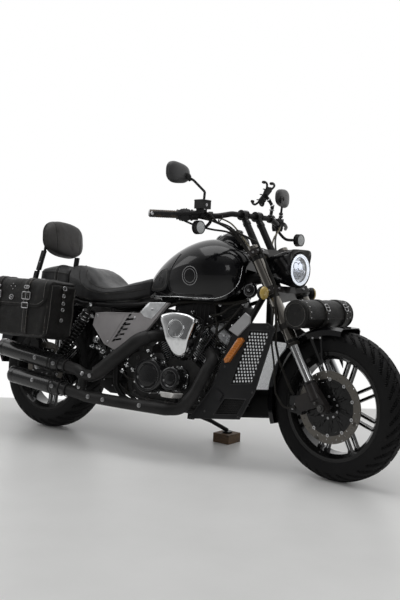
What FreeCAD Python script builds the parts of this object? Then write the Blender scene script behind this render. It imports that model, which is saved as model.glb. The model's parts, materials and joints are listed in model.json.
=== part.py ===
"""Cruiser motorcycle, parked on its side stand with the bars turned a little to the right.

Lengths are millimetres. The motorcycle is drawn upright: X points forward from the rear
axle, Y to the rider's left and Z up from the ground. The front end is drawn with straight
steering. Each sub-part's Placement then turns the steering, leans the motorcycle onto its
stand and sets the origin on the ground under the middle of the whole.
"""
import FreeCAD, Part
import math
import operator
import os
import Sketcher

doc = FreeCAD.newDocument("cruiser")
sheet = doc.addObject("Spreadsheet::Sheet", "Sizes")
Vector = FreeCAD.Vector
Placement = FreeCAD.Placement
Rotation = FreeCAD.Rotation

# ---------------------------------------------------------------- driving dimensions
SIZES = {
    # stance
    "wheelbase": 1600, "rear_radius": 310, "front_radius": 312,
    "rear_width": 150, "front_width": 120, "rake": 31, "fork_offset": 48,
    "axle_lead": 16, "steer_turn": -11.8, "lean": 8, "gap": 0.3, "sheet_metal": 3,
    # wheels
    "rim_radius": 228, "rim_well": 196, "rim_lip": 9, "hub_radius": 42, "bore_gap": 0.05,
    "spoke_pairs": 8, "spoke_depth": 22, "spoke_width": 11, "spoke_spread": 17,
    "spoke_phase": 26.7, "tyre_side": 0.3, "axle_radius": 10, "axle_bore": 6,
    "disc_radius": 150, "disc_band": 33, "disc_thick": 5, "disc_place": 68,
    "rear_disc_radius": 125, "rear_disc_place": 82, "carrier_bore": 26, "window_radius": 10,
    "sprocket_radius": 98, "sprocket_place": 90, "belt_wide": 20, "pulley_radius": 36,
    "pulley_x": 640, "pulley_z": 330, "pivot_x": 508, "pivot_z": 322, "arm_half": 122,
    "caliper_angle": 151, "rear_caliper_angle": 128,
    # fork
    "leg_half": 105, "tube_radius": 26, "stanchion_radius": 20.5, "foot_radius": 27,
    "fork_top": 770, "fork_shoulder": 300, "stanchion_end": 122, "clamp_low": 530,
    "clamp_high": 724, "clamp_thick": 34, "stem_radius": 17, "head_radius": 30,
    "fender_radius": 329, "fender_half": 73, "fender_skirt": 34, "fender_front": 82,
    "fender_sweep": 119,
    "rear_fender_radius": 345, "rear_fender_half": 94, "rear_fender_front": 52,
    "rear_fender_sweep": 120,
    # headlight and tool roll
    "nacelle_rear": 1240, "nacelle_front": 1372, "shell_seat": 44, "lamp_radius": 70, "lamp_height": 875,
    "roll_radius": 56, "roll_half": 175, "roll_forward": 158, "frame_tube": 14,
    # handlebar
    "bar_radius": 12.5, "grip_radius": 17, "bar_half": 450, "grip_length": 125,
    "riser_half": 50, "riser_radius": 16, "riser_place": 31, "bar_reach": 953,
    # tank and seat
    "tank_half": 162, "tank_bottom": 705, "tank_top": 996, "tank_rear": 600,
    "tank_front": 1112, "tunnel_half": 46, "seat_half": 150, "seat_base": 662,
    # engine
    "crank_x": 862, "crank_z": 330, "rear_tilt": -31, "front_tilt": 35,
    "fin_half": 72, "fin_thick": 3.2, "fin_pitch": 10, "barrel_radius": 56,
    "barrel_base": 112, "fin_count": 15, "case_half": 112, "cover_out": 186,
    # exhaust
    "pipe_radius": 27, "muffler_radius": 42, "muffler_place": 253,
    # luggage
    "bag_inner": 205, "bag_outer": 400, "bag_front": 268, "bag_length": 400,
    "bag_bottom": 456, "bag_top": 728, "pad_half": 125, "sissy_half": 139.4,
    # cooling shroud
    "guard_thick": 2.4, "shroud_half": 160, "shroud_skin": 5, "hole_pitch": 17, "hole_radius": 6,
    # stand
    "stand_pivot_x": 800, "stand_pivot_y": 140, "stand_pivot_z": 165, "stand_pin": 6,
    "spring_radius": 27, "wire_radius": 4.2, "coil_count": 11,
    "block_x": 899, "block_y": 305, "block_side": 96, "block_high": 45,
}


class Size:
    """A number together with the sheet expression that it comes from."""

    def __init__(self, value, text):
        self.value = float(value)
        self.text = text

    def mixed(self, other, sign, action):
        other = sized(other)
        return Size(action(self.value, other.value), f"({self.text} {sign} {other.text})")

    def __add__(self, other):
        return self.mixed(other, "+", operator.add)

    def __radd__(self, other):
        return sized(other) + self

    def __sub__(self, other):
        return self.mixed(other, "-", operator.sub)

    def __rsub__(self, other):
        return sized(other) - self

    def __mul__(self, other):
        return self.mixed(other, "*", operator.mul)

    def __rmul__(self, other):
        return sized(other) * self

    def __truediv__(self, other):
        return self.mixed(other, "/", operator.truediv)

    def __neg__(self):
        return 0 - self

    def __lt__(self, other):
        return self.value < float(other)

    def __float__(self):
        return self.value


def sized(number):
    return number if isinstance(number, Size) else Size(number, repr(float(number)))


class Names:
    pass


s = Names()
for row, (name, value) in enumerate(SIZES.items(), 1):
    sheet.set(f"A{row}", "'" + name)
    sheet.set(f"B{row}", str(value))
    sheet.setAlias(f"B{row}", name)
    setattr(s, name, Size(value, "Sizes." + name))
doc.recompute()


# ---------------------------------------------------------------- drawing tools
def bind(obj, prop, size):
    """Set a property from a size, and tie it to the sheet if the size comes from there."""
    size = sized(size)
    if "Sizes." in size.text:
        obj.setExpression(prop, size.text)
    elif "." not in prop:
        setattr(obj, prop, size.value)


def point(x, y, z):
    return Vector(float(x), float(y), float(z))


def aimed(where, direction):
    """A placement at a point, with its own Z along a direction."""
    return Placement(point(*where), Rotation(Vector(0, 0, 1), Vector(*direction)))


def new_body(label):
    body = doc.addObject("PartDesign::Body", label + "_form")
    body.Label = label
    return body


def sketch(body, plane, loops, start=0):
    """A sketch of closed loops on one of the body's origin planes, set off by start."""
    drawn = body.newObject("Sketcher::SketchObject", body.Name + "_sketch")
    base = [o for o in body.Origin.OriginFeatures if o.Role == plane + "_Plane"][0]
    drawn.AttachmentSupport = [(base, "")]
    drawn.MapMode = "FlatFace"
    start = sized(start)
    drawn.AttachmentOffset = Placement(Vector(0, 0, start.value), Rotation())
    if "Sizes." in start.text:
        drawn.setExpression("AttachmentOffset.Base.z", start.text)
    for loop in loops:
        if loop[0] == "circle":
            draw_circle(drawn, *loop[1:])
        else:
            draw_loop(drawn, loop)
    return drawn


def pins(geometry, end, x, y):
    """The constraints that hold a point at x, y."""
    found = []
    for kind, place, axis in (("DistanceX", x, -2), ("DistanceY", y, -1)):
        if abs(float(place)) < 1e-9:
            found.append((Sketcher.Constraint("PointOnObject", geometry, end, axis), None))
        else:
            rule = Sketcher.Constraint(kind, -1, 1, geometry, end, float(place))
            found.append((rule, sized(place).text))
    return found


def add_rules(drawn, rules):
    numbers = drawn.addConstraint([rule for rule, text in rules])
    for number, (rule, text) in zip(numbers, rules):
        if text and "Sizes." in text:
            drawn.setExpression(f"Constraints[{number}]", text)


def draw_circle(drawn, x, y, radius):
    shape = Part.Circle(point(x, y, 0), Vector(0, 0, 1), float(radius))
    number = drawn.addGeometry(shape, False)
    rules = pins(number, 3, x, y)
    rules.append((Sketcher.Constraint("Radius", number, float(radius)), sized(radius).text))
    add_rules(drawn, rules)


def draw_loop(drawn, loop):
    """A closed outline: (x, y), or (x, y, (mid_x, mid_y)) where an arc leaves the corner."""
    corners = [point(corner[0], corner[1], 0) for corner in loop]
    starts, ends, rules = [], [], []
    for index, corner in enumerate(loop):
        here, there = corners[index], corners[(index + 1) % len(loop)]
        if len(corner) == 2:
            number = drawn.addGeometry(Part.LineSegment(here, there), False)
            first, last = 1, 2
        else:
            middle = point(corner[2][0], corner[2][1], 0)
            turn = (middle - here).cross(there - middle).z
            trio = (here, middle, there) if turn > 0 else (there, middle, here)
            first, last = (1, 2) if turn > 0 else (2, 1)
            number = drawn.addGeometry(Part.Arc(*trio), False)
            spot = drawn.addGeometry(Part.Point(middle), True)
            rules += pins(spot, 1, *corner[2])
            rules.append((Sketcher.Constraint("PointOnObject", spot, 1, number), None))
        starts.append((number, first))
        ends.append((number, last))
        rules += pins(number, first, corner[0], corner[1])
    for index, end in enumerate(ends):
        start = starts[(index + 1) % len(loop)]
        rules.append((Sketcher.Constraint("Coincident", *end, *start), None))
    add_rules(drawn, rules)


def pad(body, plane, loops, start, length):
    """Material from start onwards along the plane's normal (-Y for the XZ plane)."""
    made = body.newObject("PartDesign::Pad", body.Name + "_pad")
    made.Profile = sketch(body, plane, loops, start)
    bind(made, "Length", length)
    return made


def pocket(body, plane, loops, start, length):
    """Takes material away from start onwards along the plane's normal."""
    made = body.newObject("PartDesign::Pocket", body.Name + "_pocket")
    made.Profile = sketch(body, plane, loops, start)
    made.Reversed = True
    bind(made, "Length", length)
    return made


def slab(label, plane, loops, start, length):
    """A body that is one padded outline."""
    body = new_body(label)
    pad(body, plane, loops, start, length)
    return body


def turned(label, outline, sweep=360):
    """A body turned about its own Z: outline corners are (radius, height)."""
    body = new_body(label)
    made = body.newObject("PartDesign::Revolution", body.Name + "_turn")
    made.Profile = sketch(body, "XZ", [outline])
    made.ReferenceAxis = (made.Profile[0], ["V_Axis"])
    made.Angle = float(sweep)
    bind(made, "Angle", sweep)
    return body


def lofted(label, plane, sections):
    """A body through (start, outline) sections, all with the same number of edges."""
    body = new_body(label)
    made = body.newObject("PartDesign::AdditiveLoft", body.Name + "_loft")
    drawn = [sketch(body, plane, [outline], start) for start, outline in sections]
    made.Profile = drawn[0]
    made.Sections = drawn[1:]
    return body


def cylinder(label, radius, length, where, direction=(0, 0, 1)):
    made = doc.addObject("Part::Cylinder", label)
    bind(made, "Radius", radius)
    bind(made, "Height", length)
    made.Placement = aimed(where, direction)
    return made


def box(label, low, size):
    made = doc.addObject("Part::Box", label)
    for prop, side in zip(("Length", "Width", "Height"), size):
        bind(made, prop, side)
    made.Placement = Placement(point(*low), Rotation())
    return made


def fused(label, *pieces):
    made = doc.addObject("Part::MultiFuse", label)
    made.Shapes = list(pieces)
    return made


def together(label, *pieces):
    """Pieces that don't touch, kept as one sub-part."""
    made = doc.addObject("Part::Compound", label)
    made.Links = list(pieces)
    return made


def minus(label, base, *tools):
    for number, tool in enumerate(tools):
        made = doc.addObject("Part::Cut", f"{label}_{number}")
        made.Base = base
        made.Tool = tool
        base = made
    return base


def mirrored(label, source):
    """The source seen in the motorcycle's middle plane."""
    made = doc.addObject("Part::Mirroring", label)
    made.Source = source
    made.Normal = Vector(0, 1, 0)
    made.Base = Vector(0, 0, 0)
    return made


def route(points, bend):
    """A wire of straight runs joined by tangent arcs."""
    spots = [point(*spot) for spot in points]
    runs = [(b - a) for a, b in zip(spots, spots[1:])]
    edges, start = [], spots[0]
    for index in range(1, len(spots) - 1):
        before, after = runs[index - 1], runs[index]
        half = before.getAngle(after) / 2
        reach = min(before.Length, after.Length) * 0.45
        back = min(float(bend) * math.tan(half), reach)
        unit_in = Vector(before).normalize()
        unit_out = Vector(after).normalize()
        enter = spots[index] - unit_in * back
        leave = spots[index] + unit_out * back
        radius = back / math.tan(half)
        inward = (unit_out - unit_in).normalize()
        centre = spots[index] + inward * (radius / math.cos(half))
        middle = centre - inward * radius
        edges.append(Part.LineSegment(start, enter).toShape())
        edges.append(Part.Arc(enter, middle, leave).toShape())
        start = leave
    edges.append(Part.LineSegment(start, spots[-1]).toShape())
    return Part.Wire(edges)


def tube(label, points, radius, bend=60):
    """A round bar that follows a route."""
    path = doc.addObject("Part::Feature", label + "_path")
    path.Shape = route(points, bend)
    ring = doc.addObject("Part::Circle", label + "_ring")
    bind(ring, "Radius", radius)
    first = point(*points[1]) - point(*points[0])
    ring.Placement = aimed(points[0], tuple(first))
    made = doc.addObject("Part::Sweep", label)
    made.Sections = [ring]
    made.Spine = (path, [f"Edge{n + 1}" for n in range(len(path.Shape.Edges))])
    made.Solid = True
    made.Frenet = False
    return made


def mirror_y(points):
    return [(x, -y, z) for x, y, z in points]


def flipped(corner):
    """An outline's corner seen in the middle plane, with its arc point if it has one."""
    if len(corner) == 2:
        return -corner[0], corner[1]
    return -corner[0], corner[1], (-corner[2][0], corner[2][1])


SIDES = (("right", -1), ("left", 1))


def side_slab(label, loops, low, thick, side):
    """A slab on one flank: low is its inner face's distance from the middle plane."""
    return slab(label, "XZ", loops, low if side < 0 else -low - thick, thick)


# ---------------------------------------------------------------- frames of reference
rake = math.radians(float(s.rake))
FORWARD = Vector(math.cos(rake), 0, math.sin(rake))
UPWARD = Vector(-math.sin(rake), 0, math.cos(rake))
FRONT_AXLE = point(s.wheelbase, 0, s.front_radius)
REAR_AXLE = point(0, 0, s.rear_radius)
STEER_BASE = FRONT_AXLE - FORWARD * float(s.fork_offset + s.axle_lead)
# the fork's own frame: X forward from the steering axis, Y left, Z up the steering axis
FORK = Placement(STEER_BASE, Rotation(Vector(0, 1, 0), -float(s.rake)))
SIDEWAYS = Rotation(Vector(1, 0, 0), -90)
REAR_WHEEL = Placement(REAR_AXLE, SIDEWAYS)
FRONT_WHEEL = Placement(FRONT_AXLE, SIDEWAYS)

nodes = []


def node(label, made, group="chassis", local=None):
    """Name a finished sub-part, with the group that it moves with."""
    made.Label = label
    if local is not None:
        made.Placement = local
    nodes.append((label, made, group))
    return made


# ---------------------------------------------------------------- wheels
def rim(label, width, hub_half):
    """A cast wheel: rim section, hub and pairs of straight spokes."""
    half = width / 2 - 8
    body = new_body(label)
    turn = body.newObject("PartDesign::Revolution", body.Name + "_turn")
    outline = [
        (s.rim_radius, -half), (s.rim_radius, 6 - half), (s.rim_radius - s.rim_lip, 9 - half),
        (s.rim_well + 8, 26 - half), (s.rim_well + 8, half - 26),
        (s.rim_radius - s.rim_lip, half - 9), (s.rim_radius, half - 6), (s.rim_radius, half),
        (s.rim_radius - 16, half), (s.rim_well, half - 22), (s.rim_well, 22 - half),
        (s.rim_radius - 16, -half),
    ]
    turn.Profile = sketch(body, "XZ", [outline])
    turn.ReferenceAxis = (turn.Profile[0], ["V_Axis"])
    hub = body.newObject("PartDesign::Revolution", body.Name + "_hub")
    bore = s.axle_radius + s.bore_gap
    hub_outline = [
        (bore, -hub_half), (s.hub_radius - 8, -hub_half), (s.hub_radius - 8, -26),
        (s.hub_radius, -20), (s.hub_radius, 20), (s.hub_radius - 8, 26),
        (s.hub_radius - 8, hub_half), (bore, hub_half),
    ]
    hub.Profile = sketch(body, "XZ", [hub_outline])
    hub.ReferenceAxis = (hub.Profile[0], ["V_Axis"])
    bars = []
    for side in (-1, 1):
        low = side * s.spoke_spread - s.spoke_width / 2
        high = side * s.spoke_spread + s.spoke_width / 2
        bars.append([(s.hub_radius - 6, low), (s.rim_well + 3, low),
                     (s.rim_well + 3, high), (s.hub_radius - 6, high)])
    spokes = pad(body, "XY", bars, -s.spoke_depth / 2, s.spoke_depth)
    ring = body.newObject("PartDesign::PolarPattern", body.Name + "_ring")
    ring.Originals = [spokes]
    ring.Axis = (turn.Profile[0], ["V_Axis"])
    ring.Angle = 360
    bind(ring, "Occurrences", s.spoke_pairs)
    body.Tip = ring
    return body


def tyre(label, radius, width):
    """A closed tyre of round section that sits on the rim's two beads."""
    half = width / 2
    bead = half - 8 - s.tyre_side
    foot = s.rim_radius + s.gap
    shoulder = radius - 34
    outline = [
        (foot, -bead), (shoulder, 1 - half), (radius - 9, 24 - half), (radius, 0),
        (radius - 9, half - 24), (shoulder, half - 1), (foot, bead),
    ]
    return turned(label, outline)


def disc(label, radius, place, windows):
    """A brake disc: a flat ring on a carrier with a circle of round windows."""
    body = new_body(label)
    low = place - s.disc_thick / 2
    rings = [("circle", 0, 0, radius), ("circle", 0, 0, s.carrier_bore)]
    plate = pad(body, "XY", rings, low, s.disc_thick)
    middle = (radius - s.disc_band + s.hub_radius) / 2
    hole = pocket(body, "XY", [("circle", middle, 0, s.window_radius)], low - 1, s.disc_thick + 2)
    ring = body.newObject("PartDesign::PolarPattern", body.Name + "_ring")
    ring.Originals = [hole]
    ring.Axis = (plate.Profile[0], ["N_Axis"])
    ring.Angle = 360
    ring.Occurrences = windows
    body.Tip = ring
    return body


front_turn = Placement(Vector(), Rotation(Vector(0, 0, 1), -float(s.spoke_phase)))
front_hub = s.disc_place - s.disc_thick / 2
rear_hub = s.rear_disc_place - s.disc_thick / 2
node("front_rim", rim("front_rim", s.front_width, front_hub), "front_wheel",
     FRONT_WHEEL * front_turn)
node("rear_rim", rim("rear_rim", s.rear_width, rear_hub), "rear_wheel", REAR_WHEEL)
node("front_tyre", tyre("front_tyre", s.front_radius, s.front_width), "front_wheel", FRONT_WHEEL)
node("rear_tyre", tyre("rear_tyre", s.rear_radius, s.rear_width), "rear_wheel", REAR_WHEEL)

node("front_disc", disc("front_disc", s.disc_radius, -s.disc_place, 10), "front_wheel",
     FRONT_WHEEL)
node("rear_disc", disc("rear_disc", s.rear_disc_radius, -s.rear_disc_place, 8), "rear_wheel",
     REAR_WHEEL)


def sprocket(label, radius, place, thick, bore):
    rings = [("circle", 0, 0, radius), ("circle", 0, 0, bore)]
    return slab(label, "XY", rings, place - thick / 2, thick)


node("rear_sprocket", sprocket("rear_sprocket", s.sprocket_radius, s.sprocket_place,
                               s.belt_wide, s.hub_radius - 8 + s.gap), "rear_wheel",
     REAR_WHEEL)


def lateral(label, radius, x, z, low, high):
    """A round bar across the motorcycle, from y = low to y = high."""
    return cylinder(label, radius, high - low, (x, low, z), (0, 1, 0))


def hollow_axle(label, x, z, out):
    """A wheel's axle, bored through for a paddock stand's pin."""
    bar = lateral(f"{label}_bar", s.axle_radius, x, z, -out, out)
    bore = lateral(f"{label}_bore", s.axle_bore, x, z, -out - 1, out + 1)
    return minus(label, bar, bore)


node("front_axle", hollow_axle("front_axle", s.wheelbase, s.front_radius, s.leg_half + 24),
     "steering")
node("rear_axle", hollow_axle("rear_axle", 0, s.rear_radius, s.arm_half + 24))


# ---------------------------------------------------------------- fork, in its own frame
def leg_pair(label, radius, low, high, place=None):
    """The same round piece on both legs."""
    n = s.fork_offset if place is None else place
    made = [cylinder(f"{label}_{side}", radius, high - low, (n, where, low))
            for side, where in (("right", -s.leg_half), ("left", s.leg_half))]
    return together(label, *made)


def clamp_plate(label, low, thick):
    """A triple clamp: an arm to each leg, pinched round it."""
    out = s.leg_half + 36
    outline = [
        (-26, -24), (s.fork_offset - 26, 10 - out, (s.fork_offset, -out)),
        (s.fork_offset + 36, 22 - out), (s.fork_offset + 22, -40), (s.fork_offset + 22, 40),
        (s.fork_offset + 36, out - 22, (s.fork_offset, out)), (s.fork_offset - 26, out - 10),
        (-26, 24, (-34, 0)),
    ]
    holes = [("circle", s.fork_offset, side * s.leg_half, s.tube_radius) for side in (-1, 1)]
    return slab(label, "XY", [outline] + holes, low, thick)


low_clamp = clamp_plate("low_clamp", s.clamp_low, s.clamp_thick)
high_clamp = clamp_plate("high_clamp", s.clamp_high, s.clamp_thick * 0.8)
stem = cylinder("stem", s.stem_radius, s.clamp_high - s.clamp_low, (0, 0, s.clamp_low))
node("fork_clamps", fused("fork_clamps", low_clamp, high_clamp, stem), "steering", FORK)
node("fork_tubes", leg_pair("fork_tubes", s.tube_radius, s.fork_shoulder, s.fork_top),
     "steering", FORK)
node("fork_stanchions", leg_pair("fork_stanchions", s.stanchion_radius, s.stanchion_end,
                                 s.fork_shoulder), "steering", FORK)


def fork_foot(side):
    """A fork foot: a socket for the stanchion and a lug for the axle."""
    where = side * s.leg_half
    socket = cylinder(f"foot_socket_{side}", s.foot_radius, s.stanchion_end - 44,
                      (s.fork_offset, where, 44))
    outline = [(s.fork_offset - 24, 80), (s.fork_offset - 6, 2), (s.fork_offset, -18,
               (s.fork_offset + s.axle_lead, -26)), (s.fork_offset + 2 * s.axle_lead, -18),
               (s.fork_offset + 2 * s.axle_lead + 4, 10), (s.fork_offset + 24, 80)]
    lug = slab(f"foot_lug_{side}", "XZ", [outline], -where - 17, 34)
    hanger = [(s.fork_offset - 10, 88), (s.fork_offset - 16, 16), (-46, 30), (-62, 66),
              (-36, 96)]
    low = s.leg_half - 3 if side < 0 else -s.leg_half - 9
    mount = slab(f"foot_mount_{side}", "XZ", [hanger], low, 12)
    hole = cylinder(f"foot_hole_{side}", s.axle_radius, 80,
                    (s.fork_offset + s.axle_lead, where - 40, 0), (0, 1, 0))
    return minus(f"fork_foot_{side}", fused(f"foot_whole_{side}", socket, lug, mount), hole)


node("fork_feet", together("fork_feet", fork_foot(-1), fork_foot(1)), "steering", FORK)


def caliper(label, radius, band, place, thick, outer, long):
    """A brake caliper astride a disc, drawn with its X out along the wheel's radius."""
    half = long / 2
    inner = radius - band - 4
    outline = [(inner, -half), (radius + 22, 6 - half, (radius + 27, 0)),
               (radius + 22, half - 6), (inner, half)]
    body = new_body(label)
    pad(body, "XZ", [outline], outer - thick, thick)
    slot = [(0, -half - 20), (radius + 4, -half - 20), (radius + 4, half + 20), (0, half + 20)]
    pocket(body, "XZ", [slot], place - s.disc_thick / 2 - 3, s.disc_thick + 6)
    return body


AXLE_IN_FORK = Vector(float(s.axle_lead + s.fork_offset), 0, 0)
caliper_turn = Rotation(Vector(0, 1, 0), -float(s.caliper_angle))
node("front_caliper", caliper("front_caliper", s.disc_radius, s.disc_band, s.disc_place, 46,
                              s.leg_half - 3, 80),
     "steering", FORK * Placement(AXLE_IN_FORK, caliper_turn))
node("rear_caliper", caliper("rear_caliper", s.rear_disc_radius, s.disc_band,
                             s.rear_disc_place, 44, s.arm_half - 17 - s.gap, 64),
     local=Placement(REAR_AXLE, Rotation(Vector(0, 1, 0), -float(s.rear_caliper_angle))))


def fender(label, radius, half, skirt, sweep):
    """A curved guard of one thickness: crown, rounded edges and side skirts."""
    metal = s.sheet_metal
    outline = [
        (radius - skirt, -half), (radius - 12, -half), (radius, 14 - half, ),
        (radius, half - 14), (radius - 12, half), (radius - skirt, half),
        (radius - skirt, half - metal), (radius - 12 - metal / 2, half - metal),
        (radius - metal, half - 14 - metal / 2), (radius - metal, 14 + metal / 2 - half),
        (radius - 12 - metal / 2, metal - half), (radius - skirt, metal - half),
    ]
    return turned(label, outline, sweep)


def swung(hub, degrees):
    """A wheel frame whose own X points up at an angle above forward."""
    return hub * Placement(Vector(), Rotation(Vector(0, 0, 1), -float(degrees)))


fender_end = s.fender_front + s.fender_sweep
guard = fender("front_guard", s.fender_radius, s.fender_half, s.fender_skirt, s.fender_sweep)
guard.Placement = swung(FRONT_WHEEL, fender_end)
stays = []
for name, side in SIDES:
    stay = [(1566, 462), (1554, 604), (1490, 600), (1500, 574)]
    opening = [(1555, 500), (1546, 590), (1511, 588), (1516, 574)]
    stays.append(side_slab(f"stay_{name}", [stay, opening], s.fender_half - 1, 4, side))
    lug_in = min(side * (s.fender_half - 2), side * (s.leg_half - s.tube_radius - s.gap))
    lug = lateral(f"fender_lug_{name}", 9, 0, 0, lug_in,
                  lug_in + (s.leg_half - s.tube_radius - s.gap - s.fender_half + 2))
    lug.Placement = FORK * Placement(point(s.fork_offset, 0, 313), Rotation()) * lug.Placement
    stays.append(lug)
node("front_fender", fused("front_fender", guard, *stays), "steering")

# ---------------------------------------------------------------- headlight
shell = [
    (s.nacelle_rear, [(-48, 822), (48, 822), (62, 930), (-62, 930)]),
    (s.nacelle_front, [(-50, 790), (50, 790), (86, 962), (-86, 962)]),
]
behind = box("behind_shell", (-60, -130, 400), (60 + s.shell_seat, 260, 500))
behind.Placement = FORK * behind.Placement
ears = cylinder("ears", 8, s.leg_half * 2 - 52, (60, 26 - s.leg_half, 640), (0, 1, 0))
ears.Placement = FORK * ears.Placement
shell_cut = minus("shell_cut", lofted("shell", "YZ", shell), behind)
node("headlight_shell", fused("headlight_shell", shell_cut, ears), "steering")
bezel = turned("bezel", [
    (s.lamp_radius - 12, 0), (s.lamp_radius, 0), (s.lamp_radius, 14), (s.lamp_radius - 6, 20),
    (s.lamp_radius - 12, 14)])
lens = turned("lens", [(0, 0), (s.lamp_radius - 12, 0), (s.lamp_radius - 12, 8), (0, 14)])
lamp_face = aimed((s.nacelle_front, 0, s.lamp_height), (1, 0, 0))
node("headlight_lamp", fused("headlight_lamp", bezel, lens), "steering", lamp_face)

# ---------------------------------------------------------------- handlebar
bar_middle = FORK.multVec(point(s.riser_place, 0, s.bar_reach))
bar_x, bar_z = bar_middle.x, bar_middle.z
bar_half = float(s.bar_half)
bar_run = [(bar_x, 0, bar_z), (bar_x, -130, bar_z), (bar_x - 12, -215, bar_z - 18),
           (bar_x - 94, -325, bar_z - 19), (bar_x - 190, -bar_half, bar_z - 20)]
bar_right = tube("bar_right", bar_run, s.bar_radius, 90)
bar_left = tube("bar_left", mirror_y(bar_run), s.bar_radius, 90)
riser_t = s.clamp_high + s.clamp_thick * 0.8
risers = []
for side in (-1, 1):
    foot = FORK.multVec(point(s.riser_place, side * s.riser_half, riser_t))
    risers.append(cylinder(f"riser_{side}", s.riser_radius, s.bar_reach - riser_t - 10,
                           tuple(foot), tuple(UPWARD)))
    risers.append(cylinder(f"riser_cap_{side}", s.riser_radius + 6, 34,
                           (bar_x, side * s.riser_half - 17, bar_z), (0, 1, 0)))
bar = fused("bar", bar_right, bar_left)
node("handlebar", fused("handlebar", bar, *risers), "steering")


def along_bar(side, start, length):
    """A point on the outer stretch of the bar and its outward direction."""
    tip = point(bar_run[-1][0], side * bar_run[-1][1] * -1, bar_run[-1][2])
    knee = point(bar_run[-2][0], side * bar_run[-2][1] * -1, bar_run[-2][2])
    outward = (tip - knee).normalize()
    return tuple(tip - outward * (start + length)), tuple(outward)


# The left mirror stands lower and is turned towards the rider: x, y, z from the bar, turn.
mirror_places = {"right": (-98, -388, 157, 9), "left": (-110, 366, 124, 16)}
mirror_stems = {
    "right": [(-34, -276, 84), (-60, -322, 130), (-88, -338, 148)],
    "left": [(-34, 276, 70), (-52, 300, 100), (-79.8, 324.9, 115)]}
mirrors = {}
for name, side in SIDES:
    body = new_body(f"mirror_{name}")
    outline = [(-84, 0, (-74, -36)), (-40, -45), (44, -45, (72, -32)), (82, 0, (72, 32)),
               (44, 43), (-40, 43, (-72, 36))]
    if side < 0:
        outline = [flipped(corner) for corner in outline]
    pad(body, "YZ", [outline], 0, 22)
    back, aside, up, turn = mirror_places[name]
    body.Placement = Placement(Vector(bar_x + back, aside, bar_z + up),
                               Rotation(Vector(0, 0, 1), turn))
    mirrors[name] = body
node("mirrors", together("mirrors", *mirrors.values()), "steering")

grips, controls = [], []
for name, side in SIDES:
    where, outward = along_bar(side, -4, float(s.grip_length))
    sleeve = cylinder(f"grip_{name}", s.grip_radius, s.grip_length, where, outward)
    core = cylinder(f"grip_core_{name}", s.bar_radius, s.grip_length - 4, where, outward)
    grips.append(minus(f"grip_open_{name}", sleeve, core))
    where, outward = along_bar(side, float(s.grip_length) - 3.7, 88)
    housing = cylinder(f"housing_{name}", 21, 88, where, outward)
    lever = tube(f"lever_{name}", [(bar_x - 46, side * 268, bar_z - 10),
                                   (bar_x - 38, side * 300, bar_z - 12),
                                   (bar_x - 98, side * 400, bar_z - 20),
                                   (bar_x - 154, side * 470, bar_z - 22)], 6, 40)
    perch = box(f"perch_{name}", (bar_x - 66, side * 276 - 17, bar_z - 26), (34, 34, 38))
    stem_run = [(-40, side * 276, 10), *mirror_stems[name]]
    stem = tube(f"mirror_stem_{name}", [(bar_x + x, y, bar_z + z) for x, y, z in stem_run],
                5.5, 12)
    pieces = [housing, lever, perch, stem]
    if side < 0:
        pieces.append(box("reservoir", (bar_x - 66, -306, bar_z + 10), (46, 58, 34)))
    controls.append(minus(f"control_{name}", fused(f"control_whole_{name}", *pieces), bar,
                          mirrors[name]))
node("grips", together("grips", *grips), "steering")
node("hand_controls", together("hand_controls", *controls), "steering")

# ---------------------------------------------------------------- lamps at the front
def round_lamp(label, radius, depth, where, direction):
    made = turned(label, [(0, 0), (radius * 0.6, 0), (radius, depth * 0.4), (radius, depth - 4),
                          (radius - 4, depth), (0, depth + 4)])
    made.Placement = aimed(where, direction)
    return made


fogs = []
for name, side, x, z in (("right", -1, bar_x - 54.9, bar_z - 72.9),
                         ("left", 1, bar_x + 31.1, bar_z - 90.9)):
    lamp = round_lamp(f"fog_lens_{name}", 29, 34, (x, side * 308, z), (1, 0, 0))
    ring = cylinder(f"fog_ring_{name}", 19, 16, (bar_x - 24.7, side * 232, bar_z - 18),
                    (-0.6, side * 0.8, 0))
    drop = tube(f"fog_drop_{name}", [(bar_x - 30, side * 239, bar_z - 18),
                                     (bar_x - 26, side * 240, z),
                                     (x + 16, side * 290, z)], 7, 20)
    fogs.append(minus(f"fog_{name}", fused(f"fog_whole_{name}", lamp, ring, drop), bar))
node("fog_lamps", together("fog_lamps", *fogs), "steering")
turns = []
for name, side, facing, reach in (("right", -1, (1, 0, 0), 20), ("left", 1, (0.5, 0.86, 0), 32)):
    lamp = round_lamp(f"turn_lens_{name}", 29, 36, (1292, side * 174, 768), facing)
    inner = s.leg_half + 36.3
    low = min(side * inner, side * (inner + reach))
    turns.append(fused(f"turn_{name}", lamp, lateral(f"turn_stem_{name}", 7, 1302, 768, low,
                                                     low + reach)))
node("front_indicators", together("front_indicators", *turns), "steering")

# ---------------------------------------------------------------- phone holder
hold_y, hold_z = 150, float(bar_z)
clamp_ring = cylinder("clamp_ring", 20, 24, (bar_x, hold_y - 12, hold_z), (0, 1, 0))
stalk = tube("stalk", [(bar_x, hold_y, hold_z + 14), (bar_x + 6, hold_y, hold_z + 60),
                       (bar_x - 26, hold_y - 12, hold_z + 108)], 8, 20)
cradle_plate = box("cradle_plate", (-11, -34, -58), (12, 68, 116))
hooks = []
for name, y, z in (("low_a", -34, -58), ("low_b", 24, -58), ("high_a", -34, 50),
                   ("high_b", 24, 50)):
    hooks.append(box(f"hook_{name}", (-30, y, z), (22, 10, 8)))
    hooks.append(box(f"finger_{name}", (-36, y, z + (6 if z < 0 else -12)), (8, 10, 14)))
holder = fused("holder", cradle_plate, *hooks)
holder.Placement = Placement(point(bar_x - 26, hold_y - 12, hold_z + 108),
                             Rotation(Vector(0, 1, 0), 36))
node("phone_holder", minus("phone_holder", fused("phone_whole", clamp_ring, stalk, holder),
                           bar), "steering")

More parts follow.
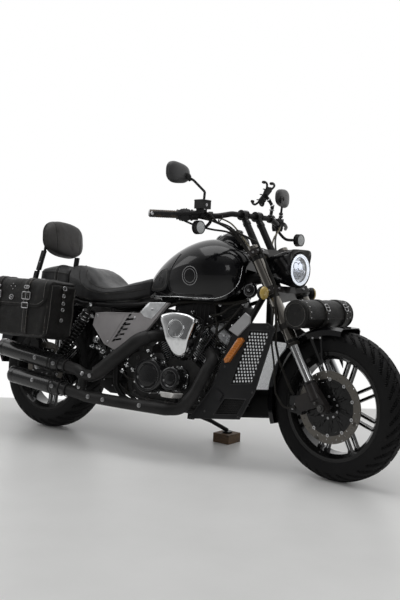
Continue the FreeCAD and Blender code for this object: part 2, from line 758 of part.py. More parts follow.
# ---------------------------------------------------------------- brake and sensor hoses
def in_fork(run):
    """A run given in the fork's own frame, brought into the motorcycle's."""
    return [tuple(FORK.multVec(point(*spot))) for spot in run]


master = [(bar_x - 30.4, -272, bar_z - 6), (bar_x - 8, -268, bar_z - 12),
          (bar_x + 8, -236, bar_z - 46), (bar_x + 40, -180, bar_z - 74)]
beside_leg = in_fork([(92, -122, 770), (94, -126, 560), (50, -141, 440), (-20, -128, 331),
                      (-44, -118, 268)])
hose = tube("hose", master + beside_leg + in_fork([(-62, -96, 150), (-62, -92, 113)]), 5, 30)
sensor_run = in_fork([(60, -150, 470), (10, -146, 400), (-34, -140, 331), (-60, -134, 268),
                      (-118, -130, 150), (-112, -122, 74), (-60, -116, 58)])
node("brake_hoses", together("brake_hoses", hose, tube("sensor_lead", sensor_run, 4, 40)),
     "steering")

# ---------------------------------------------------------------- tool roll
roll_n, roll_t = s.roll_forward, 380
roll = cylinder("roll", s.roll_radius, s.roll_half * 2, (roll_n, -s.roll_half, roll_t), (0, 1, 0))
straps = [box(f"roll_strap_{name}", (s.fork_offset + s.tube_radius + s.gap,
                                     side * s.leg_half - 12, roll_t - 12), (44, 24, 24))
          for name, side in SIDES]
node("tool_roll", fused("tool_roll", roll, *straps), "steering", FORK)

# ---------------------------------------------------------------- frame
spine_run = [(1192, 0, 838), (900, 0, 765), (650, 0, 692)]
head_low, head_high = s.clamp_low + s.clamp_thick, s.clamp_high
head_tube = turned("head_tube", [
    (s.stem_radius + s.bore_gap, head_low + s.gap), (s.head_radius + 4, head_low + s.gap),
    (s.head_radius + 4, head_low + 16), (s.head_radius, head_low + 20),
    (s.head_radius, head_high - 20), (s.head_radius + 4, head_high - 16),
    (s.head_radius + 4, head_high - s.gap), (s.stem_radius + s.bore_gap, head_high - s.gap)])
head_tube.Placement = FORK
stem_room = cylinder("stem_room", s.head_radius - 2, head_high - head_low, (0, 0, head_low))
stem_room.Placement = FORK * stem_room.Placement
spine = minus("spine", tube("spine_tube", spine_run, 27), stem_room)

down_run = [(1206, 26, 752), (1178, 96, 620), (1146, 106, 480), (1108, 106, 290),
            (1060, 106, 203), (556, 106, 203), (510, 127, 262), (488, 127, 420),
            (432, 121, 631)]
downs = [tube("down_right", mirror_y(down_run), s.frame_tube, 70),
         tube("down_left", down_run, s.frame_tube, 70)]
cross = [lateral("cross_front", 12, 1060, 203, -106, 106)]
for name, side in SIDES:
    cross.append(tube(f"peg_arm_{name}", [(905, side * 108, 203), (905, side * 192, 210),
                                          (905, side * 192, 257.7)], 9, 20))
    cross.append(lateral(f"pivot_boss_{name}", 30, s.pivot_x, s.pivot_z,
                         min(side * 106.3, side * 124), max(side * 106.3, side * 124)))
rail_run = [(646, 22, 690), (560, 96, 660), (430, 121, 648.4), (235, 121, 648.4),
            (70, 119, 680), (-110, 119, 742)]
rails = [tube("rail_right", mirror_y(rail_run), s.frame_tube - 1, 60),
         tube("rail_left", rail_run, s.frame_tube - 1, 60)]
bars = [lateral("rail_cross", 10, 560, 660, -96, 96), lateral("fender_cross", 8, 70, 680, -119, 119),
        lateral("rear_cross", 8, -106, 741, -119, 119)]
for name, side in SIDES:
    low = min(side * 121, side * 168)
    bars.append(lateral(f"shock_stud_{name}", 8, 322, 642, low, low + 47))
for x, z in ((1000, 800), (700, 716)):
    bars.append(cylinder(f"tank_rest_{x}", 12, 862 - s.gap - z, (x, 0, z)))
node("frame", fused("frame", head_tube, spine, *rails, *bars))

STAND_PIVOT = point(s.stand_pivot_x, s.stand_pivot_y, s.stand_pivot_z)
STAND_AXIS = Vector(0.55, 0.45, 0.7).normalize()
lug_low = tuple(STAND_PIVOT - STAND_AXIS * 23)
stand_pin = cylinder("stand_pin", s.stand_pin, 36, lug_low, tuple(STAND_AXIS))
lug = cylinder("stand_lug", 16, 11.7, lug_low, tuple(STAND_AXIS))
web = box("stand_web", (s.stand_pivot_x - 14, 98, 142), (28, 22, 56))
node("frame_cradle", fused("frame_cradle", *downs, *cross, stand_pin, lug, web))

# ---------------------------------------------------------------- tank and seat
tank_sections = [  # station, bottom half, bottom, widest half, widest height, top
    (s.tank_rear, 52, 702, 62, 742, 822), (690, 84, s.tank_bottom, 112, 796, 905),
    (800, 112, s.tank_bottom, 146, 846, 966), (930, 118, s.tank_bottom - 2, s.tank_half, 868,
                                               s.tank_top),
    (1030, 104, 712, 150, 860, 974), (1084, 78, 746, 113, 858, 940),
    (s.tank_front, 34, 800, 52, 854, 900),
]
sections = []
for station, foot, bottom, half, middle, top in tank_sections:
    sections.append((station, [
        (-foot, bottom), (foot, bottom, ((foot + half * 3) / 4, (bottom + middle) / 2)),
        (half, middle, (half * 0.72, middle + (top - middle) * 0.72)),
        (0, top, (-half * 0.72, middle + (top - middle) * 0.72)),
        (-half, middle, (-(foot + half * 3) / 4, (bottom + middle) / 2))]))
tank = lofted("tank_whole", "YZ", sections)
pod_sections = [(900, 20, 962, 20, 966, 972), (950, 40, 950, 44, 976, 994),
                (1000, 50, 940, 52, 984, 1009), (1052, 42, 900, 46, 956, 978),
                (1098, 30, 850, 34, 904, 932)]
pod = []
for station, foot, bottom, half, middle, top in pod_sections:
    pod.append((station, [(-foot, bottom), (foot, bottom), (half, middle, (half * 0.8, top - 8)),
                          (0, top, (-half * 0.8, top - 8)), (-half, middle)]))
node("tank_console", minus("tank_console", lofted("console", "YZ", pod), tank))
tunnel = box("tunnel", (560, -s.tunnel_half, 600), (700, s.tunnel_half * 2, 262))
node("fuel_tank", minus("fuel_tank", tank, tunnel))
seat_sections = [  # station, bottom half, bottom, widest half, widest height, top
    (s.tank_rear - s.gap, 58, 712, 66, 752, 798), (520, 96, 684, 112, 724, 772), (405, 132, s.seat_base + 4,
                                                              s.seat_half, 704, 742),
    (290, 134, s.seat_base, s.seat_half + 2, 716, 812), (215, 128, s.seat_base + 9, 144, 740, 838),
    (122, 112, 716, 126, 780, 838),
]
pillion_sections = [
    (112, 112, 683.7, 122, 780, 834), (20, 110, 708.3, 118, 790, 838),
    (-90, 108, 746.7, 109, 790, 816),
]


def cushion(label, table):
    found = []
    for station, foot, bottom, half, middle, top in table:
        rim_z = middle + (top - middle) * 0.86
        found.append((station, [
            (-foot, bottom), (foot, bottom), (half, middle, (half * 0.86, rim_z)),
            (0, top, (-half * 0.86, rim_z)), (-half, middle)]))
    return lofted(label, "YZ", found)


node("seat", together("seat", cushion("rider_seat", seat_sections),
                      cushion("pillion_seat", pillion_sections)))

# ---------------------------------------------------------------- engine
case = [(575, 262), (592, 232), (640, 217.3), (960, 217.3), (1012, 246, (1040, 300)),
        (1030, 372), (962, 446), (862, 420), (770, 446), (612, 440, (548, 380)), (556, 320)]


def cylinder_head(label):
    """A finned barrel and head, drawn with Z up the cylinder from the crankshaft."""
    body = new_body(label)
    top = s.barrel_base + s.fin_count * s.fin_pitch
    pad(body, "XY", [("circle", 0, 0, s.barrel_radius)], s.barrel_base, top - s.barrel_base)
    half, corner = s.fin_half, 26
    fin_outline = [(-half, corner - half, (8 - half, 8 - half)), (corner - half, -half),
                   (half - corner, -half, (half - 8, 8 - half)), (half, corner - half),
                   (half, half - corner, (half - 8, half - 8)), (half - corner, half),
                   (corner - half, half, (8 - half, half - 8)), (-half, half - corner)]
    fin = pad(body, "XY", [fin_outline], s.barrel_base + 6, s.fin_thick)
    row = body.newObject("PartDesign::LinearPattern", body.Name + "_fins")
    row.Originals = [fin]
    row.Direction = (fin.Profile[0], ["N_Axis"])
    row.Length = 1
    bind(row, "Length", (s.fin_count - 1) * s.fin_pitch)
    bind(row, "Occurrences", s.fin_count)
    body.Tip = row
    return body


def rocker_cover(label):
    """A rounded rocker cover with a raised crown."""
    body = new_body(label)
    low = s.barrel_base + s.fin_count * s.fin_pitch
    half = s.fin_half - 2
    base = [(-half, 18 - half), (18 - half, -half), (half - 18, -half), (half, 18 - half),
            (half, half - 18), (half - 18, half), (18 - half, half), (-half, half - 18)]
    pad(body, "XY", [base], low, 22)
    small = half - 14
    crown = [(-small, 16 - small), (16 - small, -small), (small - 16, -small),
             (small, 16 - small), (small, small - 16), (small - 16, small),
             (16 - small, small), (-small, small - 16)]
    pad(body, "XY", [crown], low + 22, 20)
    return body


CRANK = point(s.crank_x, 0, s.crank_z)
covers, barrels, decks = [], [], []
for name, tilt in (("rear", s.rear_tilt), ("front", s.front_tilt)):
    stand_up = Placement(CRANK, Rotation(Vector(0, 1, 0), float(tilt)))
    barrels.append(cylinder_head(f"cylinder_{name}"))
    barrels[-1].Placement = stand_up
    covers.append(rocker_cover(f"rocker_{name}"))
    covers[-1].Placement = stand_up
    decks.append(box(f"deck_{name}", (-s.fin_half - 30, -150, s.barrel_base),
                     (s.fin_half * 2 + 60, 300, 200)))
    decks[-1].Placement = stand_up * decks[-1].Placement
node("cylinders", together("cylinders", *barrels))
node("rocker_covers", together("rocker_covers", *covers))
block = slab("case", "XZ", [case], -s.case_half, s.case_half * 2)
belt_bay = box("belt_bay", (520, s.sprocket_place - 18, 262), (168, 36, 136))
pulley = lateral("pulley", s.pulley_radius, s.pulley_x, s.pulley_z, s.sprocket_place - 18,
                 s.sprocket_place + 18)
node("crankcase", minus("crankcase", block, *decks, minus("bay", belt_bay, pulley)))


def stepped_cover(label, x, z, radius, low, high, side):
    """A round engine cover: flange, step and a shallow dish."""
    made = turned(label, [(0, 0), (radius + 8, 0), (radius + 8, 14), (radius, 18),
                          (radius, high - low - 6), (radius - 6, high - low),
                          (radius - 16, high - low), (radius - 22, high - low - 5),
                          (0, high - low - 3)])
    made.Placement = aimed((x, side * low, z), (0, side, 0))
    return made


low = s.case_half
clutch = stepped_cover("clutch_cover", 728, 337, 76, low, s.cover_out, -1)
timing = stepped_cover("timing_cover", 856, 336, 52, low, s.cover_out + 6, -1)
timing_room = cylinder("timing_room", 60, 120, (856, -s.cover_out - 40, 336), (0, 1, 0))
clutch_cut = minus("clutch_cut", clutch, timing_room)
dynamo = stepped_cover("dynamo_cover", 856, 330, 92, low, s.cover_out - 20, 1)
front_case = [(600, 262), (680, 250), (700, 330), (680, 410), (600, 420), (570, 340)]
drive_cover = slab("drive_cover", "XZ", [front_case], -s.case_half - 34, 34)
node("engine_covers", together("engine_covers", clutch_cut, timing, dynamo, drive_cover))

# ---------------------------------------------------------------- air cleaner
cleaner = [(806, 622, (876, 636)), (948, 630, (984, 616)), (980, 584), (944, 470, (905, 432)),
           (860, 462), (800, 592, (798, 610))]
body = new_body("air_cleaner")
pad(body, "XZ", [cleaner], 168, 62)
ring_dent = [("circle", 893, 560, 44), ("circle", 893, 560, 36)]
pocket(body, "XZ", [ring_dent[0], ring_dent[1]], 227, 6)
node("air_cleaner", body)
throat = cylinder("throat", 34, 82, (884, -167.7, 545), (0, 1, 0))
boot = box("boot", (824.4, -85.7, 532), (91.3, 110, 54))
node("intake", fused("intake", throat, boot))

# ---------------------------------------------------------------- exhaust
side = -s.muffler_place
upper_run = [(742, -72.3, 528), (742, -112, 528), (716, -160, 520), (668, -206, 488), (582, side + 8, 398),
             (470, side, 302), (408, side, 304),
             (360, side, 324.7), (299.3, side, 332.4)]
lower_run = [(1008, -72.3, 470), (1008, -118, 470), (1046, -142, 446), (1034, -172, 390), (1004, -196, 290),
             (960, -222, 214), (880, side + 20, 203), (640, side + 8, 203), (440, side, 206),
             (380, side, 216.4), (321.3, side, 222.1)]
upper = tube("upper_pipe", upper_run, s.pipe_radius, 90)
lower = tube("lower_pipe", lower_run, s.pipe_radius, 80)
link = cylinder("crossover", 20, 80, (404, side, 215), (0, 0, 1))
node("exhaust_pipes", fused("exhaust_pipes", upper, lower, link))


def muffler(label, front, rear):
    """A muffler: cone, barrel, end ring and an open outlet."""
    long = (Vector(*[float(v) for v in rear]) - Vector(*[float(v) for v in front])).Length
    radius = s.muffler_radius
    made = turned(label, [(0, 0), (s.pipe_radius + 1, 0), (s.pipe_radius + 4, 30),
                          (radius, 74), (radius, long - 30), (radius - 3, long - 26),
                          (radius - 3, long), (radius - 9, long), (radius - 9, long - 60),
                          (0, long - 60)])
    made.Placement = aimed(front, tuple(Vector(*[float(v) for v in rear])
                                        - Vector(*[float(v) for v in front])))
    return made


node("mufflers", together("mufflers", muffler("muffler_upper", (299, side, 332.4),
                                              (-150, side, 389)),
                          muffler("muffler_lower", (321, side, 222.2), (-56, side, 259))))

# ---------------------------------------------------------------- cooling
core_run = [(1186, 330), (1217, 330), (1263, 556), (1232, 556)]
core = [slab("core", "XZ", [core_run], -128, 256)]
for name, side in SIDES:
    for x, y, z, long in ((1142.8, 104, 385, 58), (1175.4, 101, 540, 56)):
        core.append(cylinder(f"core_stay_{name}_{z}", 6, long, (x, side * y, z), (1, 0, 0)))
node("radiator", fused("radiator", *core))
plate = [(1232, 616), (1310, 622), (1344, 602), (1279, 330), (1218, 206), (965, 176), (1070, 330),
         (1144, 576)]
window = [(1224, 586), (1322, 590), (1261, 362), (1156, 346)]
low_window = [(1134, 284), (1240, 292), (1204, 222), (1088, 208)]
skins = []
for name, side in SIDES:
    pieces = [side_slab(f"shroud_skin_{name}", [plate, window, low_window],
                        s.shroud_half - s.shroud_skin, s.shroud_skin, side)]
    for x, z, start in ((1162, 550, 115.6), (1127, 385, 120.4), (1084, 246, 120.4)):
        long = s.shroud_half - 2 - start
        low = start if side > 0 else -start - long
        pieces.append(lateral(f"shroud_boss_{name}_{z}", 8, x, z, low, low + long))
    skins.append(fused(f"shroud_{name}", *pieces))
node("shrouds", together("shrouds", *skins))


def perforated(label, side):
    """The shroud's guard: a thin plate with staggered holes."""
    edge = [(1218, 594), (1330, 598), (1267, 354), (1150, 338)]
    low = s.shroud_half - s.shroud_skin - s.guard_thick
    body = side_slab(label, [edge], low, s.guard_thick, side)
    holes = []
    rows = 13
    for row in range(rows):
        z = 362 + row * float(s.hole_pitch)
        left = 1156 + (z - 346) * 0.285
        for column in range(6):
            x = left + 10 + (column + 0.5 * (row % 2)) * float(s.hole_pitch)
            if x < 1261 + (z - 362) * 0.268 - 8:
                holes.append([(x + float(s.hole_radius) * math.cos(math.radians(a)),
                               z + float(s.hole_radius) * math.sin(math.radians(a)))
                              for a in range(0, 360, 60)])
    start = low - 2 if side < 0 else -low - s.guard_thick - 2
    pocket(body, "XZ", holes, start, s.guard_thick + 4)
    return body


node("guards", together("guards", *[perforated(f"guard_{name}", side)
                                    for name, side in SIDES]))
trim = [(1198, 660), (1224, 646), (1226, 618), (1172, 556), (1124, 580)]
trim_right = slab("shroud_trim", "XZ", [trim], s.shroud_half + s.gap, 6)
node("shroud_trims", together("shroud_trims", trim_right, mirrored("trim_left", trim_right)))
amber = [(1196, 552), (1206, 540), (1144, 442), (1126, 436), (1118, 450), (1178, 548)]
amber_right = slab("amber", "XZ", [amber], s.shroud_half + s.gap, 14)
node("side_reflectors", together("side_reflectors", amber_right,
                                 mirrored("amber_left", amber_right)))
horn = turned("horn", [(0, 0), (16, 0), (18, 8), (30, 14), (30, 22), (0, 28)])
horn.Placement = aimed((1152, -46, 766), (0, -1, 0))
horn_stem = cylinder("horn_stem", 6, 46.2, (1152, -50, 772), (0, 47, 54))
node("horn", fused("horn_whole", horn, horn_stem))

# ---------------------------------------------------------------- rear end
arm = s.arm_half
arm_run = [(s.pivot_x, 86, s.pivot_z), (430, 88, 312), (320, arm, 303), (40, arm, 309),
           (-40, arm, 311)]
arms = [tube("arm_left", arm_run, 17, 60), tube("arm_right", mirror_y(arm_run), 17, 60)]
brace = lateral("arm_brace", 17, 400, 310, -92, 92)
pivot_tube = lateral("arm_pivot", 22, s.pivot_x, s.pivot_z, -106, 106)
arms.append(slab("caliper_plate", "XZ", [[(-66, 312), (-16, 312), (-44, 436), (-104, 446)]],
                 arm - 17, 8))
arms += [lateral(f"arm_stud_{name}", 8, 112, 309, min(side * 120, side * 168),
                 min(side * 120, side * 168) + 48) for name, side in SIDES]
axle_hole = lateral("axle_hole", s.axle_radius, 0, s.rear_radius, -200, 200)
node("swingarm", minus("swingarm", fused("swingarm_whole", *arms, brace, pivot_tube), axle_hole))


def belt_loop(big, small, apart, swell):
    """The outline round two pulleys: big at the origin, small at (apart[0], apart[1])."""
    centre = Vector(apart[0], apart[1], 0)
    tilt = math.atan2(centre.y, centre.x)
    open_angle = math.acos((big - small) / centre.Length)
    corners = []
    for radius, hub, turn in ((big, Vector(), 1), (small, centre, -1), (small, centre, 0),
                              (big, Vector(), 2)):
        sign = 1 if turn in (1, -1) else -1
        angle = tilt + sign * open_angle
        corners.append(hub + Vector(math.cos(angle), math.sin(angle), 0) * (radius + swell))
    nose = centre + Vector(math.cos(tilt), math.sin(tilt), 0) * (small + swell)
    tail = Vector(-math.cos(tilt), -math.sin(tilt), 0) * (big + swell)
    first, second, third, fourth = [(c.x, c.y) for c in corners]
    return [first, second + ((nose.x, nose.y),), third, fourth + ((tail.x, tail.y),)]


big, small = float(s.sprocket_radius + s.gap), float(s.pulley_radius + s.gap)
apart = (float(s.pulley_x), float(s.pulley_z - s.rear_radius))
belt = slab("drive_belt", "XZ", [belt_loop(big, small, apart, 4.5),
                                 belt_loop(big, small, apart, 0)],
            -s.sprocket_place - s.belt_wide / 2, s.belt_wide)
node("drive_belt", belt, local=Placement(REAR_AXLE, Rotation()))

shock_low, shock_high = point(112, -152, 309), point(322, -152, 642)
shocks = []
shock_long = (shock_high - shock_low).Length
for number, sign in enumerate((1, -1)):
    first_coil, last_coil = 84, shock_long - 84
    pitch = (last_coil - first_coil) / float(s.coil_count)
    profile = [(0, 0), (12, 0), (12, 70), (s.spring_radius, 74), (s.spring_radius, first_coil)]
    for coil in range(int(float(s.coil_count))):
        low = first_coil + coil * pitch
        profile += [(s.spring_radius - s.wire_radius * 2, low + pitch * 0.2),
                    (s.spring_radius - s.wire_radius * 2, low + pitch * 0.42),
                    (s.spring_radius, low + pitch * 0.6), (s.spring_radius, low + pitch)]
    profile += [(22, last_coil + 6), (22, shock_long - 34), (10, shock_long - 28),
                (10, shock_long), (0, shock_long)]
    made = turned(f"shock_rod_{number}", profile)
    foot = Vector(shock_low.x, sign * shock_low.y, shock_low.z)
    made.Placement = aimed(tuple(foot), tuple(shock_high - shock_low))
    eyes = [made]
    holes = []
    for end, spot in (("low", shock_low), ("high", shock_high)):
        start = -sign * 152 - 13
        eyes.append(lateral(f"eye_{end}_{number}", 15, spot.x, spot.z, start, start + 26))
        holes.append(lateral(f"eye_hole_{end}_{number}", 8 + s.gap, spot.x, spot.z, start - 9,
                             start + 35))
    shocks.append(minus(f"shock_{number}", fused(f"shock_whole_{number}", *eyes), *holes))
node("rear_shocks", together("rear_shocks", *shocks))
guard_end = s.rear_fender_front + s.rear_fender_sweep
rear_guard = fender("rear_guard", s.rear_fender_radius, s.rear_fender_half, 60,
                    s.rear_fender_sweep)
rear_guard.Placement = swung(REAR_WHEEL, guard_end)
tail = slab("tail", "XY", [[(s.rear_fender_radius + s.gap, -38), (s.rear_fender_radius + 22, -40),
                            (s.rear_fender_radius + 40, -20), (s.rear_fender_radius + 40, 26),
                            (s.rear_fender_radius + s.gap, 38)]], -52, 104)
tail.Placement = swung(REAR_WHEEL, 138)
lamps = [tail]
for name, side in SIDES:
    start = s.rear_fender_half + s.gap if side > 0 else -s.rear_fender_half - s.gap - 42
    lamps.append(fused(f"rear_turn_{name}", lateral(f"rear_stem_{name}", 7, -216, 548, start,
                                                    start + 42),
                       round_lamp(f"rear_lens_{name}", 27, 34, (-204, side * 150, 548),
                                  (-1, 0, 0))))
node("rear_lamps", together("rear_lamps", *lamps))
flap = [(-312.8, 452), (-331.5, 400), (-339.9, 360), (-341, 300), (-347, 300), (-372, 340),
        (-366, 450)]
posts = [cylinder("fender_post", 8, 30.7, (70, 0, 641)),
         cylinder("fender_post_rear", 8, 98.7, (-106, 0, 634))]
node("rear_fender", fused("rear_fender", rear_guard, slab("flap", "XZ", [flap], -62, 124),
                          *posts))

side_plate = [(359, 604), (420, 612), (621, 620), (676, 672), (786, 679), (590, 440), (535, 424),
              (431, 458), (348, 544)]
louvres = []
for number in range(5):
    x, z = 486 + number * 15, 478 + number * 25
    louvres.append([(x, z), (x + 46, z + 8), (x + 49, z + 18), (x + 3, z + 10)])
node("side_covers", together("side_covers", *[
    side_slab(f"side_cover_{name}", [side_plate] + louvres, 141.3, 18, side)
    for name, side in SIDES]))

# ---------------------------------------------------------------- luggage
back = s.bag_front - s.bag_length


def saddlebag(label, side):
    body = new_body(label)
    section = [(-s.bag_inner, s.bag_bottom + 6), (-s.bag_inner, s.bag_top - 6),
               (-s.bag_inner - 30, s.bag_top), (-s.bag_outer + 60, s.bag_top - 14,
                                                (-s.bag_outer + 18, s.bag_top - 30)),
               (-s.bag_outer, s.bag_top - 64), (-s.bag_outer, s.bag_bottom + 20),
               (-s.bag_outer + 20, s.bag_bottom), (-s.bag_inner - 6, s.bag_bottom)]
    if side > 0:
        section = [flipped(corner) for corner in section]
    pad(body, "YZ", [section], back, s.bag_length)
    return body


node("saddlebags", together("saddlebags", *[saddlebag(f"saddlebag_{name}", side)
                                            for name, side in SIDES]))
hangers = []
for number, (x, z, rail_out) in enumerate(((210, 653, 134.3), (-20, 711, 132.4))):
    for name, side in SIDES:
        low = min(side * rail_out, side * (s.bag_inner - s.gap))
        hangers.append(lateral(f"hanger_{number}_{name}", 7, x, z, low,
                               low + (s.bag_inner - s.gap - rail_out)))
upright = []
for sign in (-1, 1):
    run = [(-90, sign * s.sissy_half, 690), (-96, sign * s.sissy_half, 745),
           (-82, sign * s.sissy_half, 780), (-62, sign * 126, 900), (-66, sign * 112, 1004),
           (-66, sign * 70, 1018)]
    upright.append(tube(f"upright_{sign}", run, 7, 24))
bridge = lateral("bridge", 7, -66, 1018, -70, 70)
hoop = fused("hoop", *upright, bridge)
node("sissy_bar", together("sissy_bar", hoop, *hangers))
rest = [(-64, -92), (64, -92), (108, -60), (s.pad_half, 20), (92, 84), (40, 96), (-40, 96),
        (-92, 84), (-s.pad_half, 20), (-108, -60)]
rest_body = slab("backrest", "YZ", [rest], 0, 52)
node("backrest", rest_body, local=Placement(Vector(-53.9, 0, 984),
                                            Rotation(Vector(0, 1, 0), -8)))

# ---------------------------------------------------------------- foot controls
pegs = [box(f"peg_{name}", (866, -272 if side < 0 else 190, 258), (80, 82, 24))
        for name, side in SIDES]
node("footpegs", together("footpegs", *pegs))

# ---------------------------------------------------------------- stand
stand_foot = Vector(900, 296, 97.5)
GROUND_UP = Rotation(Vector(1, 0, 0), float(s.lean)).multVec(Vector(0, 0, 1))
leg = tube("stand_leg", [tuple(STAND_PIVOT), (850, 215, 138), tuple(stand_foot)], 10, 60)
shoe = cylinder("stand_shoe", 24, 8, tuple(stand_foot - GROUND_UP * 12), tuple(GROUND_UP))
eye = cylinder("stand_eye", 14, 22, tuple(STAND_PIVOT - STAND_AXIS * 11), tuple(STAND_AXIS))
eye_hole = cylinder("stand_eye_hole", s.stand_pin + s.bore_gap, 60,
                    tuple(STAND_PIVOT - STAND_AXIS * 30), tuple(STAND_AXIS))
node("side_stand", minus("side_stand", fused("stand_whole", leg, shoe, eye), eye_hole), "stand")

# two boards, one on the other, that the stand's foot rests on
board_place = Placement(point(s.block_x, s.block_y, 0), Rotation(Vector(0, 0, 1), -6))
boards = box("boards", (-s.block_side / 2, -s.block_side / 2, 0),
             (s.block_side, s.block_side, s.block_high))
node("stand_block", boards, "ground", board_place * boards.Placement)

# ---------------------------------------------------------------- stance
STEERED = Rotation(UPWARD, float(s.steer_turn))
STEER = Placement(STEER_BASE, Rotation()) * Placement(Vector(), STEERED) * Placement(
    -STEER_BASE, Rotation())
LEAN = Placement(Vector(), Rotation(Vector(1, 0, 0), -float(s.lean)))
turned_groups = ("steering", "front_wheel")

doc.recompute()
for label, made, group in nodes:
    stance = LEAN * STEER if group in turned_groups else LEAN
    if group != "ground":
        made.Placement = stance * made.Placement
doc.recompute()

# ---------------------------------------------------------------- the ground, and export
low_z = min(made.Shape.optimalBoundingBox(False, False).ZMin
            for label, made, group in nodes if label.endswith("tyre"))
boxes = [made.Shape.BoundBox for label, made, group in nodes]
middle_x = (min(b.XMin for b in boxes) + max(b.XMax for b in boxes)) / 2
middle_y = (min(b.YMin for b in boxes) + max(b.YMax for b in boxes)) / 2
ORIGIN = Placement(Vector(-middle_x, -middle_y, -low_z), Rotation())
FLOOR = Placement(Vector(-middle_x, -middle_y, 0), Rotation())
for label, made, group in nodes:
    made.Placement = (FLOOR if group == "ground" else ORIGIN) * made.Placement
doc.recompute()

for made in doc.Objects:
    if "Invalid" in made.State or "Error" in made.State:
        raise RuntimeError(f"{made.Name} didn't build")
os.makedirs("parts", exist_ok=True)
for label, made, group in nodes:
    if made.Shape.isNull() or not made.Shape.isValid():
        raise RuntimeError(f"{label} has no valid shape")
    made.Shape.exportStep(f"parts/{label}.step")
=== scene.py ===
"""Finishes and fine pieces for a cruiser motorcycle, built round its CAD frame.

The pieces are drawn in millimetres in the frames of the motorcycle itself: BIKE stands
upright with X ahead of the rear axle, Y left and Z up; BARS is the same frame turned with
the steering; FORK has Z up the steering axis; each hub frame has Z along its axle.
"""

import json
import math

import bmesh
import bpy
from mathutils import Matrix, Vector, noise
from mathutils.bvhtree import BVHTree


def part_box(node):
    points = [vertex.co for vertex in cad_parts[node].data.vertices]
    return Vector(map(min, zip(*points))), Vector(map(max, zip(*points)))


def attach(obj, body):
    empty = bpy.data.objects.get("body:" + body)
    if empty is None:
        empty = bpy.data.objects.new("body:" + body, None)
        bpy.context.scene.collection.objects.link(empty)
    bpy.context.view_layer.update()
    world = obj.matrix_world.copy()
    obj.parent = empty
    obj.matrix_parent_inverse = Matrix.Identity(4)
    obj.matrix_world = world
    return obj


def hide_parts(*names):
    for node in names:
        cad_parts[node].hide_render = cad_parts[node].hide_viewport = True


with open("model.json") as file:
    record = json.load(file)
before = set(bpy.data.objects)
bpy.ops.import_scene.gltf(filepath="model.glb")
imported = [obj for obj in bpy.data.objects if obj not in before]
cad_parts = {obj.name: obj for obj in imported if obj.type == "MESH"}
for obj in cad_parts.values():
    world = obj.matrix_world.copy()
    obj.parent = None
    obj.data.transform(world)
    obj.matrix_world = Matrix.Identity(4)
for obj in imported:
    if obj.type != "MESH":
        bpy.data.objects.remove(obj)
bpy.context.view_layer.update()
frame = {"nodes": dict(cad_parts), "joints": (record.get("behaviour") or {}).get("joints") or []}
scene = bpy.context.scene

# ---------------------------------------------------------------- frames of reference
MM = 0.001
WELD = 0.02 * MM
SHARP_EDGE = math.radians(34)
RAY_START = 500
RAKE = math.radians(31)
REAR_RADIUS, FRONT_RADIUS, WHEELBASE = 310, 312, 1600
STEER_FOOT = Vector((1545.14, 0, 279.04))
hinges = {joint["name"]: joint for joint in frame["joints"]}
# the creases come from this seed, so that every run draws the same ones
noise.seed_set(11)


def axes(x, y, z, origin):
    """A frame in millimetres with these axes, at an origin in the row frame."""
    made = Matrix((x, y, z)).transposed().to_4x4() @ Matrix.Scale(MM, 4)
    made.translation = origin
    return made


def shift(x, y, z):
    return Matrix.Translation((x, y, z))


def aimed(where, direction, spin=0.0):
    """A place whose Z points along a direction."""
    turn = Vector(direction).to_track_quat("Z", "Y").to_matrix().to_4x4()
    return shift(*where) @ turn @ Matrix.Rotation(math.radians(spin), 4, "Z")


def spun(number, count):
    """A turn about Z by so many parts of a whole turn."""
    return Matrix.Rotation(2 * math.pi * number / count, 4, "Z")


def upright(side, y):
    """A place for a flat form drawn in X and Z, which stands at a Y and faces a side."""
    return Matrix(((1, 0, 0, 0), (0, 0, side, y), (0, 1, 0, 0), (0, 0, 0, 1)))


def polar(angle):
    return math.cos(angle), math.sin(angle)


def circle(radius, count, height=0.0, flat=1.0):
    """Points round Z, nearer together along Y where it is flat."""
    return [(radius * math.cos(t), radius * flat * math.sin(t), height)
            for t in (2 * math.pi * k / count for k in range(count))]


def rounded(c, s, wide, tall, power):
    """How far a form with rounded corners reaches in the direction (c, s)."""
    return (abs(c / wide) ** power + abs(s / tall) ** power) ** (-1 / power)


rear_spin = hinges["rear_wheel_spin"]
front_spin = hinges["front_wheel_spin"]
left = Vector(rear_spin["axis"])
ahead = Vector((1, 0, 0))
BIKE = axes(ahead, left, ahead.cross(left), Vector(rear_spin["pos_m"])) @ shift(0, 0, -REAR_RADIUS)
steer_up = Vector(hinges["steering_turn"]["axis"])
steer_left = Vector(front_spin["axis"])
steer_out = steer_left.cross(steer_up)
FORK = axes(steer_out, steer_left, steer_up, Vector(front_spin["pos_m"])) @ shift(-64, 0, 0)
INTO_FORK = Matrix.Rotation(RAKE, 4, "Y")
INTO_BARS = shift(*STEER_FOOT) @ INTO_FORK.inverted()
BARS = FORK @ INTO_FORK @ shift(*-STEER_FOOT)
TO_AXLE = Matrix.Rotation(math.radians(-90), 4, "X")
REAR_HUB = BIKE @ shift(0, 0, REAR_RADIUS) @ TO_AXLE
FRONT_HUB = BARS @ shift(WHEELBASE, 0, FRONT_RADIUS) @ TO_AXLE
BAR = INTO_FORK.inverted() @ Vector((31, 0, 953)) + STEER_FOOT
SIDES = (("right", -1), ("left", 1))
CRANK = Vector((862, 0, 330))


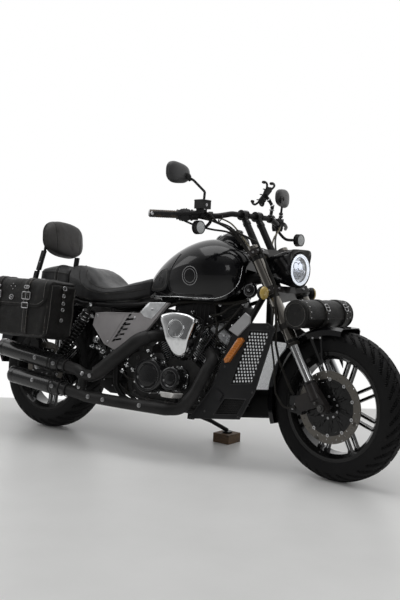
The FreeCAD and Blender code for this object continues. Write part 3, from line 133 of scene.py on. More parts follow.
# ---------------------------------------------------------------- shapes, in millimetres
def lathe(outline, steps=48, start=0.0, sweep=360.0):
    """A form turned about Z from (radius, height) corners."""
    whole = abs(sweep - 360) < 0.01
    count = steps if whole else steps + 1
    points, faces = [], []
    for index in range(count):
        angle = math.radians(start + sweep * index / steps)
        c, s = math.cos(angle), math.sin(angle)
        points += [(r * c, r * s, h) for r, h in outline]
    size = len(outline)
    for index in range(steps):
        here, there = index * size, ((index + 1) % count) * size
        for k in range(size - 1):
            faces.append((here + k, there + k, there + k + 1, here + k + 1))
    return points, faces


def ring(outline, steps=48):
    """A closed section turned about Z."""
    return lathe(list(outline) + [outline[0]], steps)


def band(inner, outer, middle, half, steps=48):
    """A square-cut ring round Z."""
    return ring([(inner, middle - half), (outer, middle - half), (outer, middle + half),
                 (inner, middle + half)], steps)


def prism(outline, low, high):
    """A flat outline (x, y) given thickness along Z."""
    size = len(outline)
    points = [(x, y, low) for x, y in outline] + [(x, y, high) for x, y in outline]
    faces = [tuple(range(size))[::-1], tuple(range(size, 2 * size))]
    for k in range(size):
        n = (k + 1) % size
        faces.append((k, n, size + n, size + k))
    return points, faces


def block(x, y, z):
    """A block about its own middle."""
    x, y, z = x / 2, y / 2, z / 2
    return prism([(-x, -y), (x, -y), (x, y), (-x, y)], -z, z)


def loft(rings, caps=True, closed=False):
    """A skin through rings that have the same number of points."""
    size = len(rings[0])
    points = [tuple(p) for loop in rings for p in loop]
    faces = []
    for row in range(len(rings) - (0 if closed else 1)):
        here, there = row * size, ((row + 1) % len(rings)) * size
        for k in range(size):
            n = (k + 1) % size
            faces.append((here + k, here + n, there + n, there + k))
    if caps and not closed:
        faces.append(tuple(range(size))[::-1])
        faces.append(tuple(range(len(points) - size, len(points))))
    return points, faces


def sheet_of(rows):
    """An open skin through rows of points."""
    size = len(rows[0])
    faces = []
    for row in range(len(rows) - 1):
        for k in range(size - 1):
            a = row * size + k
            faces.append((a, a + 1, a + size + 1, a + size))
    return [tuple(p) for line in rows for p in line], faces


def flowing(points, steps=6, closed=False):
    """A smooth line through the points."""
    spots = [Vector(p) for p in points]
    count = len(spots)
    found = []
    for i in range(count if closed else count - 1):
        trio = [i - 1, i, i + 1, i + 2]
        if closed:
            p0, p1, p2, p3 = [spots[k % count] for k in trio]
        else:
            p0, p1, p2, p3 = [spots[min(max(k, 0), count - 1)] for k in trio]
        for j in range(steps):
            t = j / steps
            found.append(0.5 * (2 * p1 + (p2 - p0) * t + (2 * p0 - 5 * p1 + 4 * p2 - p3) * t * t
                                + (3 * p1 - p0 - 3 * p2 + p3) * t ** 3))
    if not closed:
        found.append(spots[-1])
    return found


def pipe(path, radius, sides=12, closed=False, flat=1.0):
    """A round or flattened bar along a line; radius may be a list."""
    path = [Vector(p) for p in path]
    count = len(path)
    radii = radius if isinstance(radius, (list, tuple)) else [radius] * count
    along = []
    for i in range(count):
        before = path[i - 1] if closed or i else path[0]
        after = path[(i + 1) % count] if closed or i < count - 1 else path[-1]
        along.append((after - before).normalized())
    normal = along[0].orthogonal().normalized()
    rings = []
    for i in range(count):
        normal = (normal - along[i] * normal.dot(along[i])).normalized()
        side = along[i].cross(normal)
        loop = []
        for k in range(sides):
            angle = 2 * math.pi * k / sides
            loop.append(path[i] + (normal * math.cos(angle) + side * math.sin(angle) * flat)
                        * radii[i])
        rings.append(loop)
    return loft(rings, not closed, closed)


def ribbon(path, up, wide, thick):
    """A flat strap along a line; up is its face's direction, or a list of them."""
    path = [Vector(p) for p in path]
    rings = []
    for i, p in enumerate(path):
        along = (path[min(i + 1, len(path) - 1)] - path[max(i - 1, 0)]).normalized()
        face = Vector(up[i] if isinstance(up, list) else up)
        side = along.cross(face).normalized()
        face = side.cross(along).normalized()
        edge = thick * 0.35
        rings.append([p + side * (sx * wide / 2) + face * fz for sx, fz in (
            (-1, 0), (-1, edge), (-0.86, thick), (0.86, thick), (1, edge), (1, 0))])
    return loft(rings)


def bolt(radius, high, kind="cap"):
    """A fastener's head that stands on Z = 0."""
    if kind == "hex":
        return lathe([(0, high), (radius * 0.86, high), (radius, high * 0.7), (radius, 0),
                      (radius * 1.3, 0), (radius * 1.3, -0.6)], 6)
    if kind == "dome":
        return lathe([(0, high), (radius * 0.5, high * 0.9), (radius * 0.87, high * 0.5),
                      (radius, 0), (radius, -0.6)], 14)
    return lathe([(0, high * 0.45), (radius * 0.5, high * 0.45), (radius * 0.55, high),
                  (radius * 0.88, high), (radius, high * 0.8), (radius, 0),
                  (radius * 1.25, 0), (radius * 1.25, -0.6)], 14)


def stepped(outline, middle, levels, side=1):
    """A side's flat outline (x, z), carried through levels of (share of its size, y)."""
    return loft([[(middle[0] + (x - middle[0]) * grow, side * y,
                   middle[1] + (z - middle[1]) * grow) for x, z in outline]
                 for grow, y in levels])


class Piece:
    """Shapes in millimetres that become one mesh on one body."""

    def __init__(self, name, body, home, finish):
        self.name, self.body, self.home, self.finish = name, body, home, finish
        self.points, self.faces = [], []

    def add(self, shape, place=None):
        points, faces = shape
        base = len(self.points)
        spots = [Vector(p) for p in points]
        self.points += spots if place is None else [place @ p for p in spots]
        self.faces += [tuple(base + k for k in face) for face in faces]

    def stud(self, shape, skin, spots, direction, lift=0.0):
        """One shape standing on each of the spots laid on a skin."""
        for spot, face in zip(*skin.lay(spots, direction, lift)):
            self.add(shape, aimed(spot, face))

    def done(self, smooth=38, bevel=0.0, segments=2, levels=0, thick=0.0, stands_for=(),
             slot=None):
        mesh = bpy.data.meshes.new(self.name)
        mesh.from_pydata([self.home @ p for p in self.points], [], self.faces)
        form = bmesh.new()
        form.from_mesh(mesh)
        bmesh.ops.remove_doubles(form, verts=form.verts, dist=WELD)
        bmesh.ops.recalc_face_normals(form, faces=form.faces)
        form.to_mesh(mesh)
        form.free()
        mesh.materials.append(self.finish)
        mesh.polygons.foreach_set("use_smooth", [True] * len(mesh.polygons))
        mesh.set_sharp_from_angle(angle=math.radians(smooth))
        made = bpy.data.objects.new(self.name, mesh)
        scene.collection.objects.link(made)
        if thick:
            sheet = made.modifiers.new("sheet", "SOLIDIFY")
            sheet.thickness, sheet.offset = thick * MM, 1
        if bevel:
            edge = made.modifiers.new("edges", "BEVEL")
            edge.width, edge.segments, edge.limit_method = bevel * MM, segments, "ANGLE"
            edge.angle_limit = SHARP_EDGE
            edge.harden_normals = True
        if levels:
            finer = made.modifiers.new("skin", "SUBSURF")
            finer.levels = finer.render_levels = levels
        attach(made, self.body)
        if stands_for:
            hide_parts(*stands_for)
        return made


def on_bike(name, finish):
    return Piece(name, "chassis", BIKE, finish)


def on_bars(name, finish):
    return Piece(name, "steering", BARS, finish)


# ---------------------------------------------------------------- finishes
class Value:
    """A number or colour that varies over a surface; operators add Math nodes to it."""

    def __init__(self, finish, socket):
        self.finish, self.socket = finish, socket

    def sum_of(self, operation, first, second):
        return self.finish.node("ShaderNodeMath", {"operation": operation}, {0: first, 1: second})

    def __add__(self, other):
        return self.sum_of("ADD", self, other)

    def __rsub__(self, other):
        return self.sum_of("SUBTRACT", other, self)

    def __mul__(self, other):
        return self.sum_of("MULTIPLY", self, other)

    __radd__ = __add__
    __rmul__ = __mul__

    def between(self, low, high, start=0.0, end=1.0):
        """Start below low, end above high, and a straight change from one to the other."""
        values = {"Value": self, "From Min": low, "From Max": high, "To Min": start, "To Max": end}
        return self.finish.node("ShaderNodeMapRange", {"clamp": True}, values)


class Nodes:
    """The nodes of one material or world."""

    def __init__(self, tree):
        self.tree = tree

    def node(self, kind, settings=None, values=None, out=0):
        made = self.tree.nodes.new(kind)
        for name, value in (settings or {}).items():
            setattr(made, name, value)
        for key, value in (values or {}).items():
            self.fill(made.inputs[key], value)
        return Value(self, made.outputs[out])

    def fill(self, socket, value):
        if isinstance(value, Value):
            self.tree.links.new(value.socket, socket)
        else:
            socket.default_value = value


class Finish(Nodes):
    """One material, with the nodes that vary it over the surface."""

    def __init__(self, name):
        self.material = bpy.data.materials.new(name)
        self.material.use_nodes = True
        super().__init__(self.material.node_tree)
        self.shader = self.tree.nodes["Principled BSDF"]
        self.place = self.node("ShaderNodeTexCoord", out="Object")

    def stretched(self, x=1.0, y=1.0, z=1.0, turn=(0.0, 0.0, 0.0)):
        return self.node("ShaderNodeMapping", {}, {
            "Vector": self.place, "Scale": (x, y, z), "Rotation": turn})

    def clouds(self, scale, detail=3.0, rough=0.55, where=None):
        return self.node("ShaderNodeTexNoise", {}, {
            "Vector": where or self.place, "Scale": scale, "Detail": detail, "Roughness": rough})

    def grain(self, scale, feature="F1"):
        """Cells like those of leather or of a cast surface."""
        return self.node("ShaderNodeTexVoronoi", {"feature": feature}, {
            "Vector": self.place, "Scale": scale}, out="Distance")

    def lines(self, scale, direction):
        return self.node("ShaderNodeTexWave", {"bands_direction": direction}, {
            "Vector": self.place, "Scale": scale}, out="Fac")

    def mix(self, share, first, second):
        return self.node("ShaderNodeMix", {"data_type": "RGBA"}, {
            0: share, 6: (*first, 1) if isinstance(first, tuple) else first,
            7: (*second, 1) if isinstance(second, tuple) else second}, out=2)

    def bump(self, height, depth, strength):
        """Relief of a depth in millimetres."""
        return self.node("ShaderNodeBump", {}, {
            "Height": height, "Distance": depth * MM, "Strength": strength})

    def set(self, **values):
        for name, value in values.items():
            socket = self.shader.inputs[name.replace("_", " ")]
            if isinstance(value, tuple) and len(value) == 3:
                value = (*value, 1)
            self.fill(socket, value)
        return self

    def done(self):
        return self.material


def painted(name, colour, lighter, rough, coat=0.0, speck=0.03, wear=0.0, worn=(0.3, 0.29, 0.28)):
    """Paint or lacquer with faint clouds, a fine skin and scattered scuffs of wear."""
    f = Finish(name)
    drift = f.clouds(9, 4)
    tone = f.mix(drift.between(0.35, 0.7), colour, lighter)
    dust = f.clouds(700, 2)
    if wear:
        scuffs = f.clouds(160, 5, 0.7).between(0.62, 0.74) * (wear * 0.35)
        tone = f.mix(scuffs, tone, worn)
    roughness = f.clouds(40, 3) * 0.12 + dust * speck + (rough - 0.07)
    f.set(Base_Color=tone, Roughness=roughness, Normal=f.bump(dust, 0.05, 0.15))
    f.set(Coat_Weight=coat, Coat_Roughness=0.04, Specular_IOR_Level=0.2)
    return f.done()


def cast(name, colour, lighter, metal, rough, pitch=900, depth=0.25):
    """A cast or blasted metal skin with small cells in its relief and a tone that drifts in
    clouds.
    """
    f = Finish(name)
    cells = f.grain(pitch)
    clouds = f.clouds(30, 5)
    tone = f.mix(clouds.between(0.3, 0.7), colour, lighter)
    f.set(Base_Color=tone, Metallic=metal, Roughness=clouds * 0.2 + (rough - 0.1))
    f.set(Normal=f.bump(cells, depth, 0.35))
    return f.done()


def polished(name, colour, rough, smear=0.06):
    """Plated or polished metal with fine hazing."""
    f = Finish(name)
    haze = f.clouds(60, 5, 0.6)
    marks = f.clouds(400, 2, 0.5, f.stretched(1, 0.12, 0.3))
    dark = tuple(c * 0.82 for c in colour)
    f.set(Base_Color=f.mix(haze.between(0.3, 0.75), colour, dark), Metallic=1.0)
    f.set(Roughness=haze * smear + marks * 0.03 + rough, Normal=f.bump(marks, 0.02, 0.08))
    return f.done()


def leather(name, colour, lighter, rough, scale, wear, worn, depth=0.5):
    """Hide or vinyl: creased cells, soft colour clouds and rubbed patches."""
    f = Finish(name)
    warp = f.clouds(14, 3)
    cells = f.grain(scale, "DISTANCE_TO_EDGE")
    pores = f.clouds(scale * 2.5, 3)
    creases = f.clouds(22, 6, 0.7, f.stretched(1, 1, 2.2))
    tone = f.mix(warp.between(0.3, 0.72), colour, lighter)
    rubbed = f.clouds(46, 6, 0.72).between(0.56, 0.7) * wear
    tone = f.mix(rubbed.between(0.0, 1.0), tone, worn)
    relief = cells.between(0.0, 0.09) + pores * 0.4 + creases * 0.9
    f.set(Base_Color=tone, Roughness=warp * 0.2 + rubbed * 0.14 + (rough - 0.1))
    f.set(Normal=f.bump(relief, depth, 0.4), Specular_IOR_Level=0.3)
    return f.done()


def rubber(name, colour, dust_and_highlight_colour, rough=0.72, dust=0.5):
    f = Finish(name)
    dust_and_highlight_film = f.clouds(11, 5, 0.65)
    fine = f.clouds(900, 3)
    # the paler tone is dust on tyres, hoses and belt; on the highlight-painted cables it is a
    # painted highlight
    f.set(Base_Color=f.mix(dust_and_highlight_film.between(0.42, 0.7) * dust, colour, dust_and_highlight_colour))
    f.set(Roughness=dust_and_highlight_film * 0.15 + (rough - 0.07), Normal=f.bump(fine, 0.15, 0.3))
    f.set(Specular_IOR_Level=0.2)
    return f.done()


def moulded(name, colour, lighter, rough):
    """Moulded plastic with a fine spark-eroded skin."""
    f = Finish(name)
    fine = f.clouds(1500, 2)
    soft = f.clouds(16, 3)
    tone = f.mix(soft.between(0.3, 0.7), colour, lighter)
    scuffs = f.clouds(190, 5, 0.7).between(0.64, 0.76) * 0.12
    tone = f.mix(scuffs, tone, tuple(min(1, c * 3 + 0.05) for c in colour))
    f.set(Base_Color=tone, Roughness=soft * 0.14 + fine * 0.05 + (rough - 0.09))
    f.set(Normal=f.bump(fine, 0.12, 0.3), Specular_IOR_Level=0.3)
    return f.done()


def clear(name, colour):
    """Lens plastic."""
    f = Finish(name)
    haze = f.clouds(50, 3)
    f.set(Base_Color=f.mix(haze * 0.15, colour, tuple(c * 0.9 for c in colour)))
    f.set(Transmission_Weight=0.92, IOR=1.45, Roughness=haze * 0.04 + 0.03)
    return f.done()


def coloured_lens(name, colour, deep, fluting):
    """A tinted lens over its own reflector, ribbed inside."""
    f = Finish(name)
    ribs = f.lines(fluting, "Z") * 0.6 + f.lines(fluting * 0.8, "Y") * 0.4
    tone = f.mix(ribs.between(0.15, 0.85), deep, colour)
    f.set(Base_Color=tone, Roughness=f.clouds(60) * 0.06 + 0.08, Coat_Weight=1.0)
    f.set(Normal=f.bump(ribs, 0.5, 0.35))
    return f.done()


def ring_steel():
    """A brake disc's swept band: turned marks round the axle and heat tints."""
    f = Finish("disc_band_steel")
    centre = FRONT_HUB.translation
    axis = (FRONT_HUB.to_3x3() @ Vector((0, 0, 1))).normalized()
    from_axle = f.node("ShaderNodeVectorMath", {"operation": "SUBTRACT"},
                       {0: f.place, 1: tuple(centre)})
    across = f.node("ShaderNodeVectorMath", {"operation": "CROSS_PRODUCT"},
                    {0: from_axle, 1: tuple(axis)})
    reach = f.node("ShaderNodeVectorMath", {"operation": "LENGTH"}, {0: across}, out="Value")
    marks = f.node("ShaderNodeTexNoise", {"noise_dimensions": "1D"},
                   {"W": reach, "Scale": 2200.0, "Detail": 3.0})
    tint = f.clouds(20, 3)
    tone = f.mix(marks.between(0.3, 0.7), (0.1, 0.094, 0.084), (0.2, 0.188, 0.17))
    tone = f.mix(tint.between(0.4, 0.7) * 0.5, tone, (0.15, 0.135, 0.115))
    f.set(Base_Color=tone, Metallic=0.85, Roughness=marks * 0.14 + 0.3)
    f.set(Normal=f.bump(marks, 0.05, 0.3))
    return f.done()


def timber():
    """Old sawn board: growth lines and dirt."""
    f = Finish("old_board")
    along = f.stretched(1.0, 9.0, 9.0, (0, 0, math.radians(6)))
    growth = f.clouds(16, 6, 0.7, along)
    dirt = f.clouds(30, 4)
    tone = f.mix(growth.between(0.3, 0.7), (0.05, 0.03, 0.017), (0.17, 0.105, 0.055))
    tone = f.mix(dirt.between(0.5, 0.72) * 0.7, tone, (0.018, 0.013, 0.01))
    f.set(Base_Color=tone, Roughness=growth * 0.2 + 0.6, Normal=f.bump(growth, 0.8, 0.6))
    return f.done()


def glowing_fin_core():
    """The radiator's bare fins: fine upright lines of pale aluminium, glowing with painted light.
    """
    f = Finish("radiator_fins_painted_glow")
    fins = f.lines(520, "Z")
    tone = f.mix(fins.between(0.2, 0.8), (0.5, 0.51, 0.52), (0.93, 0.94, 0.95))
    f.set(Base_Color=tone, Metallic=0.1, Roughness=f.clouds(80) * 0.2 + 0.4)
    # painted light: the emission makes the pale fins glow, though they are no lamp
    f.set(Emission_Color=tone, Emission_Strength=0.35)
    f.set(Normal=f.bump(fins, 0.5, 0.4))
    return f.done()


def lit(name, colour, strength):
    f = Finish(name)
    spots = f.clouds(300, 2)
    tone = f.mix(spots.between(0.3, 0.8), colour, tuple(c * 0.92 for c in colour))
    f.set(Base_Color=tone, Emission_Color=tone, Emission_Strength=strength)
    f.set(Roughness=spots * 0.1 + 0.2)
    return f.done()


def wrapped_grip():
    """Grip rubber with brown rubbed bands and pale dried marks."""
    f = Finish("grip_worn_rubber")
    patches = f.clouds(26, 5, 0.7)
    marks = f.clouds(60, 5, 0.75)
    tone = f.mix(patches.between(0.45, 0.6), (0.02, 0.018, 0.016), (0.075, 0.052, 0.03))
    tone = f.mix(marks.between(0.62, 0.7) * 0.8, tone, (0.42, 0.42, 0.42))
    f.set(Base_Color=tone, Roughness=patches * 0.2 + 0.45, Normal=f.bump(marks, 0.4, 0.4))
    return f.done()


GLOSS = painted("tank_gloss_black", (0.003, 0.003, 0.0035), (0.006, 0.006, 0.007), 0.16, 0.45)
SATIN = painted("frame_satin_black", (0.006, 0.006, 0.0065), (0.013, 0.012, 0.012), 0.38, 0.0,
                0.06, 0.5)
FORK_PAINT = painted("fork_clamp_black", (0.012, 0.011, 0.011), (0.026, 0.023, 0.022), 0.34, 0.2,
                     0.04, 0.5, (0.2, 0.17, 0.14))
FORK_TUBE = polished("fork_tube_dark_chrome", (0.36, 0.34, 0.31), 0.1)
PIPE_BLACK = painted("exhaust_heat_black", (0.012, 0.012, 0.012), (0.024, 0.023, 0.023), 0.4,
                     0.0, 0.12, 0.6, (0.16, 0.15, 0.14))
WHEEL_BLACK = painted("wheel_gloss_black", (0.004, 0.004, 0.004), (0.009, 0.009, 0.009), 0.24,
                      0.3, 0.03, 0.3)
ENGINE_GLOSS = painted("engine_cover_gloss", (0.007, 0.007, 0.0075), (0.014, 0.014, 0.015), 0.2,
                       0.8, 0.03, 0.5)
ENGINE_CAST = cast("engine_cast_black", (0.012, 0.012, 0.012), (0.035, 0.034, 0.033), 0.2, 0.5)
FIN_BLACK = cast("fin_casting_black", (0.014, 0.014, 0.014), (0.03, 0.03, 0.03), 0.3, 0.42)
FIN_EDGE = polished("fin_edge_machined", (0.78, 0.79, 0.8), 0.24)
CHROME = polished("chrome_plate", (0.9, 0.91, 0.92), 0.035, 0.05)
HARD_CHROME = polished("stanchion_chrome", (0.72, 0.73, 0.74), 0.1)
SILVER = cast("rocker_silver", (0.66, 0.67, 0.69), (0.88, 0.89, 0.9), 0.75, 0.34, 1200, 0.12)
STEEL = polished("bolt_steel", (0.6, 0.6, 0.61), 0.22, 0.14)
DARK_STEEL = cast("dark_steel", (0.07, 0.07, 0.07), (0.16, 0.155, 0.15), 0.8, 0.42, 1400, 0.1)
BOLT_BLACK = painted("bolt_black", (0.02, 0.02, 0.02), (0.06, 0.06, 0.06), 0.4, 0.2, 0.1, 0.8)
TYRE = rubber("tyre_rubber", (0.004, 0.004, 0.0044), (0.01, 0.0098, 0.0095), 0.6)
HOSE = rubber("hose_rubber", (0.01, 0.0095, 0.0085), (0.03, 0.027, 0.022), 0.45, 0.6)
# a pale yellowish colour that paints the cables' highlights into the rubber
HOSE_PAINTED_HIGHLIGHT = rubber("hose_painted_highlight", (0.1, 0.09, 0.06), (0.3, 0.27, 0.19), 0.42, 0.9)
BELT = rubber("belt_rubber", (0.015, 0.015, 0.015), (0.05, 0.048, 0.045), 0.66)
SEAT_VINYL = leather("seat_vinyl", (0.014, 0.014, 0.0145), (0.03, 0.03, 0.031), 0.36, 620, 0.12,
                     (0.06, 0.06, 0.06), 0.3)
PAD_HIDE = leather("backrest_hide", (0.03, 0.0285, 0.028), (0.055, 0.052, 0.05), 0.44, 520, 0.25,
                   (0.085, 0.08, 0.075), 0.4)
BAG_HIDE = leather("saddlebag_hide", (0.004, 0.0037, 0.0034), (0.009, 0.0085, 0.008), 0.46, 380,
                   0.5, (0.05, 0.046, 0.041), 0.7)
STRAP_HIDE = leather("strap_hide", (0.006, 0.0055, 0.005), (0.014, 0.013, 0.012), 0.5, 420, 0.7,
                     (0.14, 0.125, 0.105), 0.5)
THREAD = leather("pale_thread", (0.19, 0.185, 0.175), (0.3, 0.29, 0.275), 0.7, 900, 0.3,
                 (0.2, 0.18, 0.15), 0.3)
GREY_TRIM = painted("shroud_dark_grey", (0.011, 0.011, 0.0115), (0.019, 0.019, 0.02), 0.34, 0.35,
                    0.05, 0.4)
COVER_GREY = painted("side_cover_grey", (0.26, 0.247, 0.25), (0.33, 0.317, 0.32), 0.36, 0.3,
                     0.05, 0.4)
PALE_GREY = painted("upper_trim_grey", (0.26, 0.26, 0.265), (0.34, 0.34, 0.345), 0.34, 0.4, 0.04,
                    0.3, (0.5, 0.5, 0.5))
PLASTIC = moulded("moulded_black", (0.009, 0.009, 0.0095), (0.018, 0.018, 0.018), 0.48)
MESH_BLACK = moulded("mesh_black", (0.004, 0.004, 0.004), (0.009, 0.009, 0.009), 0.42)
MIRROR_SHELL = moulded("mirror_shell_black", (0.036, 0.036, 0.037), (0.05, 0.05, 0.051), 0.36)
MIRROR_GLASS = polished("mirror_glass", (0.9, 0.91, 0.92), 0.01, 0.01)
LENS = clear("lamp_lens_clear", (0.97, 0.98, 1.0))
FOG_LENS = coloured_lens("fog_lens_pale", (0.62, 0.64, 0.64), (0.24, 0.25, 0.25), 150.0)
AMBER = coloured_lens("reflector_amber", (0.62, 0.2, 0.02), (0.28, 0.075, 0.006), 260.0)
GOLD = coloured_lens("indicator_gold", (0.6, 0.44, 0.12), (0.3, 0.19, 0.03), 180.0)
RED = coloured_lens("tail_red", (0.32, 0.008, 0.008), (0.1, 0.002, 0.002), 240.0)
RING_LIGHT = lit("running_ring_light", (0.9, 0.94, 1.0), 0.75)
BEAM = lit("projector_lamp_lit", (0.86, 0.9, 1.0), 0.9)
REFLECTOR = polished("lamp_reflector", (0.9, 0.92, 0.95), 0.08)
DISC = ring_steel()
BOARD = timber()
# the radiator core's finish glows with painted light
CORE_PAINTED_GLOW = glowing_fin_core()
GRIP = wrapped_grip()
PEG_METAL = cast("footpeg_cast_silver", (0.5, 0.49, 0.47), (0.75, 0.74, 0.72), 0.5, 0.4, 700, 0.3)
ORANGE_GRIP = leather("grip_end_tan", (0.3, 0.13, 0.055), (0.45, 0.22, 0.1), 0.5, 400, 0.3,
                      (0.14, 0.06, 0.03), 0.4)
CALIPER = painted("caliper_satin_black", (0.008, 0.008, 0.0085), (0.018, 0.018, 0.018), 0.36, 0.3,
                  0.06, 0.5)
MUFFLER_BLACK = painted("muffler_gloss_black", (0.01, 0.01, 0.0105), (0.022, 0.022, 0.022), 0.24,
                        0.6, 0.08, 0.4, (0.14, 0.13, 0.12))
THREAD_DULL = leather("dull_thread", (0.16, 0.155, 0.145), (0.24, 0.23, 0.21), 0.7, 900, 0.3,
                      (0.1, 0.095, 0.085), 0.3)


# ---------------------------------------------------------------- laying things on a surface
class Skin:
    """The outside of some objects, in a home frame, on which lines and bolts are laid."""

    def __init__(self, home, *objects):
        graph = bpy.context.evaluated_depsgraph_get()
        back = home.inverted()
        points, faces = [], []
        for item in objects:
            mesh = item.evaluated_get(graph).to_mesh()
            base = len(points)
            world = back @ item.matrix_world
            points += [world @ v.co for v in mesh.vertices]
            faces += [[base + k for k in p.vertices] for p in mesh.polygons]
        self.tree = BVHTree.FromPolygons(points, faces)

    def lay(self, spots, direction, lift=0.0):
        """The spots moved along a direction onto the skin, and its normals there."""
        way = Vector(direction).normalized()
        found, normals = [], []
        for spot in spots:
            hit, normal, _, _ = self.tree.ray_cast(Vector(spot), way)
            if hit is None:
                continue
            if normal.dot(way) > 0:
                normal = -normal
            found.append(hit + normal * lift)
            normals.append(normal)
        return found, normals


def stitched(piece, line, normals, pitch, thick, proud):
    """Separate stitches along a line that lies on a surface."""
    long = pitch * 0.62
    if len(line) < 2:
        return
    total = 0.0
    marks = [0.0]
    for a, b in zip(line, line[1:]):
        total += (b - a).length
        marks.append(total)
    count = max(2, int(total / pitch))
    for number in range(count):
        want = (number + 0.5) * total / count
        k = max(i for i, m in enumerate(marks) if m <= want)
        k = min(k, len(line) - 2)
        share = (want - marks[k]) / max(marks[k + 1] - marks[k], 1e-6)
        spot = line[k].lerp(line[k + 1], share)
        along = (line[k + 1] - line[k]).normalized()
        face = normals[k]
        side = along.cross(face).normalized()
        place = Matrix((along, side, face)).transposed().to_4x4()
        place.translation = spot + face * proud * 0.3
        shape = prism([(-long / 2, 0), (-long * 0.3, -thick / 2), (long * 0.3, -thick / 2),
                       (long / 2, 0), (long * 0.3, thick / 2), (-long * 0.3, thick / 2)],
                      -0.6, proud)
        piece.add(shape, place)


def outline_on(skin, corners, start, direction, steps, closed, lift=0.0, smooth=True):
    """A line through flat corners (x, z), laid on a side's skin from a starting y."""
    spots = [(x, start, z) for x, z in corners]
    if smooth:
        spots = flowing(spots, steps, closed)
    else:
        dense = []
        ends = spots + spots[:1] if closed else spots
        for a, b in zip(ends, ends[1:]):
            dense += [Vector(a).lerp(Vector(b), k / steps) for k in range(steps)]
        spots = dense + ([] if closed else [Vector(ends[-1])])
    line, normals = skin.lay(spots, direction, lift)
    if closed and len(line) > 2:
        line.append(line[0])
        normals.append(normals[0])
    return line, normals


# ---------------------------------------------------------------- tyres
def tread_depth(arc, across, half, pitch, lean_back, reach):
    """How deep the tread is cut at a place on the tyre, from 0 to 1."""
    side = 1 if across > 0 else -1
    far = abs(across)
    if far > reach:
        return 0.0
    deep = 0.0
    for first, last, offset, wide, slope in ((5, reach - 4, 0.0, 4.4, lean_back),
                                             (half * 0.34, reach, 0.5, 3.8, lean_back * 0.72)):
        if not first <= far <= last:
            continue
        line = offset * pitch + (side * 0.25 * pitch) + slope * far + 0.005 * far * far
        gap = (arc - line) % pitch
        gap = min(gap, pitch - gap)
        ends = min((far - first) / 5, (last - far) / 6, 1.0)
        deep = max(deep, max(0.0, 1 - (gap / (wide * (0.5 + 0.5 * ends))) ** 4))
    if abs(far - half * 0.16) < 1.6 and half > 70:
        deep = max(deep, 1 - (abs(far - half * 0.16) / 1.6) ** 4)
    return deep


TYRE_STEPS, TREAD_DEPTH = 840, 6.0


def tyre(name, body, home, radius, width, blocks, lean_back):
    """A tyre whose tread is cut into its crown and shoulders."""
    half = width / 2
    bead = half - 8.3
    section = flowing([
        (228.4, -bead, 0), (232, -bead - 3.4, 0), (238, 4 - half, 0), (250, 2.2 - half, 0),
        (radius - 50, 1.2 - half, 0), (radius - 34, 2.2 - half, 0), (radius - 20, 11 - half, 0),
        (radius - 11, 22 - half, 0), (radius - 3.4, 40 - half, 0),
        (radius - 0.5, 0.4 - half * 0.3, 0),
        (radius - 0.2, 0, 0), (radius - 0.5, half * 0.3 - 0.4, 0), (radius - 3.4, half - 40, 0),
        (radius - 11, half - 22, 0), (radius - 20, half - 11, 0), (radius - 34, half - 2.2, 0),
        (radius - 50, half - 1.2, 0), (250, half - 2.2, 0), (238, half - 4, 0),
        (232, bead + 3.4, 0), (228.4, bead, 0)], 3)
    outline = [(p.x, p.y) for p in section]
    crown = len(outline) // 2
    run = [0.0] * len(outline)
    for step in (-1, 1):
        i = crown
        while 0 <= i + step < len(outline):
            run[i + step] = run[i] + step * math.dist(outline[i], outline[i + step])
            i += step
    reach = abs(run[min(i for i, (r, h) in enumerate(outline) if r > radius - 40)])
    pitch = 2 * math.pi * radius / blocks
    made = Piece(name, body, home, TYRE)
    points, faces = lathe(outline, TYRE_STEPS)
    size = len(outline)
    cut = []
    for number, (x, y, z) in enumerate(points):
        at = number % size
        r, across = outline[at]
        if abs(run[at]) < reach:
            arc = radius * 2 * math.pi * (number // size) / TYRE_STEPS
            deep = TREAD_DEPTH * tread_depth(arc, run[at], half, pitch, lean_back, reach)
            before, after = outline[max(at - 1, 0)], outline[min(at + 1, size - 1)]
            outward = Vector((after[1] - before[1], before[0] - after[0])).normalized()
            inward = r - deep * abs(outward.x)
            cut.append((x * inward / r, y * inward / r, z - deep * outward.y))
        else:
            ridge = 0.7 if 0.2 < math.sin(r * 0.55) and 244 < r < 252 else 0.0
            cut.append((x, y, z + math.copysign(ridge, z)))
    made.add((cut, faces))
    inner = [(228.4, bead), (240, bead - 6), (radius - 24, half - 22), (radius - 14, 0),
             (radius - 24, 22 - half), (240, 6 - bead), (228.4, -bead)]
    made.add(lathe(inner, 96))
    return made.done(50, stands_for=[name.replace("treaded", "tyre")], slot="tyre")


tyre("front_treaded", "front_wheel", FRONT_HUB, FRONT_RADIUS, 120, 34, 1.05)
tyre("rear_treaded", "rear_wheel", REAR_HUB, REAR_RADIUS, 150, 30, 0.8)


# ---------------------------------------------------------------- wheels
def spoke_edges(name, body, home, phase):
    """Machined lands along the edges of every spoke, on both sides of the wheel."""
    made = Piece(name, body, home, FIN_EDGE)
    for number in range(8):
        turn = Matrix.Rotation(math.radians(45 * number + phase), 4, "Z")
        for bar in (-17, 17):
            for face in (-1, 1):
                for edge in (-4.6, 4.6):
                    land = [(44, bar + edge - 1.0), (202, bar + edge - 1.1),
                            (202, bar + edge + 1.1), (44, bar + edge + 1.0)]
                    low, high = (10.6, 11.7) if face > 0 else (-11.7, -10.6)
                    made.add(prism(land, low, high), turn)
    return made.done(30, slot="wheel_black")


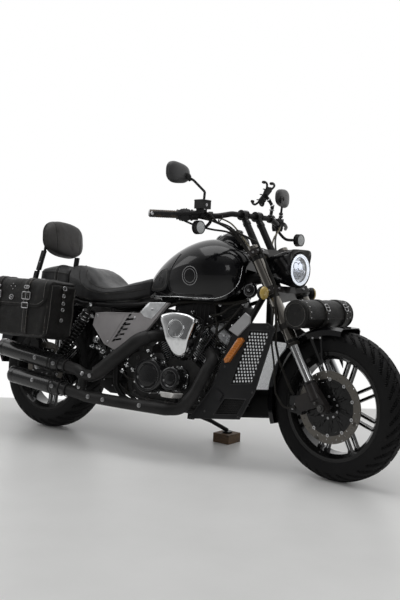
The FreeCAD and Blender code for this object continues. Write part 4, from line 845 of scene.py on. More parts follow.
def spoke_ribs(name, body, home, phase, half):
    """The raised root of each spoke, where it spreads into the rim's inner wall."""
    made = Piece(name, body, home, WHEEL_BLACK)
    for number in range(8):
        turn = Matrix.Rotation(math.radians(45 * number + phase), 4, "Z")
        for bar in (-17, 17):
            root = [[(170, bar - 5.4, -10), (170, bar + 5.4, -10), (170, bar + 5.4, 10),
                     (170, bar - 5.4, 10)],
                    [(188, bar - 7, -12), (188, bar + 7, -12), (188, bar + 7, 12),
                     (188, bar - 7, 12)],
                    [(198, bar - 10, -17), (198, bar + 10, -17), (198, bar + 10, 17),
                     (198, bar - 10, 17)]]
            made.add(loft(root), turn)
        web = [(40, -22), (64, -13), (64, 13), (40, 22)]
        made.add(prism(web, -8, 8), turn)
    for face in (-1, 1):
        made.add(ring([(227.6, face * (half - 0.4)), (227.6, face * (half + 0.7)),
                       (221, face * (half + 0.5)), (219, face * (half - 2))], 128))
    made.add(lathe([(34, -24), (43.4, -21), (43.4, 21), (34, 24)], 48))
    return made.done(32, bevel=0.8, slot="wheel_black")


spoke_edges("front_spoke_edges", "front_wheel", FRONT_HUB, -26.7)
spoke_edges("rear_spoke_edges", "rear_wheel", REAR_HUB, 0)
spoke_ribs("front_spoke_roots", "front_wheel", FRONT_HUB, -26.7, 52)
spoke_ribs("rear_spoke_roots", "rear_wheel", REAR_HUB, 0, 67)


def pierced_cell(corners, centre, radius, low, high, sides=8):
    """A four-cornered cell of a plate with a round hole through it."""
    edge = []
    for k in range(4):
        a, b = corners[k], corners[(k + 1) % 4]
        edge += [a, ((a[0] + b[0]) / 2, (a[1] + b[1]) / 2)]
    begin = math.atan2(edge[0][1] - centre[1], edge[0][0] - centre[0])
    spin = 1 if (corners[1][0] - corners[0][0]) * (corners[2][1] - corners[1][1]) - (
        corners[1][1] - corners[0][1]) * (corners[2][0] - corners[1][0]) > 0 else -1
    hole = [(centre[0] + radius * math.cos(begin + spin * 2 * math.pi * k / sides),
             centre[1] + radius * math.sin(begin + spin * 2 * math.pi * k / sides))
            for k in range(sides)]
    points = [(x, y, low) for x, y in edge + hole] + [(x, y, high) for x, y in edge + hole]
    faces = []
    for k in range(sides):
        n = (k + 1) % sides
        faces.append((k, n, sides + n, sides + k))
        faces.append((3 * sides + k, 3 * sides + n, 2 * sides + n, 2 * sides + k))
        faces.append((sides + k, sides + n, 3 * sides + n, 3 * sides + k))
    return points, faces


def brake_disc(name, body, home, radius, place, windows, stands_for, band_finish):
    """A pierced swept band on a black carrier with bobbins."""
    low, high = place - 2.5, place + 2.5
    inner = radius - 33
    band = Piece(name + "_band", body, home, band_finish)
    rows, count = 3, 54
    for row in range(rows):
        r0 = inner + 33 * row / rows
        r1 = inner + 33 * (row + 1) / rows
        for cell in range(count):
            a0 = 2 * math.pi * (cell + row / 3) / count
            a1 = 2 * math.pi * (cell + 1 + row / 3) / count
            corners = [(r * math.cos(a), r * math.sin(a)) for r, a in (
                (r0, a0), (r1, a0), (r1, a1), (r0, a1))]
            middle, swing = (r0 + r1) / 2, (a0 + a1) / 2
            if cell % 3 == row % 3:
                centre = (middle * math.cos(swing), middle * math.sin(swing))
                band.add(pierced_cell(corners, centre, 3.0, low, high))
            else:
                band.add(prism(corners, low, high))
    band.add(ring([(radius, low), (radius, high), (radius - 0.4, high + 0.1),
                   (radius - 0.4, low - 0.1)], 108))
    band.done(30, stands_for=stands_for, slot="disc_steel")
    carrier = Piece(name + "_carrier", body, home, WHEEL_BLACK)
    carrier.add(ring([(26, place - 4), (26, place + 4), (52, place + 4), (52, place - 4)], 60))
    carrier.add(ring([(inner - 12, place - 2.4), (inner - 12, place + 2.4),
                      (inner + 0.4, place + 2.4), (inner + 0.4, place - 2.4)], 90))
    ring_at = (52 + inner - 12) / 2
    for number in range(windows):
        for share, pierced in ((0.0, True), (0.5, False)):
            a0 = 2 * math.pi * (number + share - 0.25) / windows
            a1 = a0 + math.pi / windows
            corners = [(r * math.cos(a), r * math.sin(a)) for r, a in (
                (51.6, a0), (inner - 11.6, a0), (inner - 11.6, a1), (51.6, a1))]
            if pierced:
                middle = (a0 + a1) / 2
                centre = (ring_at * math.cos(middle), ring_at * math.sin(middle))
                carrier.add(pierced_cell(corners, centre, 9.4, place - 2.4, place + 2.4, 16))
            else:
                carrier.add(prism(corners, place - 2.4, place + 2.4))
    pins = Piece(name + "_bobbins", body, home, STEEL)
    for number in range(windows):
        turn = spun(number + 0.5, windows)
        arm = [(50, -5), (inner - 12, -3), (inner, -6), (inner, 6), (inner - 12, 3), (50, 5)]
        carrier.add(prism(arm, place - 3.4, place + 3.4), turn)
        out = -1 if place < 0 else 1
        where = aimed((inner - 1, 0, place + out * 3.0), (0, 0, out))
        pins.add(lathe([(3, 0), (3, 1.6), (7.2, 1.6), (7.6, 0)], 20), turn @ where)
        cap = aimed((44, 0, place + out * 4), (0, 0, out))
        pins.add(bolt(4.6, 4), turn @ cap)
    carrier.done(30, bevel=0.6, slot="wheel_black")
    pins.done(30, slot="axle_steel")


brake_disc("front_disc", "front_wheel", FRONT_HUB, 150, -68, 10, ["front_disc"], DISC)
brake_disc("rear_disc", "rear_wheel", REAR_HUB, 125, -82, 8, ["rear_disc"], DISC)

# ---------------------------------------------------------------- rear drive
teeth = on_bike("belt_teeth", BELT)
big, small, belt_y = 98.3, 36.3, 90
span = Vector((640, 0, 20))
open_angle = math.acos((big - small) / span.length)
tilt = math.atan2(span.z, span.x)
for hub, size, first, last in ((Vector((0, 0, 310)), big, open_angle, 2 * math.pi - open_angle),
                               (Vector((640, 0, 330)), small, -open_angle, open_angle)):
    count = int((last - first) * size / 8)
    for number in range(count + 1):
        angle = tilt + first + (last - first) * number / count
        outward = Vector((math.cos(angle), 0, math.sin(angle)))
        if number % 2 == 0:
            teeth.add(block(3.4, 19.4, 1.2), aimed(hub + outward * (size + 4.9) + Vector((
                0, belt_y, 0)), outward))
teeth.done(slot="belt_rubber")
rim_teeth = Piece("sprocket_rim", "rear_wheel", REAR_HUB, DARK_STEEL)
for number in range(66):
    turn = spun(number, 66)
    for edge in (79.2, 100.8):
        rim_teeth.add(prism([(92, -2.2), (97.6, -1.4), (97.6, 1.4), (92, 2.2)], edge - 0.5,
                            edge + 0.5), turn)
rim_teeth.add(ring([(40, 100), (40, 101.2), (90, 101.2), (90, 100)], 90))
for number in range(5):
    turn = spun(number, 5)
    rim_teeth.add(bolt(7, 5, "hex"), turn @ aimed((60, 0, 101), (0, 0, 1)))
rim_teeth.done(30, slot="axle_steel")


# ---------------------------------------------------------------- headlight
LAMP_FACE, LAMP_HEIGHT, HOOD_STEPS = 1362, 873, 80
LAMP = Matrix(((0, 0, 1, LAMP_FACE), (1, 0, 0, 0), (0, 1, 0, LAMP_HEIGHT), (0, 0, 0, 1)))


def hood_section(x, shrink, peak=0.0):
    """One upright section of the headlight shell: wide above, narrow below, corners rounded."""
    share = (x - 1240) / 132
    low_half, high_half = 48 + 2 * share, 62 + 24 * share
    bottom, top = 822 - 32 * share, 930 + 32 * share
    middle = (top + bottom) / 2
    tall = top - bottom
    leaning = Vector((tall, low_half - high_half)).normalized()
    reach = leaning.dot(Vector((low_half, bottom - middle)))
    found = []
    for k in range(HOOD_STEPS):
        c, s = polar(2 * math.pi * k / HOOD_STEPS)
        above = abs(s) / (tall / 2)
        aside = max(0.0, (abs(c) * leaning.x + s * leaning.y) / reach)
        r = (above ** 5 + aside ** 5) ** -0.2 * shrink
        lift = max(0.0, s) ** 2 * peak
        found.append((x + lift, r * c, middle + r * s))
    return found


def round_section(x, radius):
    """The lamp's round opening, with as many corners as a hood section."""
    angles = [2 * math.pi * k / HOOD_STEPS for k in range(HOOD_STEPS)]
    return [(x, radius * math.cos(a), LAMP_HEIGHT + radius * math.sin(a)) for a in angles]


hood = on_bars("headlight_hood", GLOSS)
hood.add(loft([hood_section(1239, 0.5), hood_section(1239.5, 0.86), hood_section(1242, 0.95),
               hood_section(1250, 1.0), hood_section(1300, 1.0), hood_section(1356, 1.0, 6),
               hood_section(1366, 1.0, 9), hood_section(1371, 0.985, 10),
               hood_section(1373, 0.95, 9), round_section(1374, 76), round_section(1371, 73),
               round_section(1350, 72), round_section(1348, 20)]))
for side in (-1, 1):
    hood.add(lathe([(8, 0), (8, 27), (12, 27), (12, 35)], 24),
             INTO_BARS @ aimed((60, side * 45, 640), (0, side, 0)))
    hood.add(bolt(7, 5, "hex"), INTO_BARS @ aimed((60, side * 38, 640), (0, -side, 0)))
hood.done(34, stands_for=["headlight_shell"], slot="lamp_shell_black")

bezel = Piece("headlight_bezel", "steering", BARS @ LAMP, GLOSS)
bezel.add(ring([(68, -3), (73, -3), (73, 12), (72, 14.5), (70, 15), (68, 13)], 96))
for angle in (60, 120, 240, 300):
    c, s = polar(math.radians(angle))
    bezel.add(bolt(2.2, 1.6), shift(71 * c, 71 * s, 14.5))
bezel.done(30, slot="lamp_shell_black")
halo = Piece("running_light_ring", "steering", BARS @ LAMP, RING_LIGHT)
halo.add(ring([(55, 4), (55.4, 11), (57, 14.5), (61, 15.8), (65, 14.5), (68.6, 10), (68.6, 4)],
              96))
halo.done(60, slot="lamp_glass")
INNER_LAMP = LAMP @ Matrix.Diagonal((1.14, 1.18, 0.8, 1.0))
bowl = Piece("headlight_bowl", "steering", BARS @ INNER_LAMP, REFLECTOR)
bowl.add(lathe([(48, 6), (45, 0), (38, -8), (22, -13), (0, -13.6)], 48))
for row in range(4):
    for column in range(7):
        x = -31 + column * 10.4 + (row % 2) * 2
        y = -8 - row * 7.6
        if math.hypot(x, y) < 38:
            tip = (x + 1.5, y - 1, 1 - row)
            corners = [(x - 5, y - 3.6, -9), (x + 5, y - 3.6, -9), (x + 5, y + 3.6, -9),
                       (x - 5, y + 3.6, -9)]
            bowl.add((corners + [tip], [(0, 1, 4), (1, 2, 4), (2, 3, 4), (3, 0, 4)]))
bowl.add(prism([(-40, -3.5), (40, -3.5), (40, -1), (-40, -1)], -8, 4))
bowl.done(20, slot="lamp_glass")
cells = Piece("projector_lenses", "steering", BARS @ INNER_LAMP, BEAM)
for x, wide in ((-13.5, 12.5), (13.5, 12.5)):
    cells.add(lathe([(wide, -8), (wide, -1), (wide * 0.9, 2.5), (wide * 0.55, 5.4), (0, 6.4)], 32),
              shift(x, 13, 0))
cells.add(prism([(-34, 1), (34, 1), (31, 19), (14, 33), (-14, 33), (-31, 19)], -9, -4))
cells.done(30, slot="lamp_glass")
shade = Piece("projector_shade", "steering", BARS @ INNER_LAMP, PLASTIC)
shade.add(lathe([(48.4, 5), (48.4, 8), (45.6, 8), (44, -6)], 64))
for x in (-13.5, 13.5):
    shade.add(ring([(12.8, -6), (12.8, -0.5), (14.6, -0.5), (14.6, -6)], 32), shift(x, 13, 0))
shade.done(30, slot="control_black")
glass = Piece("headlight_lens", "steering", BARS @ LAMP, LENS)
glass.add(ring([(69, 13), (58, 18), (38, 21.4), (12, 23.2), (0.1, 23.4), (0.1, 22.2), (12, 22),
                (38, 20.2), (58, 16.8), (68.4, 12)], 64))
glass.done(60, stands_for=["headlight_lamp"], slot="lamp_glass")

# ---------------------------------------------------------------- fork
LEG_AHEAD, LEG_HALF = 48, 105
seals = Piece("fork_seals", "steering", FORK, HOSE)
crowns = Piece("fork_crown_bolts", "steering", FORK, STEEL)
rims = Piece("fork_tube_collars", "steering", FORK, WHEEL_BLACK)
for side in (-1, 1):
    leg = shift(LEG_AHEAD, side * LEG_HALF, 0)
    seals.add(lathe([(20.8, 288), (25.4, 289), (27.6, 293), (27.6, 299), (26, 301)], 40), leg)
    rims.add(lathe([(26, 302), (28.2, 303), (28.2, 316), (26.1, 318)], 48), leg)
    rims.add(lathe([(26, 514), (27.6, 515), (27.6, 526), (26, 528)], 48), leg)
    rims.add(lathe([(20.6, 126), (25, 124), (27.5, 118), (27.4, 112)], 40), leg)
    rims.add(lathe([(26.1, 700), (27.8, 701), (27.8, 720), (26.1, 722)], 48), leg)
    crowns.add(lathe([(22, 750), (22, 770), (20, 773), (13, 773), (13, 771)], 48), leg)
    crowns.add(bolt(9.6, 7, "hex"), leg @ shift(0, 0, 771))
crowns.add(lathe([(24, 751), (24, 755), (19, 755), (19, 766), (17, 769), (0, 769)], 6))
crowns.add(lathe([(26, 750.6), (26, 753), (10, 753)], 40))
seals.done(40, slot="hose_black")
rims.done(30, slot="fork_black")
clamp_skin = Skin(FORK, frame["nodes"]["fork_clamps"])
for height in (547, 737):
    for side in (-1, 1):
        crowns.stud(bolt(5.2, 4.5), clamp_skin, [
            (200, side * (LEG_HALF + gap), height) for gap in (-17, 17)], (-1, 0, 0))
        crowns.stud(bolt(4.2, 3.6), clamp_skin, [
            (LEG_AHEAD + gap, side * 190, height) for gap in (-14, 14)], (0, -side, 0))
crowns.done(30, slot="axle_steel")

fittings = Piece("fork_foot_bolts", "steering", FORK, DARK_STEEL)
for side in (-1, 1):
    fittings.add(bolt(10, 7, "hex"), aimed((64, side * 134, 0), (0, side, 0)))
    fittings.add(lathe([(15, -1), (15, 3), (10, 3)], 32), aimed((64, side * 131, 0), (0, side, 0)))
    fittings.add(bolt(5, 5), aimed((48, side * 131, 30), (0, side, 0)))
fittings.done(30, slot="axle_steel")

# ---------------------------------------------------------------- front brake and fender
caliper_skin = Skin(BARS, frame["nodes"]["front_caliper"])
fender_skin = Skin(BARS, frame["nodes"]["front_fender"])
caliper_box = [BARS.inverted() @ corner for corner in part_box("front_caliper")]
caliper_mid = (caliper_box[0] + caliper_box[1]) / 2
brake_bolts = on_bars("front_caliper_bolts", STEEL)
pistons = on_bars("front_caliper_caps", CALIPER)
for along in (-24, 0, 24):
    spots, faces = caliper_skin.lay([(caliper_mid.x + along * 0.5, -300,
                                      caliper_mid.z + along * 0.86)], (0, 1, 0))
    for spot, face in zip(spots, faces):
        if along:
            pistons.add(lathe([(14, -1), (14, 2.5), (11, 4), (9.5, 3), (0, 3)], 36),
                        aimed(spot, face))
        brake_bolts.add(bolt(4.6, 5, "hex"), aimed(spot + face * (3 if along else 0), face))
pistons.done(30, slot="caliper_black")
for side in (-1, 1):
    brake_bolts.stud(bolt(5.4, 4, "dome"), fender_skin, [
        (x, side * 150, z) for x, z in ((1560, 480), (1546, 594), (1508, 590))], (0, -side, 0))
brake_bolts.done(30, slot="axle_steel")


# ---------------------------------------------------------------- handlebar and its fittings
bar_x, bar_z = BAR.x, BAR.z
TIP = (bar_x - 190, 450, bar_z - 20)
KNEE = (bar_x - 94, 325, bar_z - 19)


def outward_bar(side):
    """The frame at a bar's tip, Z outward along the bar."""
    tip = Vector((TIP[0], side * TIP[1], TIP[2]))
    knee = Vector((KNEE[0], side * KNEE[1], KNEE[2]))
    return aimed(tip, tip - knee)


def grip_rows(long, sleeve, ribs):
    rows = [(12.6, -long), (21, -long), (22.4, -long + 2), (22.4, -long + 5), (sleeve, -long + 8)]
    step = (long - 20) / ribs
    for k in range(ribs):
        low = -long + 12 + k * step
        rows += [(sleeve - 1.6, low), (sleeve, low + 1), (sleeve + 0.4, low + step * 0.5),
                 (sleeve, low + step - 1.4), (sleeve - 1.6, low + step - 0.6)]
    return rows


right_grip = on_bars("right_grip", GRIP)
right_grip.add(lathe(grip_rows(121, 16.8, 12) + [(16.6, -8), (16.8, 2), (14, 4), (0, 4.4)], 40),
               outward_bar(-1))
right_grip.done(30, stands_for=["grips"], slot="grip_rubber")
left_grip = on_bars("left_grip", ORANGE_GRIP)
taper = [(12.6, -121), (20, -121), (21, -117), (17.6, -112)]
for k in range(14):
    low, r = -108 + k * 7.2, 17.4 - 0.3 * k
    taper += [(r - 1, low), (r, low + 1.4), (r, low + 5), (r - 1, low + 6.6)]
left_grip.add(lathe(taper + [(12.6, -5), (13.4, 0), (11, 4), (0, 4.4)], 36), outward_bar(1))
left_grip.done(40, slot="grip_rubber")
ends = on_bars("bar_end_caps", STEEL)
ends.add(lathe([(11, 3.6), (11.5, 6), (9, 8.5), (3, 9), (3, 7.5)], 24), outward_bar(1))
ends.add(lathe([(13, 3.8), (13, 6), (10, 8), (3, 8.4), (3, 7)], 24), outward_bar(-1))
ends.done(30, slot="axle_steel")

caps = on_bars("riser_cap_details", WHEEL_BLACK)
studs = on_bars("riser_bolts", STEEL)
risers = Piece("riser_collars", "steering", FORK, WHEEL_BLACK)
for side in (-1, 1):
    along_bar = aimed((bar_x, side * 50, bar_z), (0, 1, 0))
    for edge in (-17, 17):
        caps.add(band(13, 24, edge, 1.5), along_bar)
    for gap in (-9, 9):
        for lean in (-34, 34):
            way = Vector((math.sin(math.radians(lean)), 0, math.cos(math.radians(lean))))
            foot = Vector((bar_x, side * 50 + gap, bar_z)) + way * 21.4
            studs.add(bolt(4.4, 4), aimed(foot, way))
    riser = shift(31, side * 50, 0)
    risers.add(lathe([(16, 752), (22, 752), (22, 760), (16.2, 766)], 48), riser)
    risers.add(lathe([(16, 900), (18.4, 902), (18.4, 914), (16, 918)], 48), riser)
caps.done(30, slot="bar_black")
studs.done(30, slot="axle_steel")
risers.done(30, slot="bar_black")

# ---------------------------------------------------------------- hand controls
switches = on_bars("switch_boxes", PLASTIC)
buttons = on_bars("switch_buttons", MIRROR_SHELL)
lever_pins = on_bars("lever_pivots", STEEL)
for side in (-1, 1):
    spot = outward_bar(side)
    pod = [[(x * k, y * k, z) for x, y in ((-23, -25), (23, -25), (27, -10), (27, 12), (20, 24),
                                          (-20, 24), (-27, 12), (-27, -10))]
           for k, z in ((0.86, -172), (1.0, -168), (1.04, -150), (1.0, -132), (0.86, -128))]
    switches.add(loft(pod), spot)
    switches.add(ring([(21, -186), (25, -186), (25, -178), (21, -178)], 40), spot)
    for k, (turn, height) in enumerate(((20, -160), (60, -146), (100, -158), (200, -150))):
        c, s = polar(math.radians(turn))
        at = spot @ aimed((25 * c, 25 * s, height), (c, s, 0))
        buttons.add(loft([[(x * w, y * w, z) for x, y in ((-5, -3), (5, -3), (5, 3), (-5, 3))]
                          for w, z in ((1, -2), (1, 3), (0.8, 4.4))]), at)
    for x, y, z in ((-49, 276, 13.5), (-46, 268, -2)):
        lever_pins.add(bolt(5.6, 4), shift(bar_x + x, side * y, bar_z + z))
    reach = [(bar_x - 46, side * 268, bar_z - 10), (bar_x - 38, side * 300, bar_z - 12),
             (bar_x - 98, side * 400, bar_z - 20), (bar_x - 154, side * 470, bar_z - 22)]
    blade = flowing(reach, 8)
    switches.add(ribbon(blade, (0, 0, 1), 17, 7.6))
    end = Vector(reach[-1])
    lever_pins.add(lathe([(0, -9), (6, -7), (9, 0), (6, 7), (0, 9)], 24), shift(*end))
    for low in (-0.5, 1):
        lever_pins.add(lathe([(9, 0), (9, 3), (6, 3)], 24),
                       shift(bar_x - 34, side * 276, bar_z + 12 + 12 * low))
switches.done(30, bevel=1.2, slot="control_black")
buttons.done(30, slot="mirror_black")
lever_pins.done(30, slot="axle_steel")
tank_cap = on_bars("brake_reservoir_cap", CALIPER)
tank_cap.add(loft([[(x * k, y * k, z) for x, y in ((-24, -28), (24, -28), (24, 28), (-24, 28))]
                   for k, z in ((0.98, 43), (1.04, 44), (1.04, 48), (0.9, 50), (0.86, 49))]),
             shift(bar_x - 43, -277, bar_z))
tank_cap.done(30, bevel=1, slot="control_black")
cap_screws = on_bars("reservoir_screws", STEEL)
for y in (-296, -258):
    cap_screws.add(bolt(3.4, 1.6, "dome"), shift(bar_x - 43, y, bar_z + 49.5))
cap_screws.add(lathe([(7, 0), (7, 1.2), (5.4, 1.6), (0, 1.6)], 24),
               aimed((bar_x - 20, -277, bar_z + 27), (1, 0, 0)))
cap_screws.done(30, slot="axle_steel")

# ---------------------------------------------------------------- cables
# the upper throttle cable and the clutch cable carry painted highlights in their pale colour
bundle = (
    ("throttle_cable_upper", HOSE_PAINTED_HIGHLIGHT, 3.6, [(-92, -318, -6), (-44, -262, -10), (-8, -205, -24),
                                             (6, -140, -44), (30, -104, -86), (86, -84, -156),
                                             (140, -46, -190)]),
    ("throttle_cable_lower", HOSE, 3.6, [(-96, -322, -22), (-50, -262, -32), (-8, -208, -44),
                                         (8, -142, -62), (34, -106, -104), (80, -84, -170),
                                         (128, -46, -206)]),
    ("brake_line", HOSE, 5, [(-40, -280, -24), (-12, -232, -42), (4, -170, -62),
                             (26, -118, -100), (64, -92, -160), (118, -58, -214)]),
    ("switch_lead_right", HOSE, 4.4, [(-112, -346, -36), (-70, -290, -62), (-28, -228, -76),
                                      (8, -150, -86), (36, -96, -130), (92, -52, -196)]),
    ("clutch_cable", HOSE_PAINTED_HIGHLIGHT, 3.8, [(-44, 280, -14), (-6, 226, -46), (22, 152, -92),
                                     (56, 96, -150), (96, 62, -212)]),
    ("switch_lead_left", HOSE, 4.4, [(-112, 346, -36), (-64, 280, -66), (0, 196, -74),
                                     (58, 118, -112), (112, 60, -176)]))
for name, finish, radius, run in bundle:
    path = flowing([(bar_x + x, y, bar_z + z) for x, y, z in run], 10)
    lead = on_bars(name, finish)
    lead.add(pipe(path, radius, 12))
    for share in (0.02, 0.96):
        at = int(share * (len(path) - 1))
        lead.add(lathe([(radius, 0), (radius + 1.8, 0.6), (radius + 1.8, 12), (radius, 14)], 16),
                 aimed(path[at], path[at + 1] - path[at]))
    lead.done(40, slot="hose_black")
ties = on_bars("cable_ties", PLASTIC)
for x, y, z in ((-4, -200, -26), (20, -118, -84)):
    ties.add(ring([(15, -2.4), (16.6, -2.4), (16.6, 2.4), (15, 2.4)], 24),
             aimed((bar_x + x, y, bar_z + z), (0.4, 0.8, -0.45)))
ties.done(40, slot="control_black")

# ---------------------------------------------------------------- mirrors
shells = on_bars("mirror_shells", MIRROR_SHELL)
glasses = on_bars("mirror_glasses", MIRROR_GLASS)
knobs = on_bars("mirror_ball_joints", PLASTIC)
mirror_spots = {"right": ((-98, -388, 157), 9, (-88, -338, 148)),
                "left": ((-110, 366, 124), 16, (-79.8, 324.9, 115))}
for name, side in SIDES:
    (back, aside, up), turned, (knob_back, knob_aside, knob_up) = mirror_spots[name]
    held = shift(bar_x + back, aside, bar_z + up) @ Matrix.Rotation(
        math.radians(turned), 4, "Z")

    def oval(x, grow):
        found = []
        for k in range(72):
            c, s = polar(2 * math.pi * k / 72)
            r = rounded(c, s, 83 if c > 0 else 82, 45 - 4 * c, 2.7)
            found.append((x, -side * r * c * grow, r * s * grow))
        return found

    shells.add(loft([oval(1.6, 0.9), oval(0.4, 0.94), oval(-0.4, 0.97), oval(2, 1.0), oval(7, 1.0),
                     oval(12, 0.965), oval(17, 0.86), oval(21, 0.66), oval(23.4, 0.4),
                     oval(24, 0.12)]), held)
    glasses.add(loft([oval(1.2, 0.92), oval(0.2, 0.9), oval(-0.6, 0.5), oval(-0.8, 0.1)]), held)
    knob = Vector((bar_x + knob_back, knob_aside, bar_z + knob_up))
    knobs.add(lathe([(0, -14), (9, -11), (13, -2), (13, 8), (9, 14), (7, 24)], 28),
              aimed(knob + Vector((8, 0, 0)), (0.2, -side * 0.5, -0.84)))
    for height in (16, 30):
        knobs.add(lathe([(5, 0), (10.6, 0), (10.6, 9), (8, 12), (5, 12)], 6),
                  shift(bar_x - 39 + height * 0.05, side * 276, bar_z + height))
shells.done(50, stands_for=["mirrors"], slot="mirror_black")
glasses.done(50, slot="mirror_black")
knobs.done(40, slot="control_black")

# ---------------------------------------------------------------- fog lamps and indicators
cans = on_bars("fog_lamp_cans", SATIN)
faces = on_bars("fog_lamp_lenses", FOG_LENS)
arms = on_bars("fog_lamp_arms", SATIN)
for name, side, x, z in (("right", -1, bar_x - 54.9, bar_z - 72.9),
                         ("left", 1, bar_x + 31.1, bar_z - 90.9)):
    lamp = aimed((x, side * 308, z), (1, 0, 0))
    cans.add(lathe([(0, -1), (13, 0), (22, 7), (28, 15), (29.4, 24), (29.4, 35), (26.4, 36.4),
                    (26.4, 30)], 48), lamp)
    for height in (11, 15, 19):
        cans.add(band(26, 30, height, 1), lamp)
    faces.add(lathe([(26.6, 31), (26, 34), (18, 36.4), (0, 37.4)], 40), lamp)
    for row in range(-3, 4):
        for column in range(-3, 4):
            cx, cy = column * 6.6 + (row % 2) * 3.3, row * 5.8
            if math.hypot(cx, cy) < 22:
                faces.add(lathe([(3.1, 0), (2.2, 1.1), (0, 1.8)], 6),
                          lamp @ shift(cx, cy, 36.6 - (cx * cx + cy * cy) / 260))
    arms.add(pipe(flowing([
        (bar_x - 30, side * 238, bar_z - 18), (bar_x - 28, side * 240, bar_z - 44),
        (x * 0.5 + bar_x * 0.5 - 10, side * 262, z + 4), (x + 10, side * 290, z)], 6), 7, 14))
    clamp = aimed((bar_x - 29.5, side * 238.4, bar_z - 18), (-0.6, side * 0.8, 0))
    arms.add(ring([(12.8, -9), (19.4, -9), (19.4, 9), (12.8, 9)], 40), clamp)
    arms.add(bolt(4, 4), clamp @ aimed((19, 0, 0), (1, 0, 0)))
cans.done(34, stands_for=["fog_lamps"], slot="fog_lens")
faces.done(24, slot="fog_lens")
arms.done(34, slot="fog_lens")
cups = on_bars("indicator_cups", SATIN)
golds = on_bars("indicator_lenses", GOLD)
for side, facing, reach in ((-1, (1, 0, 0), 9), (1, (0.5, 0.86, 0), 16)):
    lamp = aimed((1292, side * 174, 768), facing)
    cups.add(lathe([(0, -1), (16, 0), (26, 8), (29, 15), (29, 25), (27, 25)], 44), lamp)
    cups.add(pipe([(1302, side * (141 + reach), 768), (1302, side * 141, 768)], 7, 18))
    cups.add(lathe([(7, 0), (11, 0), (11, 5), (7, 6)], 24),
             aimed((1302, side * 141, 768), (0, side, 0)))
    golds.add(lathe([(27.6, 24), (28.2, 28), (25, 33), (17, 36), (0, 37.6)], 40), lamp)
    for number in range(20):
        turn = spun(number, 20)
        golds.add(([(5, -1.4, 37.2), (24, -2.6, 33), (24, 2.6, 33), (5, 1.4, 37.2), (15, 0, 38)],
                   [(0, 1, 4), (1, 2, 4), (2, 3, 4), (3, 0, 4)]), lamp @ turn)
cups.done(34, stands_for=["front_indicators"], slot="amber_lens")
golds.done(20, slot="amber_lens")

# ---------------------------------------------------------------- phone holder
cradle = shift(bar_x - 26, 138, bar_z + 108) @ Matrix.Rotation(math.radians(36), 4, "Y")
claws = on_bars("phone_claws", PLASTIC)
claw_line = [(-13, -46), (13, -46), (24, -30), (16, 0), (24, 30), (13, 46), (-13, 46), (-24, 30),
             (-16, 0), (-24, -30)]
claws.add(loft([[(x, y * w, z * w) for y, z in claw_line]
                for x, w in ((-11, 0.9), (-8, 1.0), (-1, 1.0), (1, 0.9))]), cradle)
for y in (-1, 1):
    for z in (-1, 1):
        hook = [(-5, y * 14, z * 30), (-5, y * 24, z * 48), (-9, y * 28, z * 57),
                (-19, y * 29, z * 60), (-29, y * 29, z * 57), (-34, y * 29, z * 50)]
        claws.add(pipe(flowing(hook, 6), 5.2, 12, flat=1.15), cradle)
for z in (-30, 0, 30):
    claws.add(pipe([(-8, -20, z), (-8, -37, z)], [3.4, 2.2], 10), cradle)
claws.add(ring([(6, -16), (10, -16), (10, -2), (6, -2)], 24), cradle @ aimed((6, 0, 0), (1, 0, 0)))
claws.done(34, bevel=0.6, stands_for=["phone_holder"], slot="holder_black")
pads = on_bars("phone_claw_pads", HOSE)
for y in (-1, 1):
    for z in (-1, 1):
        pads.add(lathe([(0, -8), (6.4, -7), (7, 0), (6.4, 7), (0, 8)], 20),
                 cradle @ aimed((-30, y * 29, z * 54), (0, 1, 0)))
pads.done(40, slot="holder_black")
stalk = on_bars("phone_stalk", SATIN)
stalk.add(ring([(12.7, -11), (19.6, -11), (19.6, 11), (12.7, 11)], 40),
          aimed((bar_x, 150, bar_z), (0, 1, 0)))
post = [(bar_x, 150, bar_z + 17), (bar_x + 4, 150, bar_z + 42), (bar_x + 6, 150, bar_z + 60),
        (bar_x - 10, 144, bar_z + 88), (bar_x - 22, 140, bar_z + 104)]
stalk.add(pipe(flowing(post, 6), 8, 16))
stalk.done(34, slot="holder_black")
knuckles = on_bars("phone_stalk_rings", STEEL)
for at, radius in ((0, 11.5), (1, 12.5), (2, 12), (3, 11)):
    way = Vector(post[at + 1]) - Vector(post[at])
    knuckles.add(lathe([(7, -3), (radius - 1, -3), (radius, 0), (radius - 1, 3), (7, 3)], 28),
                 aimed(post[at], way))
knuckles.add(bolt(4.4, 8), aimed((bar_x + 19, 150, bar_z), (1, 0, 0)))
knuckles.done(34, slot="holder_black")


# ---------------------------------------------------------------- soft goods
def rumple(points, depth, pitch, seed=0.0):
    """Points moved a little by slow and quick creases, as in stuffed hide."""
    found = []
    for p in points:
        p = Vector(p)
        slow = noise.noise_vector(p / pitch + Vector((seed, seed * 2, 0)))
        quick = noise.noise_vector(p / (pitch * 0.27) + Vector((0, seed, seed)))
        found.append(p + (slow * depth + quick * depth * 0.35))
    return found


def soft_box(half, radius, cuts=26):
    """A box of rounded edges in a fine grid, about its own middle."""
    marks = [math.sin(math.pi / 2 * (2 * k / cuts - 1)) for k in range(cuts + 1)]
    core = Vector([h - radius for h in half])
    points, faces = [], []
    for axis in range(3):
        for side in (-1, 1):
            base = len(points)
            for a in marks:
                for b in marks:
                    p = [0, 0, 0]
                    p[axis] = side * half[axis]
                    p[(axis + 1) % 3] = a * half[(axis + 1) % 3]
                    p[(axis + 2) % 3] = b * half[(axis + 2) % 3]
                    near = Vector([max(-c, min(c, q)) for q, c in zip(p, core)])
                    points.append(near + (Vector(p) - near).normalized() * radius)
            for i in range(cuts):
                for j in range(cuts):
                    at = base + i * (cuts + 1) + j
                    faces.append((at, at + 1, at + cuts + 2, at + cuts + 1))
    return points, faces


def sections_skin(sections, profile, steps):
    """Rings along a body from a table of sections, each drawn by its profile."""
    return [profile(*row) for row in flowing(sections, steps)]


